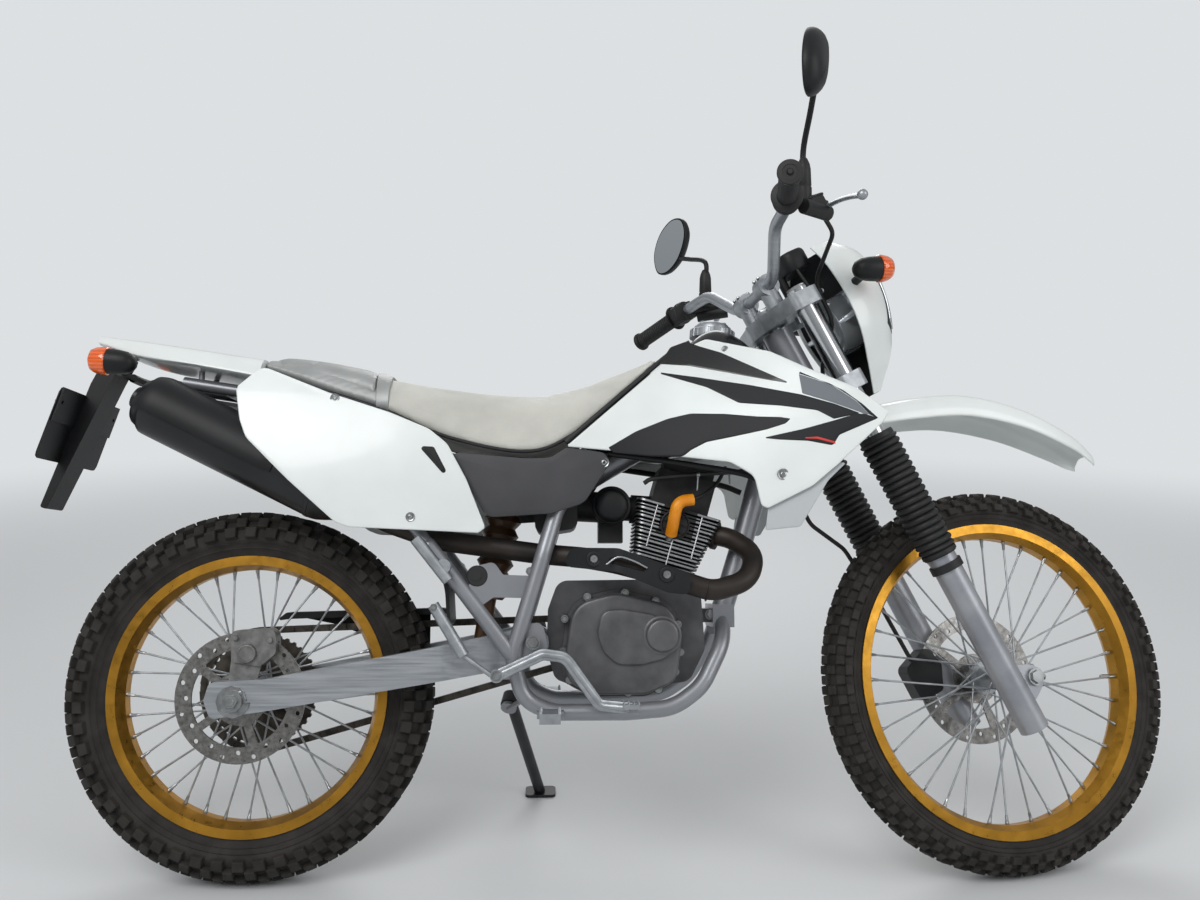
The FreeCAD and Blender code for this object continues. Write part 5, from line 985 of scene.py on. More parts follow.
class MotorcycleColours(bpy.types.PropertyGroup):
    panel: colour_choice("Panels", "Gloss panels, mudguard and cowl", "#E6EBE9")
    cover: colour_choice("Lower covers", "Textured covers low on each side", "#3F3F42")
    tank: colour_choice("Tank", "Gloss enamel of the tank", "#0C0D0F")
    seat: colour_choice("Padded seat", "Grained vinyl of the long pad", "#C9C8C0")
    rim: colour_choice("Rims", "Anodised wheel rims", "#B98731")
    lens: colour_choice("Flasher lenses", "Moulded lenses of the flashers", "#E8641E")
    frame: colour_choice("Frame", "Metallic paint of the frame", "#8F9196")
    tyre: colour_choice("Tyres", "Rubber of the tyres", "#25221F")
    arrow: colour_choice("Arrow film", "Dark printed arrow on the shrouds", "#1A1C20")
    border: colour_choice("Arrow border", "Paler border of the printed arrow", "#73787E")


class MotorcycleSizes(bpy.types.PropertyGroup):
    front_pitches: bpy.props.IntProperty(
        name="Front lugs", description="Rows of lugs round the front tyre", default=60, min=20, max=90)
    rear_pitches: bpy.props.IntProperty(
        name="Rear lugs", description="Rows of lugs round the rear tyre", default=50, min=20, max=90)
    gaiter_ribs: bpy.props.IntProperty(
        name="Gaiter ribs", description="Ribs of each fork gaiter", default=18, min=6, max=30)
    swell: bpy.props.FloatProperty(
        name="Padding swell", description="Most that the long pad may swell, in metres",
        default=0.006, min=0.0, max=0.02, unit="LENGTH")
    piping: bpy.props.FloatProperty(
        name="Piping", description="Radius of the piping round the pad, in metres",
        default=0.004, min=0.001, max=0.01, unit="LENGTH")


def sizes():
    """The sizes that the panel shows."""
    return bpy.context.scene.motorcycle_sizes


# Small shapes


def turned(start, end, rows, sides):
    """Turned body from rows of radius and distance along the line from a start to an end."""
    start = np.asarray(start, float)
    return lathe(rows, start, np.asarray(end, float) - start, sides)


def peg(start, end, radius, sides=24, bevel=1.0):
    """Round bar with bevelled ends."""
    length = float(np.linalg.norm(np.asarray(end, float) - np.asarray(start, float)))
    rows = ((0, 0), (radius - bevel, 0), (radius, bevel), (radius, length - bevel),
            (radius - bevel, length), (0, length))
    return turned(start, end, rows, sides)


def curve_tube(path, radius, count=60, sides=14):
    """Round tube along a smooth curve through the path's points."""
    return tube(even(smooth(path, count * 3), count), radius, sides)


def bolts(spots, axis, radius, height):
    """Hexagon bolts that stand on spots along one axis."""
    return copies(bolt(radius, height), spots, axis)


def dished_screw(spot, axis, radius):
    """Round screw in a dished washer."""
    rows = (
        (0, -2), (radius, -2), (radius, 0.6), (radius - 1, 1.4), (radius - 3.5, 0.6), (radius * 0.5, 0.5),
        (radius * 0.48, 2.4), (radius * 0.3, 3.0), (radius * 0.24, 1.2), (0, 1.2))
    return lathe(rows, spot, axis, 28)


def screw_on(reach, x, z, radius):
    """Dished screw on a panel of the right side."""
    return dished_screw((x, -float(reach(np.array(x), np.array(z))), z), RIGHT, radius)


def plate_stack(outline, low, high, edge, crown):
    """Flat moulding on a side outline of x, z and radius: straight walls, a rolled edge of the given
    radius and a top that is crowned a little."""
    flat = rounded_outline(outline, 90)
    steps = [(0.0, low), (0.0, high - edge)]
    for angle in (22, 45, 68, 90):
        a = math.radians(angle)
        steps.append((edge * (1 - math.cos(a)), high - edge + edge * math.sin(a)))
    steps += [(edge + 3, high + crown * 0.5), (edge + 8, high + crown)]
    return stack(flat, steps, side_place())


def film(low, high, reach, lift, columns=80, rows=8):
    """Thin printed film on a panel between two curves."""
    return panel(low, high, reach, lift, 0.3, 0.25, columns, rows)


def flat_bar(path, high, thick):
    """Flat bar with rounded edges along a path: its height stays square to the path in the side
    view."""
    path = np.asarray(path, float)
    ahead = unit(np.gradient(path, axis=0))
    up = unit(np.stack((-ahead[:, 2], 0 * ahead[:, 1], ahead[:, 0]), 1))
    section = rectangle(-high, high, -thick, thick, 2, 24)
    rings = path[:, None] + section[None, :, :1] * up[:, None]
    return loft(rings + section[None, :, 1:] * np.array((0.0, 1.0, 0.0)))


def machine_points(item):
    """A piece's points on the upright machine, in millimetres."""
    points = np.empty(len(item.data.vertices) * 3)
    item.data.vertices.foreach_get("co", points)
    return (points.reshape(-1, 3) * 1000 - ORIGIN) @ LEAN_TURN


# Pieces


# Outer face of the swingarm's arms, from the middle
ARM_SIDE = 118


class BuildWheels(bpy.types.Operator):
    """Knobbed tyres, spoke nipples, axle ends and the chain adjusters"""
    bl_idname = "motorcycle.build_wheels"
    bl_label = "Wheels"

    def execute(self, context):
        for name, tyre, lugs, pitches, place, wheel, flange in (
                ("front", FRONT_TYRE, FRONT_LUGS, sizes().front_pitches, on_front_wheel, "front_wheel",
                 FRONT_FLANGE),
                ("rear", REAR_TYRE, REAR_LUGS, sizes().rear_pitches, on_rear_wheel, "rear_wheel",
                 REAR_FLANGE)):
            lugs = lug_rows(tyre, lugs, pitches)
            make_piece(name + "_knobbed_tyre", [carcass(tyre)] + lugs, place, wheel,
                       "tyre_rubber", [name + "_tyre"], 30)
            valve = peg((tyre["rim"] - 22, 0, 0), (tyre["rim"] - 55, 0, 0), 4, 12)
            make_piece(name + "_nipples", [nipples(tyre["rim"], *flange), valve], place, wheel,
                       "zinc_steel")
        parts = []
        angle = np.linspace(0, 2 * math.pi, 73)[:-1]
        snail = 22 + 7 * angle / (2 * math.pi) + 0.8 * (np.arange(72) % 6 < 3)
        outline = np.stack((snail * np.cos(angle), REAR_AXLE[2] + snail * np.sin(angle)), 1)
        for side in (-1, 1):
            centre = REAR_AXLE + (0, side * ARM_SIDE, 0)
            axis = (0, side, 0)
            parts.append(stack(
                outline, ((0, 118.2), (0, 121.2), (0.6, 121.8), (4, 121.8)), side_place(side)))
            parts.append(lathe(((0, 3.6), (17, 3.6), (17, 6), (15.5, 7), (0, 7)), centre, axis, 40))
            parts.append(bolts([centre + (0, side * 7, 0)], axis, 12.5, 8))
            parts.append(peg(centre + (0, side * 10, 0), centre + (0, side * 18, 0), 7, 20))
            for x, z in ((-14, -12), (-6, -18), (13, 13)):
                spot = centre + (x, side * 3.7, z)
                parts.append(lathe(((0, 0), (3.6, 0), (3.6, 1), (2.6, 1.6), (0, 1.6)), spot, axis, 16))
        chassis_piece("chain_adjusters", parts, "zinc_steel")
        return {"FINISHED"}


# Paths, outlines and turned profiles of radius and height
CLAMP_BAND = ((30.4, -4), (31.6, -3.4), (31.6, 3.4), (30.4, 4), (28, 4), (28, -4))
TUBE_CAP = (
    (0, 791.5), (16.5, 791.5), (17.5, 792.5), (17.5, 796), (16, 797.5), (9, 797.5), (9, 794), (0, 794))
LEG_CAP = ((0, -79.2), (15, -79.2), (19, -78.6), (22, -77.5), (22, -76), (0, -76))


class BuildFork(bpy.types.Operator):
    """Ribbed gaiters, axle clamp bolts, tube caps and the bolts of the clamps"""
    bl_idname = "motorcycle.build_fork"
    bl_label = "Fork"

    def execute(self, context):
        ribs = sizes().gaiter_ribs
        parts = [lathe(ribbed_sleeve(257, 497, ribs), (TUBE_AHEAD, s * TUBE_SIDE, 0), UP, 40)
                 for s in (1, -1)]
        bands = [lathe(CLAMP_BAND, (TUBE_AHEAD, s * TUBE_SIDE, z), UP, 40)
                 for s in (1, -1) for z in (263, 491)]
        fork_piece("ribbed_gaiters", parts, "black_rubber", ["fork_gaiters"], 60)
        fork_piece("gaiter_bands", bands, "black_rubber")
        ends = []
        for s in (1, -1):
            ends.append(bolts([(60, s * 119.5, 0)], (0, s, 0), 12, 6))
            ends.append(bolts([(79, s * 92, 10), (79, s * 108, -10)], AHEAD, 4.5, 4))
            ends.append(lathe(TUBE_CAP, (TUBE_AHEAD, s * TUBE_SIDE, 0), UP, 36))
            ends.append(bolts([(57, s * TUBE_SIDE - 12, 770), (54, s * TUBE_SIDE + 13, 600)], AHEAD, 4, 4))
            for x in (-14, 8):
                ends.append(bolts([(x, s * 50 - 9, 846), (x, s * 50 + 9, 846)], UP, 3.6, 4))
        ends.append(bolts([(0, 0, 794.5)], UP, 14, 6))
        fork_piece("fork_bolts", ends, "zinc_steel")
        caps = [lathe(LEG_CAP, (TUBE_AHEAD, s * TUBE_SIDE, 0), UP, 36) for s in (1, -1)]
        fork_piece("leg_end_caps", caps, "leg_silver_paint")
        return {"FINISHED"}


# Paths, outlines and turned profiles of radius and height
LOWER_COVER = (
    (348, 740, 10), (480, 729, 40), (526, 730, 20), (554, 749, 8), (617, 740, 10), (630, 724, 12),
    (584, 652, 30), (528, 634, 40), (418, 627, 20))


class BuildSideCovers(bpy.types.Operator):
    """White side covers with a dark slanted vent, the dark lower covers and their screws"""
    bl_idname = "motorcycle.build_side_covers"
    bl_label = "Side covers"

    def execute(self, context):
        each_side("side_panel", [panel(SIDE_COVER_LOW, SIDE_COVER_HIGH, COVER_REACH)],
                  "white_panel_plastic", ["side_cover"])
        flat = rounded_outline(VENT, 60)

        def place(p):
            x, z, h = p[..., 0], p[..., 1], p[..., 2]
            return np.stack((x, -(COVER_REACH(x, z) + h), z), -1)

        vent = stack(flat, ((0.0, -3.0), (0.0, 0.2), (0.6, 0.5), (2.2, 0.5), (6.0, 0.5)), place)
        each_side("vent_slot", [vent], "black_moulding")
        screws = [screw_on(COVER_REACH, x, z, 8) for x, z in ((292, 626), (157, 830))]
        each_side("cover_screws", screws, "zinc_steel")
        covers = both_sides([plate_stack(LOWER_COVER, 121, 125, 1.6, 2.0)])
        chassis_piece(
            "textured_lower_covers", covers, "grey_textured_plastic", ["lower_covers"])
        each_side("lower_cover_screw", [dished_screw((618, -124.6, 722), RIGHT, 9)],
                  "zinc_steel")
        return {"FINISHED"}


# Printed films on the shroud: name, lower edge and upper edge in x, z and corner radius
FILM_LIFT = 0.4
ARROW_FILMS = (
    ("arrow_stripe",
     ((719, 880, 0), (797, 854, 0), (850, 824, 4), (919, 817, 40), (978, 807, 20), (1004, 791, 0)),
     ((719, 883, 0), (782, 873, 60), (871, 856, 90), (954, 836, 60), (1008, 817, 40), (1046, 800, 0))),
    ("arrow_barb",
     ((892, 760, 0), (915, 757, 20), (960, 754, 30), (1000, 745, 6), (1011, 763, 8), (1072, 789, 0)),
     ((892, 762, 0), (954, 775, 60), (1003, 788, 30), (1040, 799, 4), (1055, 798, 4), (1073, 791, 0))),
    ("arrow_edge",
     ((953, 874, 0), (1003, 853, 60), (1042, 822, 30), (1061, 797, 0)),
     ((955, 877, 0), (989, 859, 60), (1021, 842, 40), (1052, 815, 30), (1075, 790, 0))),
)
BORDER_FILM = (
    ((956, 838, 0), (1008, 818, 40), (1047, 801, 4), (1054, 797, 0)),
    ((953, 873, 0), (1003, 852, 60), (1042, 821, 30), (1060, 798, 0)))
ACCENT_FILM = (
    ((957, 758, 0), (975, 757, 0), (1004, 748, 0)), ((956, 760, 0), (976, 761, 0), (1003, 752, 0)))
TANK_BAND = (
    ((717, 899, 0), (767, 895, 60), (822, 883, 60), (899, 865, 40), (931, 858, 0)),
    ((719, 903, 0), (737, 931, 10), (766, 942, 10), (787, 932, 10), (824, 919, 30), (881, 888, 60),
    (914, 870, 20), (932, 860, 0)))
INSERT_FILM = (
    ((626, 746, 0), (634, 738, 4), (699, 731, 20), (753, 730, 20), (766, 741, 14), (793, 755, 20),
    (840, 764, 60), (894, 775, 40), (926, 785, 10), (933, 792, 0)),
    ((626, 748, 0), (673, 776, 60), (728, 798, 60), (768, 807, 40), (826, 805, 90), (880, 799, 90),
    (917, 797, 20), (933, 794, 0)))
SCOOP_EDGES = (
    ((889, 604, 0), (928, 608, 6), (944, 609, 8), (992, 687, 40), (1020, 714, 0)),
    ((893, 643, 0), (964, 680, 40), (1012, 717, 0)))


# Paths, outlines and turned profiles of radius and height
RAIL_PATH = ((626, -112, 739), (700, -118, 729), (768, -119, 719), (855, -118, 705), (896, -116, 690))


class BuildShrouds(bpy.types.Operator):
    """White shrouds with their black insert, printed arrow, tank band, screws and scoop, whose grey is
    painted shade on the white plastic
    """
    bl_idname = "motorcycle.build_shrouds"
    bl_label = "Shrouds"

    def execute(self, context):
        reach = SHROUD_REACH
        each_side("shroud_panel", [panel(SHROUD_LOW, SHROUD_HIGH, reach, columns=150, rows=34)],
                  "white_panel_plastic", ["shroud"])
        for name, low, high in ARROW_FILMS:
            each_side(name, [film(low, high, reach, FILM_LIFT)], "arrow_film")
        each_side("arrow_border", [film(*BORDER_FILM, reach, 0.25)], "arrow_border_film")
        each_side("red_mark", [film(*ACCENT_FILM, reach, 0.6, 24, 4)], "red_accent")
        each_side(
            "tank_band", [film(*TANK_BAND, reach, FILM_LIFT, 90, 14)], "black_tank_paint")
        each_side("shroud_insert", [panel(*INSERT_FILM, reach, 0.5, 1.2, 0.8, 110, 20)],
                  "satin_black_insert")
        # The scoop is the shroud's white plastic turned down underneath; its pale grey finish is painted
        # shade
        each_side("shroud_scoop", [panel(*SCOOP_EDGES, reach, -9.0, 1.5, 1.5, 60, 12)],
                  "pale_scoop_plastic")
        screws = [screw_on(reach, 917, 697, 10), screw_on(reach, 832, 925, 6)]
        each_side("shroud_screws", screws, "zinc_steel")
        rail = curve_tube(RAIL_PATH, 5.5, 50, 12)
        each_side("shroud_rail", [rail], "black_moulding")
        return {"FINISHED"}


REAR_PAD_STATIONS = (
    (30, ((20, 896), (40, 897), (44, 905), (34, 917), (12, 920))),
    (60, ((30, 885), (58, 887), (63, 898), (50, 913), (18, 918))),
    (120, ((40, 862), (76, 866), (83, 884), (64, 903), (24, 910))),
    (180, ((44, 840), (88, 846), (96, 868), (74, 890), (28, 899))),
    (221, ((46, 826), (96, 832), (106, 856), (82, 879), (32, 889))),
)
# Strap between these distances ahead of the rear axle, and silver cover up to the last
STRAP_EDGES = (222.0, 245.0)
SILVER_UNTIL = 233

# Cloth solver: size of a voxel in metres, air pressure, frames and height in mm that is held
VOXEL = 0.005
AIR_PRESSURE = 4.0
LAST_FRAME = 20
HELD_HEIGHT = 9


def swollen(item, cap):
    """Puffs a closed pad up with the cloth solver: even voxels, air pressure inside, no gravity, the
    lowest points held, and no point moved by more than the cap."""
    scene = bpy.context.scene
    remesh = item.modifiers.new("even_voxels", "REMESH")
    remesh.mode = "VOXEL"
    remesh.voxel_size = VOXEL
    shaped = bpy.data.meshes.new_from_object(item.evaluated_get(bpy.context.evaluated_depsgraph_get()))
    item.modifiers.remove(remesh)
    finish = item.data.materials[0]
    item.data = shaped
    shaped.materials.clear()
    shaped.materials.append(finish)
    start = np.empty(len(shaped.vertices) * 3)
    shaped.vertices.foreach_get("co", start)
    start = start.reshape(-1, 3)
    low = machine_points(item)
    floor = np.interp(low[:, 0], [row[0] for row in SEAT_STATIONS], [row[1][0][1] for row in SEAT_STATIONS])
    held = item.vertex_groups.new(name="held")
    held.add(np.flatnonzero(low[:, 2] < floor + HELD_HEIGHT).tolist(), 1.0, "REPLACE")
    cloth = item.modifiers.new("pressed", "CLOTH")
    cloth.settings.use_pressure = True
    cloth.settings.uniform_pressure_force = AIR_PRESSURE
    cloth.settings.effector_weights.gravity = 0.0
    cloth.settings.vertex_group_mass = "held"
    cloth.point_cache.frame_start = 1
    cloth.point_cache.frame_end = LAST_FRAME
    for frame_number in range(1, LAST_FRAME + 1):
        scene.frame_set(frame_number)
    after = item.evaluated_get(bpy.context.evaluated_depsgraph_get()).data
    end = np.empty(len(after.vertices) * 3)
    after.vertices.foreach_get("co", end)
    moved = end.reshape(-1, 3) - start
    length = np.linalg.norm(moved, axis=1, keepdims=True)
    moved *= np.minimum(1.0, cap / np.maximum(length, 1e-9))
    item.modifiers.remove(cloth)
    item.vertex_groups.clear()
    scene.frame_set(1)
    shaped.vertices.foreach_set("co", (start + moved).ravel())
    shaped.update()


def finely_smoothed(item):
    """One subdivision, worked into the mesh."""
    finer = item.modifiers.new("finer", "SUBSURF")
    finer.levels = finer.render_levels = 1
    shaped = bpy.data.meshes.new_from_object(item.evaluated_get(bpy.context.evaluated_depsgraph_get()))
    item.modifiers.remove(finer)
    item.data = shaped
    shaped.polygons.foreach_set("use_smooth", np.ones(len(shaped.polygons), bool))


def girth(points, x, centre, wanted):
    """The farthest of the points near one x, for each angle round a centre."""
    near = points[np.abs(points[:, 0] - x) < 5]
    across = near[:, 1] - centre[0]
    rise = near[:, 2] - centre[1]
    spread = np.mod(np.arctan2(rise, across)[None] - wanted[:, None] + math.pi, 2 * math.pi) - math.pi
    reach = np.where(np.abs(spread) < math.radians(4), np.hypot(across, rise)[None], 0.0).max(1)
    return np.convolve(np.pad(reach, 2, mode="edge"), (0.1, 0.2, 0.4, 0.2, 0.1), "valid")


def band_round(points, x_low, x_high, thick):
    """Strap over the pads: their girth at both edges of the band, made larger by its thickness."""
    middle = points[np.abs(points[:, 0] - (x_low + x_high) / 2) < 12]
    centre = (0.0, middle[:, 2].min() + 0.35 * np.ptp(middle[:, 2]))
    wanted = np.radians(np.linspace(-34, 214, 81))
    low, high = girth(points, x_low, centre, wanted), girth(points, x_high, centre, wanted)
    rings = []
    for share, out in ((0, 0.2), (0.05, thick), (0.95, thick), (1, 0.2), (1, -3), (0, -3)):
        radius = low * (1 - share) + high * share + out
        x = np.full(81, x_low + share * (x_high - x_low))
        y, z = centre[0] + radius * np.cos(wanted), centre[1] + radius * np.sin(wanted)
        rings.append(np.stack((x, y, z), 1))
    return loft(np.array(rings).transpose(1, 0, 2))


class BuildSeat(bpy.types.Operator):
    """Long seat with its raised rear pad, strap, piping and hem"""
    bl_idname = "motorcycle.build_seat"
    bl_label = "Padded seat"

    def execute(self, context):
        main = chassis_piece(
            "seat_pad", [body(SEAT_STATIONS, 90, 80, 2.0)], "seat_vinyl", ["seat"], 50)
        rear = chassis_piece("rear_seat_pad", [body(REAR_PAD_STATIONS, 60, 64, 1.0)],
                             "silver_pad_vinyl", (), 50)
        for pad, cap in ((main, sizes().swell), (rear, sizes().swell * 0.5)):
            swollen(pad, cap)
            finely_smoothed(pad)
        main.data.materials.append(finish_of("silver_pad_vinyl"))
        middles = np.empty(len(main.data.polygons) * 3)
        main.data.polygons.foreach_get("center", middles)
        machine = (middles.reshape(-1, 3) * 1000 - ORIGIN) @ LEAN_TURN
        main.data.polygons.foreach_set("material_index", (machine[:, 0] < SILVER_UNTIL).astype(int))
        points = np.concatenate((machine_points(main), machine_points(rear)))
        strap = band_round(points, *STRAP_EDGES, 2.2)
        chassis_piece("seat_strap", [strap], "silver_pad_vinyl", (), 40)
        radius = sizes().piping * 1000
        rising = [(x, -float(SHROUD_REACH(np.array(x), np.array(z))) + 7, z)
                  for x, z in ((552, 757), (600, 800), (660, 853), (715, 902), (745, 926), (772, 941))]
        edge = curve_tube(rising, radius * 1.15, 70, 12)
        hem_path = [(row[0], -(row[1][1][0] + 2.0), row[1][1][1] - 2.0) for row in SEAT_STATIONS[1:7]]
        hem = curve_tube(hem_path, radius * 0.8, 90, 10)
        chassis_piece("seat_piping", both_sides([edge, hem]), "black_piping_vinyl")
        return {"FINISHED"}


CAP_SPOT = np.array((826.0, 0.0, 968.0))

# Paths, outlines and turned profiles of radius and height
FILLER_CROWN = ((0, 15), (35, 15), (35, 20), (34, 22.5), (30, 24), (29, 27), (26, 29.5), (0, 31))
FILLER_LOCK = ((0, 33), (5, 33), (5, 34.6), (4, 35), (1.2, 35), (1.2, 34.2), (0, 34.2))


class BuildTank(bpy.types.Operator):
    """Black tank round its silver filler cap"""
    bl_idname = "motorcycle.build_tank"
    bl_label = "Tank"

    def execute(self, context):
        chassis_piece("tank_shell", [body(TANK_STATIONS, 70, 72, 3.0)], "black_tank_paint",
                      ["fuel_tank"], 50)
        angle = np.linspace(0, 2 * math.pi, 192, endpoint=False)
        grip = 42 - 1.2 * (np.cos(24 * angle) > 0.4)
        outline = np.stack((grip * np.cos(angle), grip * np.sin(angle)), 1)
        axis = unit(np.array((0.08, 0.0, 1.0)))
        across = basis(axis, LEFT)

        def place(p):
            return CAP_SPOT + p @ across

        ring = stack(outline, ((0, 0.2), (0, 15), (1.5, 16.5), (4, 16.5), (8, 16)), place)
        crown = lathe(FILLER_CROWN, CAP_SPOT, axis, 64)
        bar = stack(rectangle(-25, 25, -8, 8, 6, 60), ((0, 28), (0, 32), (1, 33.4), (3, 33.8)), place)
        lock = lathe(FILLER_LOCK, CAP_SPOT, axis, 24)
        chassis_piece("filler_cap", [ring, crown, bar, lock], "cast_alloy", ["tank_cap"])
        return {"FINISHED"}


# Paths, outlines and turned profiles of radius and height
REAR_FLASHER_BODY = ((0, 0), (9, 1), (15, 6), (19, 16), (21, 30), (21.5, 46.2), (0, 46.2))
REAR_FLASHER_LENS = ((0, 0), (22.5, 0), (24, 1.5), (24, 8), (22, 20), (18.5, 27), (13, 30), (0, 31))
PLATE_EDGE = ((0, 0), (0, 1.2), (1.5, 2.2), (3.5, 2.0), (5, 1.2), (12, 1.2))


class BuildTail(bpy.types.Operator):
    """White tail, lamps at the rear, the blank plate and its bolts"""
    bl_idname = "motorcycle.build_tail"
    bl_label = "Tail"

    def execute(self, context):
        chassis_piece("tail_panel", [body(TAIL_STATIONS, 60, 48, 3.0)],
                      "white_panel_plastic", ["tail_cover"], 50)
        flat = rounded_outline(((-246, 932, 5), (-286, 930, 8), (-296, 902, 10), (-272, 894, 5)), 60)

        def placed(low, high, grow):
            half = np.linspace(low, high, 9)
            shrink = grow * np.abs(np.linspace(-1, 1, 9)) ** 6
            middle = flat.mean(0)
            rings = []
            for y, s in zip(half, shrink):
                x, z = (middle + (flat - middle) * (1 - s)).T
                rings.append(np.stack((x, np.full(60, y), z), 1))
            return loft(np.array(rings))

        chassis_piece("tail_lamp", [placed(-45, 45, 0.12)], "red_lens", ["rear_lamps"], 50)
        bodies, lenses, stalks = [], [], []
        for s in (1, -1):
            start, end = (-178, s * 140, 886), (-224, s * 140, 890)
            bodies.append(turned(start, end, REAR_FLASHER_BODY, 40))
            lenses.append(turned((-224, s * 140, 890), (-254, s * 140, 892), REAR_FLASHER_LENS, 40))
            stalks.append(curve_tube(
                ((-250, s * 30, 893), (-246, s * 70, 892), (-228, s * 112, 890), (-212, s * 128, 889)), 8,
                24, 16))
        chassis_piece("rear_flasher_bodies", bodies + stalks, "black_moulding")
        chassis_piece("rear_flasher_lenses", lenses, "orange_lens")
        tilt = math.radians(17.39)
        down = np.array((-math.sin(tilt), 0, -math.cos(tilt)))
        out = np.array((-math.cos(tilt), 0, math.sin(tilt)))
        top = np.array((-309.0, 0, 850.0)) + out * 2.4 + down * 2
        on_plate = placing(top, LEFT, down, out)
        plate = rectangle(-115, 115, 0, 123, 7, 80)
        sheet = stack(plate, PLATE_EDGE, on_plate)
        holder = rectangle(-118, 118, -2, 126, 9, 80)
        back = stack(holder, ((0.6, -2.2), (0, -1.6), (0, -0.2), (3, -0.2)), on_plate)
        chassis_piece("plate_holder", [back], "black_moulding")
        chassis_piece("blank_plate", [sheet], "blank_plate_enamel")
        spots = [top + out * 1.2 + down * 23 + np.array((0, s * 105, 0)) for s in (1, -1)]
        chassis_piece("plate_bolts", [bolts(spots, out, 5, 4)], "zinc_steel")
        return {"FINISHED"}


# Paths, outlines and turned profiles of radius and height
FRONT_FLASHER_BODY = ((0, 0), (8, 0.5), (14, 5), (19, 14), (21.6, 27), (22.4, 38), (22.4, 48.4), (0, 48.4))
FRONT_FLASHER_LENS = ((0, 0), (23.5, 0), (25, 1.5), (25, 5), (22.6, 16), (19, 23), (14, 25.6), (0, 26.6))
METER_CASE = ((4, 836), (1, 838), (0, 842), (0, 868), (1.2, 872), (4, 875.5), (7, 876), (9, 875), (14, 875))


class BuildFrontBody(bpy.types.Operator):
    """White front mudguard and lamp cowl, the lamp's lens, flashers and the meter"""
    bl_idname = "motorcycle.build_front_body"
    bl_label = "Front body"

    def execute(self, context):
        bosses = [peg((28, s * 22, 556), (28, s * 22, 584.7), 8, 16) for s in (1, -1)]
        make_piece("front_mudguard", [fender_shell()], on_steering, "steering",
                   "white_panel_plastic", ["front_fender"], 50)
        fork_piece("mudguard_bosses", bosses, "black_moulding")
        fork_piece(
            "lamp_cowl", [cowl_shell()], "white_panel_plastic", ["headlamp_cowl"], 50)
        lining = shell(cowl_grid(4, -6), cowl_grid(6, -6))
        fork_piece("cowl_lining", [lining], "black_moulding", (), 50)
        for name, low, high, half, lift, finish, slot in (
                ("lamp_surround", 650, 776, 76, 0.8, "black_moulding", "black_plastic"),
                ("lamp_lens", 660, 766, 66, 2.4, "clear_lens", "lamp_clear")):
            patch = cowl_patch(low, high, half)
            wall = shell(patch + np.array((lift, 0, 0)), patch - np.array((3.0, 0, 0)))
            fork_piece(name, [wall], finish, (), 40)
        bodies, lenses, stalks = [], [], []
        ahead = unit(np.array((36.0, 0, -14.0)))
        for s in (1, -1):
            start = np.array((124.0, s * 152, 770))
            bodies.append(turned(start - ahead * 14, start + ahead, FRONT_FLASHER_BODY, 40))
            lens = start + ahead * 34
            lenses.append(turned(lens, lens + ahead, FRONT_FLASHER_LENS, 40))
            stalks.append(curve_tube(
                ((132, s * 88, 760), (138, s * 112, 762), (137, s * 134, 764), (132, s * 142, 766)), 8,
                20, 16))
        fork_piece("front_flasher_bodies", bodies + stalks, "black_moulding",
                   ["front_flashers"])
        fork_piece("front_flasher_lenses", lenses, "orange_lens")
        case = rectangle(66, 122, -40, 40, 22, 80)
        shape = stack(case, METER_CASE, np.asarray)
        stalk = peg((62, 0, 786), (62, 0, 840), 9, 20)
        arm = peg((28, 0, 788), (66, 0, 788), 6, 16)
        fork_piece("meter_case", [shape, stalk, arm], "black_moulding", ["meter"])
        window = rectangle(79, 111, -27, 27, 9, 60)
        glass = stack(window, ((0, 874), (0, 875.8), (0.8, 876.4), (4, 876.6)), np.asarray)
        fork_piece("meter_window", [glass], "dark_display_window")
        return {"FINISHED"}


def bar_frame(side):
    """Outer end of the handlebar and its direction, in the fork's own axes."""
    start = np.array((-2.0, side * 226, 906))
    end = np.array((-78.0, side * 398, 911))
    return end, unit(end - start)


# Paths, outlines and turned profiles of radius and height
MIRROR_BOOT = (
    (0, 0), (13, 0), (13.5, 3), (13.5, 30), (12.4, 31), (12.4, 33), (13, 34), (12, 62), (10.5, 70),
    (7.5, 77), (6, 80), (0, 80))
MIRROR_LEAF = ((-44, 52), (-6, 58), (34, 32), (54, -12), (42, -54), (6, -60), (-34, -34), (-56, 14))
MIRROR_BACK = (
    (3.5, -6.5), (1.5, -8), (0.3, -7), (0, -4), (0.4, 1), (3, 7), (8, 13), (14, 17.5), (22, 20.5), (32, 22))
RESERVOIR = ((1, 878), (0, 879), (0, 897), (-1.5, 897.5), (-1.5, 900), (0, 901.2), (4, 901.6))


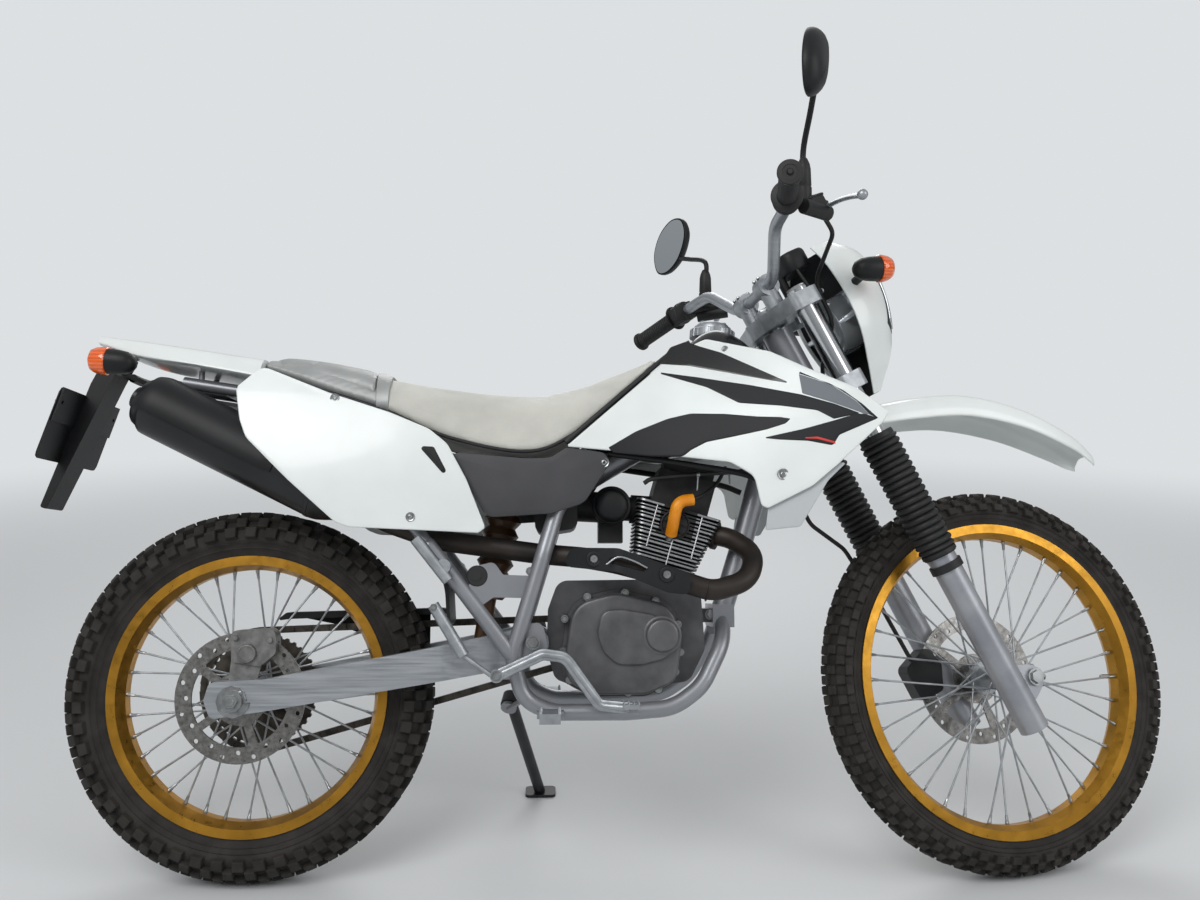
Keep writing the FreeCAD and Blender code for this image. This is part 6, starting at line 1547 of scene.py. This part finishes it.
class BuildControls(bpy.types.Operator):
    """Grips, throttle and switch housings, perches, levers and mirrors"""
    bl_idname = "motorcycle.build_controls"
    bl_label = "Hand controls"

    def execute(self, context):
        rubber, metal, levers, boots, glasses, heads, stems = [], [], [], [], [], [], []
        for s in (1, -1):
            end, line = bar_frame(s)
            along = np.linspace(4, 118, 115)
            rib = 15.6 + 0.9 * (np.cos(along * 2 * math.pi / 6.0) > 0)
            rows = [(0, 0), (22, 0), (26, 1), (26.5, 3), (24, 4.4), (17, 5.4), *zip(rib[4:], along[4:]),
                    (19, 119.5), (20, 121), (20, 125), (18.8, 126.5), (12, 127), (12, 126), (5.5, 126),
                    (5, 128.5), (3.5, 130), (0, 130)]
            rubber.append(lathe(rows, end - line * 118, line, 48))
            housing = ((0, 0), (17, 0), (21, 2), (22.5, 8), (22.5, 14), (23.5, 15), (23.5, 19),
                       (22.5, 20), (22.5, 32), (21, 35.5), (16, 36.6), (0, 36.6))
            rubber.append(lathe(housing, end - line * 155, line, 40))
            perch = curve_tube(((-14, s * 258, 906), (8, s * 252, 900), (36, s * 246, 889),
                                (60, s * 241, 880)), 10, 24, 20)
            rubber.append(perch)
            rubber.append(peg((-26, s * 262, 900), (-26, s * 262, 914), 6, 16))
            blade = np.array(((50, s * 236, 879), (58, s * 252, 876), (54, s * 290, 868),
                              (44, s * 334, 856), (30, s * 379, 841)), float)
            path = even(smooth(blade, 90), 46)
            angle = np.linspace(0, 2 * math.pi, 16, endpoint=False)
            oval = np.stack((4.2 * np.cos(angle), 7.0 * np.sin(angle)), 1)
            levers.append(strip_tube(path, oval))
            ball = np.radians(np.linspace(-90, 90, 15))
            rows = [(0, -8.6)] + [(8.6 * math.cos(a), 8.6 * math.sin(a)) for a in ball[1:-1]] + [(0, 8.6)]
            levers.append(lathe(rows, (28, s * 385, 840), (0, s, -0.3), 24))
            metal.append(bolts([(57, s * 242, 890)], UP, 5, 3))
            foot = np.array((26.0, s * 246, 905))
            rise = unit(np.array((0.42, -0.19, 0.89)))
            boots.append(turned(foot - rise * 12, foot + rise * 68, MIRROR_BOOT, 28))
            centre = np.array((80.0, s * 370, 1076))
            facing = np.array((0.96, 0.28, 0.0) if s > 0 else (0.80, -0.60, 0.0))
            facing = unit(facing - (facing @ rise) * rise)
            out = np.cross(rise, facing) * s
            joint = centre + facing * 6 - rise * 26
            stems.append(curve_tube((foot + rise * 40, foot + rise * 84,
                                     (foot + rise * 84 + joint) / 2 + (2, 0, 2), joint), 5, 60, 14))
            leaf = even(smooth(MIRROR_LEAF, 160, True), 90, True)
            place = placing(centre, out, rise, facing)
            heads.append(stack(leaf, MIRROR_BACK, place))
            glasses.append(stack(leaf, ((4.0, -8.4), (4.0, -7.9), (4.4, -7.7), (9, -7.7)), place))
            rubber.append(peg((4, s * 268, 888), (58, s * 240, 866), 13, 20))
        reservoir = rounded_outline(((24, -264, 8), (60, -254, 8), (60, -230, 8), (24, -238, 8)), 60)
        rubber.append(stack(reservoir, RESERVOIR, np.asarray))
        for spot in ((32, -244, 901.4), (54, -248, 901.4)):
            metal.append(lathe(((0, 0), (3, 0), (3, 1.2), (2.2, 1.8), (0, 1.8)), spot, UP, 16))
        end, line = bar_frame(1)
        pod = end - line * 136
        switches = ((1, -20), (0, -18), (0, 14), (2, 17), (6, 18))
        rubber.append(stack(rectangle(-20, 20, -19, 19, 7, 60), switches, placing(pod, AHEAD, line, UP)))
        fork_piece("grips_and_housings", rubber, "black_rubber", ["hand_controls"])
        fork_piece("hand_levers", levers, "cast_alloy")
        fork_piece("control_screws", metal, "zinc_steel")
        fork_piece("mirror_boots", boots, "black_rubber")
        fork_piece("mirror_heads", heads + stems, "black_moulding", ["mirrors"], 45)
        fork_piece("mirror_glasses", glasses, "mirror_glass")
        return {"FINISHED"}


# Clutch cover and its raised crescent in x, z and corner radius, and its bolts in x and z
COVER_OUTLINE = (
    (552, 395, 45), (565, 480, 45), (640, 500, 60), (735, 478, 45), (752, 420, 35), (742, 350, 30),
    (690, 328, 30), (600, 328, 30), (556, 350, 25))
CRESCENT = (
    (606, 430, 30), (614, 470, 20), (650, 472, 40), (700, 464, 40), (742, 444, 20), (749, 414, 20),
    (722, 388, 30), (682, 378, 40), (640, 378, 30), (616, 400, 30))
COVER_BOLTS = (
    (551, 455), (590, 492), (655, 499), (708, 485), (746, 445), (750, 398), (741, 365), (712, 336),
    (660, 330), (606, 330), (560, 352), (549, 400))

# Cylinder in its own axes: count, start and pitch of the fins, those that are whole under the
# plug, the gap that the plug needs in the others, and the cylinder's lean and foot
FINS = 17
FIN_START = 34.0
FIN_PITCH = 6.75
FINS_UNDER_PLUG = 9
PLUG_GAP = (-30, 34)
CYLINDER_LEAN = 16.0
CYLINDER_FOOT = np.array((715.0, 0.0, 506.0))


def on_cylinder(points):
    """Points of the upright cylinder, leaned forward on its foot."""
    tilt = turn_matrix(LEFT, CYLINDER_LEAN)
    return np.asarray(points, float) @ tilt.T + CYLINDER_FOOT


def fin_outline(grow, half=70.0):
    """Outline of a fin that stands out by a growth, seen along the cylinder."""
    return rectangle(-grow, grow, -half, half, 14, 120)


def edge_strip(grow, low, high, gap=None):
    """Bright strip on the edge of a fin, open where the plug's recess interrupts it."""
    flat = fin_outline(grow)
    if gap:
        start = int(np.argmin(np.hypot(flat[:, 0] - gap[1], flat[:, 1] + 70)))
        flat = np.roll(flat, -start, 0)
        end = int(np.argmin(np.hypot(flat[:, 0] - gap[0], flat[:, 1] + 70)))
        flat = flat[:end + 1]
    ahead = np.gradient(flat, axis=0) if gap else np.roll(flat, -1, 0) - np.roll(flat, 1, 0)
    out = unit(np.stack((ahead[:, 1], -ahead[:, 0]), 1))
    rings = [np.concatenate((flat + out * d, np.full((len(flat), 1), z)), 1)
             for d, z in ((-1.0, low), (0.35, low), (0.35, high), (-1.0, high))]
    grid = np.array(rings)
    if gap:
        return loft(on_cylinder(grid.transpose(1, 0, 2)))
    points = on_cylinder(grid.reshape(-1, 3))
    return outward(points, grid_faces(4, len(flat), wrap_rows=True, wrap_columns=True))


# Paths, outlines and turned profiles of radius and height
CLUTCH_HUB = (
    (0, 0), (33, 0), (33, 2), (31.5, 3.2), (28.5, 3.4), (27, 9.5), (25.5, 11), (22, 11.8), (0, 12.2))
GENERATOR_COVER = (
    (0, 0), (67, 0), (67, 6), (64, 8), (64, 38), (62, 42), (58, 44), (43, 44.6), (42, 46), (40, 51),
    (37, 52.4), (0, 52.8))
PLUG_RECESS = ((0, -4), (26, -4), (26, 2), (24, 3), (22, 0.5), (0, 0.5))
PLUG_CAP_PATH = (
    (738, -74, 600), (741, -84, 618), (744, -90, 636), (748, -92, 650), (758, -91, 658), (776, -88, 661))
LEAD_PATH = ((772, -88, 661), (792, -86, 668), (820, -70, 690), (840, -54, 722))
CABLE_PATH = ((690, -86, 690), (709, -90, 698), (789, -90, 706), (851, -90, 710), (884, -88, 716))
CARBURETTOR_CAP = (
    (0, 0), (33, 0), (34.5, 1.5), (34.5, 6), (33, 8), (30, 9), (27, 16), (22, 19), (10, 20.5), (0, 21))


class BuildEngine(bpy.types.Operator):
    """Engine covers with their bolts, bright fin edges, plug cap and carburettor cap"""
    bl_idname = "motorcycle.build_engine"
    bl_label = "Engine"

    def execute(self, context):
        clutch = [plate_stack(COVER_OUTLINE, 56, 111, 6, 0.6), plate_stack(CRESCENT, 108, 119, 4, 0.8)]
        clutch.append(lathe(CLUTCH_HUB, (717, -118, 428), RIGHT, 56))
        flange = ((-7, 62), (-7, 70), (-6, 71), (0, 71))
        clutch.append(stack(rounded_outline(COVER_OUTLINE, 140), flange, side_place()))
        lugs = [peg((x, -60, z), (x, -98, z), 8, 20) for x, z in COVER_BOLTS]
        generator = [lathe(GENERATOR_COVER, (694, 56, 402), LEFT, 64)]
        chassis_piece(
            "clutch_cover", clutch + lugs, "gunmetal_case_paint", ["engine_covers"])
        chassis_piece("generator_cover", generator, "gunmetal_case_paint")
        heads = [bolts([(x, -98, z) for x, z in COVER_BOLTS], RIGHT, 5.2, 4.5)]
        turns = np.radians(range(20, 380, 60))
        ring = [(694 + 58 * math.cos(a), 99.5, 402 + 58 * math.sin(a)) for a in turns]
        heads.append(bolts(ring, LEFT, 4.5, 4))
        heads.append(bolts([(742, -32, 462), (812, -32, 460)], RIGHT, 7.7, 7))
        heads.append(bolts([(498, -127, 417)], RIGHT, 10, 5))
        chassis_piece("engine_bolts", heads, "zinc_steel")
        strips, plates, ribs = [], [], []
        for k in range(FINS):
            low = FIN_START + k * FIN_PITCH
            grow = 56.0 + 1.3 * k
            thin = k % 2
            thick = 3.2 if thin else 4.5
            gap = PLUG_GAP if k >= FINS_UNDER_PLUG else None
            strips.append(edge_strip(grow, low + 0.7, low + thick - 0.7, gap))
            if thin:
                flat = fin_outline(grow, 69.7)
                rings = [np.concatenate((flat, np.full((len(flat), 1), z)), 1) for z in (low, low + thick)]
                plates.append(loft(on_cylinder(np.array(rings))))
        for u, low, high in ((-40, 66, 142), (42, 66, 142), (2, 36, 92)):
            ribs.append(tube(on_cylinder(np.linspace((u, -69.5, low), (u, -69.5, high), 4)), 1.5, 8))
        chassis_piece("fin_edges", strips + ribs, "machined_edge")
        chassis_piece("thin_fins", plates, "black_fin_paint")
        recess = lathe(PLUG_RECESS, (746, -69.5, 618), RIGHT, 40)
        chassis_piece("plug_recess", [recess], "black_fin_paint")
        cap = curve_tube(PLUG_CAP_PATH, 10.5, 40, 24)
        chassis_piece("plug_cap_moulding", [cap], "plug_cap_orange", ["plug_cap"])
        ferrule = peg((734, -68, 592), (739, -78, 606), 7, 20)
        chassis_piece("plug_ferrule", [ferrule], "zinc_steel")
        lead = curve_tube(LEAD_PATH, 3.5, 40, 12)
        cable = curve_tube(CABLE_PATH, 4, 50, 12)
        chassis_piece("plug_lead", [lead, cable], "black_rubber")
        clips = [lathe(((4.2, -3), (5.2, -3), (5.2, 3), (4.2, 3)), (x, -90, z), (1, 0, 0.08), 20)
                 for x, z in ((785, 705.6), (840, 709.3))]
        clips.append(peg((785, -91, 704), (783, -91, 676), 1.6, 10))
        clips.append(peg((840, -91, 708), (841, -90, 688), 1.6, 10))
        chassis_piece("cable_clips", clips, "zinc_steel")
        dome = lathe(CARBURETTOR_CAP, (634, -58, 652), RIGHT, 48)
        chassis_piece("carburettor_cap", [dome], "black_moulding")
        return {"FINISHED"}


# Silencer: rise in degrees and the middle of its front end
SILENCER_RISE = 26.4
SILENCER_FRONT = np.array((196.0, -104.0, 644.0))


def muffler_frame(points):
    """Points of the silencer: u along it from its front, v to the right and w square to both."""
    slope = math.radians(SILENCER_RISE)
    along = (-math.cos(slope), 0.0, math.sin(slope))
    return placing(SILENCER_FRONT, along, RIGHT, (math.sin(slope), 0.0, math.cos(slope)))(points)


# Paths, outlines and turned profiles of radius and height
SILENCER_CAN = (
    (0, 1), (22, 1), (24, 3), (30, 14), (44, 42), (50, 56), (52, 66), (52, 70), (53, 71), (53, 77),
    (52, 78), (52, 388), (51.4, 394), (49, 398), (46.5, 400), (44, 406), (42, 412), (39, 415.5),
    (20, 416.5), (20, 420), (19, 430), (15.5, 430), (15, 416), (0, 415))
SHIELD_WASHER = ((0, 0), (13, 0), (13.5, 1), (12.6, 2.6), (10, 3.2), (7.6, 2.2), (0, 2))
SHIELD_BOLT = ((0, 1), (6.6, 1), (6.6, 5), (5.6, 6.2), (3, 6.2), (2.8, 3.6), (0, 3.6))
SLOT_EDGE_PATH = ((620, -166, 547), (640, -168, 559), (664, -168, 553), (688, -168, 541))


class BuildExhaust(bpy.types.Operator):
    """Silencer with its cover and outlet, and the bolts of the heat shield"""
    bl_idname = "motorcycle.build_exhaust"
    bl_label = "Exhaust"

    def execute(self, context):
        front = muffler_frame(np.zeros(3))
        axis = muffler_frame(np.array((1.0, 0, 0))) - front
        can = lathe(SILENCER_CAN, front, axis, 64)
        hanger = peg((64, -96, 712), (64, -70, 828), 7, 16)
        chassis_piece("silencer", [can, hanger], "silencer_black", ["muffler"])
        turn = np.radians(np.linspace(-12, 118, 34))[None]
        along = np.linspace(150, 404, 50)[:, None]
        taper = 1.0 - 0.10 * np.clip((along - 380) / 24, 0, 1) ** 2
        taper = taper - 0.04 * np.clip((170 - along) / 20, 0, 1)

        def sheet(radius):
            r = radius * taper * np.ones_like(turn)
            return muffler_frame(np.stack((along + 0 * turn, r * np.cos(turn), r * np.sin(turn)), -1))

        cover = shell(sheet(57.0), sheet(54.6))
        chassis_piece("silencer_cover", [cover], "black_moulding", (), 50)
        washers, fixings = [], []
        for x, y, z in ((721, -165, 530), (600, -146, 556)):
            washers.append(lathe(SHIELD_WASHER, (x, y, z), RIGHT, 32))
            fixings.append(lathe(SHIELD_BOLT, (x, y, z), RIGHT, 28))
        chassis_piece("shield_washers", washers, "silencer_black")
        chassis_piece("shield_bolts", fixings, "zinc_steel")
        lip = curve_tube(SLOT_EDGE_PATH, 1.6, 40, 10)
        chassis_piece("shield_slot_edge", [lip], "machined_edge")
        seam = turned(
            (792, -136, 504), (804, -136, 502), ((18.2, -1), (19.4, -0.6), (19.4, 0.6), (18.2, 1)), 32)
        chassis_piece("header_seam", [seam], "header_steel")
        return {"FINISHED"}


# Paths, outlines and turned profiles of radius and height
CALIPER_CAP = ((0, 0), (16, 0), (16, 6), (15, 7.4), (12.6, 7.8), (12, 6.8), (0, 6.8))
FRONT_CALIPER_CAP = ((0, 0), (15, 0), (15, 5), (14, 6.4), (0, 6.8))
PEDAL_PATH = (
    (439, -151, 364, 1), (515, -152, 399, 16), (552, -152, 394, 24), (608, -160, 317, 14),
    (672, -173, 312, 1))
BUSH = ((0, 0), (17, 0), (18, 1.5), (18, 4), (16.5, 5.5), (8, 5.5), (8, 7), (0, 7))


class BuildRunningGear(bpy.types.Operator):
    """Caliper caps, peg teeth, linkage bolts and rubber bushes"""
    bl_idname = "motorcycle.build_running_gear"
    bl_label = "Running gear"

    def execute(self, context):
        cap = lathe(CALIPER_CAP, (14, -91.6, 398), RIGHT, 40)
        pins = bolts([(-6, -91.6, 424), (52, -91.6, 420)], RIGHT, 5.5, 5)
        chassis_piece("rear_caliper_cap", [cap, pins], "caliper_grey")
        front_cap = lathe(FRONT_CALIPER_CAP, (-38, 79, 56), LEFT, 40)
        fork_piece("front_caliper_cap", [front_cap], "caliper_grey")
        teeth = []
        for s in (1, -1):
            for x in (513, 543):
                for y in np.linspace(156, 216, 8):
                    teeth.append(lathe(((0, 0), (3, 0), (1.2, 4), (0, 4.2)), (x, s * y, 309.6), UP, 6))
        chassis_piece("peg_teeth", teeth, "cast_alloy")
        line = rounded(PEDAL_PATH, closed=False)
        pedal = flat_bar(even(line, 60), 9.5, 4.5)
        teeth_at = [(x, -y, 321.4) for x in (648, 656, 664, 672) for y in (160, 170, 180, 188)]
        tooth = lathe(((0, -1), (2.2, -1), (1.2, 2.6), (0, 2.8)), (0, 0, 0), UP, 6)
        tread = copies(tooth, teeth_at, UP)
        chassis_piece("brake_pedal_arm", [pedal, tread], "cast_alloy")
        links = [bolts([(439, -157, 364)], RIGHT, 7.7, 4), bolts([(333, -147, 476)], RIGHT, 5, 4),
                 bolts([(400, -116, 470), (492, -116, 536)], RIGHT, 6, 4)]
        chassis_piece("linkage_bolts", links, "zinc_steel")
        bush = [lathe(BUSH, (402, s * 112, 528), (0, s, 0), 36) for s in (1, -1)]
        chassis_piece("rubber_bushes", bush, "black_rubber")
        return {"FINISHED"}


DRESSES = (
    ("frame_silver_paint", ("frame_front", "frame_backbone", "frame_cradle_right", "frame_cradle_left")),
    ("gunmetal_case_paint", ("crankcase",)),
    ("black_fin_paint", ("cylinder", "cylinder_head")),
    ("black_rubber", ("intake", "brake_hose", "speedometer_cable")),
    ("header_steel", ("exhaust_pipe",)),
    ("silencer_black", ("exhaust_shield", "front_caliper")),
    ("black_moulding", ("inner_fender", "plate_bracket", "chain_guard")),
    ("brushed_alloy", ("swingarm", "handlebar")),
    ("zinc_steel", ("rear_axle", "front_axle")),
    ("spring_paint", ("shock_absorber",)),
    ("oiled_chain_steel", ("chain", "rear_sprocket")),
    ("caliper_grey", ("rear_caliper",)),
    ("cast_alloy", ("foot_controls", "footrests", "fork_clamps", "front_hub", "rear_hub")),
    ("hard_chrome", ("fork_tubes",)),
    ("leg_silver_paint", ("fork_legs",)),
    ("gold_anodised_alloy", ("front_rim", "rear_rim")),
    ("ground_disc_steel", ("front_disc", "rear_disc")),
    ("black_stand_paint", ("side_stand",)),
    ("clear_lens", ("headlamp",)),
)


class FinishFrameParts(bpy.types.Operator):
    """Gives the parts that keep their CAD shape their finishes"""
    bl_idname = "motorcycle.finish_frame_parts"
    bl_label = "Finishes of kept parts"

    def execute(self, context):
        for finish, nodes in DRESSES:
            dress(nodes, finish)
        return {"FINISHED"}


# Stage, in metres: each lamp has a name, a spot, a width and a power in watts


LAMP_AIM = np.array((0.0, 0.0, 0.6))
LAMPS = (("key_lamp", (-1.6, -2.8, 3.4), 2.4, 72.0), ("fill_lamp", (2.8, -2.2, 2.2), 2.2, 30.0),
         ("back_lamp", (0.4, 3.2, 3.0), 2.6, 50.0))
WORLD_STRENGTH = 0.55
HORIZON = "#A2A5A7"
ZENITH = "#F4F6F8"
FLOOR_RADIUS = 40
FLOOR_SIDES = 96


def make_floor():
    """Flat round floor, wide enough to reach the horizon: a fan of triangles round its middle."""
    edge = np.arange(FLOOR_SIDES)
    angle = 2 * math.pi * edge / FLOOR_SIDES
    ring = np.stack((FLOOR_RADIUS * np.cos(angle), FLOOR_RADIUS * np.sin(angle), 0 * angle), 1)
    mesh = bpy.data.meshes.new("floor")
    faces = np.stack((edge, np.roll(edge, -1), np.full(FLOOR_SIDES, FLOOR_SIDES)), 1)
    mesh.from_pydata(np.concatenate((ring, np.zeros((1, 3)))).tolist(), [], faces.tolist())
    mesh.materials.append(floor_finish())
    floor = bpy.data.objects.new("floor", mesh)
    bpy.context.scene.collection.objects.link(floor)
    return floor


def add_lamp(name, spot, size, power):
    """Round soft lamp that looks at the middle of the machine: its -Z points there."""
    data = bpy.data.lights.new(name, "AREA")
    data.shape = "DISK"
    data.size = size
    data.energy = power
    lamp = bpy.data.objects.new(name, data)
    bpy.context.scene.collection.objects.link(lamp)
    spot = np.array(spot, float)
    matrix = np.eye(4)
    matrix[:3, :3] = basis(spot - LAMP_AIM).T
    matrix[:3, 3] = spot
    lamp.matrix_world = matrix.T.tolist()


def add_world():
    """Pale background for the camera and a soft sky with a darker horizon for reflections."""
    world = bpy.data.worlds.new("studio_background")
    bpy.context.scene.world = world
    world.use_nodes = True
    tree = world.node_tree
    tree.nodes.clear()
    path = add_node(tree, "ShaderNodeLightPath")
    seen = add_node(
        tree, "ShaderNodeMath",
        {0: path.outputs["Is Camera Ray"], 1: path.outputs["Is Transmission Ray"]}, operation="MAXIMUM")
    backdrop = add_node(tree, "ShaderNodeBackground", {"Color": linear(BACKGROUND), "Strength": 1.0})
    where = add_node(tree, "ShaderNodeTexCoord").outputs["Generated"]
    height = add_node(tree, "ShaderNodeSeparateXYZ", {"Vector": where}).outputs["Z"]
    sky = add_node(
        tree, "ShaderNodeValToRGB", {"Fac": height}, ((0.0, linear(HORIZON)), (0.5, linear(ZENITH))))
    soft = add_node(tree, "ShaderNodeBackground", {"Color": sky.outputs[0], "Strength": WORLD_STRENGTH})
    mixed = add_node(
        tree, "ShaderNodeMixShader", {0: seen.outputs[0], 1: soft.outputs[0], 2: backdrop.outputs[0]})
    add_node(tree, "ShaderNodeOutputWorld", {"Surface": mixed.outputs[0]})


def add_camera():
    """Camera at the view's spot, turned, tipped down and rolled."""
    turn = turn_matrix(UP, CAMERA_YAW) @ turn_matrix(AHEAD, -CAMERA_DOWN)
    turn = turn @ turn_matrix(LEFT, CAMERA_ROLL)
    data = bpy.data.cameras.new("view_camera")
    data.sensor_width = 36.0
    data.lens = CAMERA_LENS
    data.clip_end = 100.0
    camera = bpy.data.objects.new("view_camera", data)
    bpy.context.scene.collection.objects.link(camera)
    matrix = np.eye(4)
    matrix[:3, :3] = np.stack((turn[:, 0], turn[:, 2], -turn[:, 1]), 1)
    matrix[:3, 3] = np.array(CAMERA_SPOT) * 0.001
    camera.matrix_world = matrix.T.tolist()
    bpy.context.scene.camera = camera


# Add-on


class BuildStage(bpy.types.Operator):
    """Floor, background, lamps and camera"""
    bl_idname = "motorcycle.build_stage"
    bl_label = "Stage"

    def execute(self, context):
        make_floor()
        add_world()
        for row in LAMPS:
            add_lamp(*row)
        context.scene.view_settings.view_transform = "Standard"
        add_camera()
        return {"FINISHED"}


STEPS = (BuildWheels, BuildFork, BuildSideCovers, BuildShrouds, BuildSeat, BuildTank, BuildTail,
         BuildFrontBody, BuildControls, BuildEngine, BuildExhaust, BuildRunningGear, FinishFrameParts,
         BuildStage)


class MotorcyclePanel(bpy.types.Panel):
    """Colours, sizes and steps of the motorcycle"""
    bl_idname = "VIEW3D_PT_motorcycle"
    bl_label = "Dual sport motorcycle"
    bl_space_type = "VIEW_3D"
    bl_region_type = "UI"
    bl_category = "Motorcycle"

    def draw(self, context):
        for group in (context.scene.motorcycle_colours, context.scene.motorcycle_sizes):
            for name in group.__annotations__:
                self.layout.prop(group, name)
        for step in STEPS:
            self.layout.operator(step.bl_idname)


CLASSES = (MotorcycleColours, MotorcycleSizes) + STEPS + (MotorcyclePanel,)


def register():
    for item in CLASSES:
        bpy.utils.register_class(item)
    bpy.types.Scene.motorcycle_colours = bpy.props.PointerProperty(type=MotorcycleColours)
    bpy.types.Scene.motorcycle_sizes = bpy.props.PointerProperty(type=MotorcycleSizes)


def unregister():
    del bpy.types.Scene.motorcycle_sizes
    del bpy.types.Scene.motorcycle_colours
    for item in reversed(CLASSES):
        bpy.utils.unregister_class(item)


def main():
    register()
    for step in STEPS:
        group, name = step.bl_idname.split(".")
        getattr(getattr(bpy.ops, group), name)()
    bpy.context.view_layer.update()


if __name__ == "__main__":
    main()
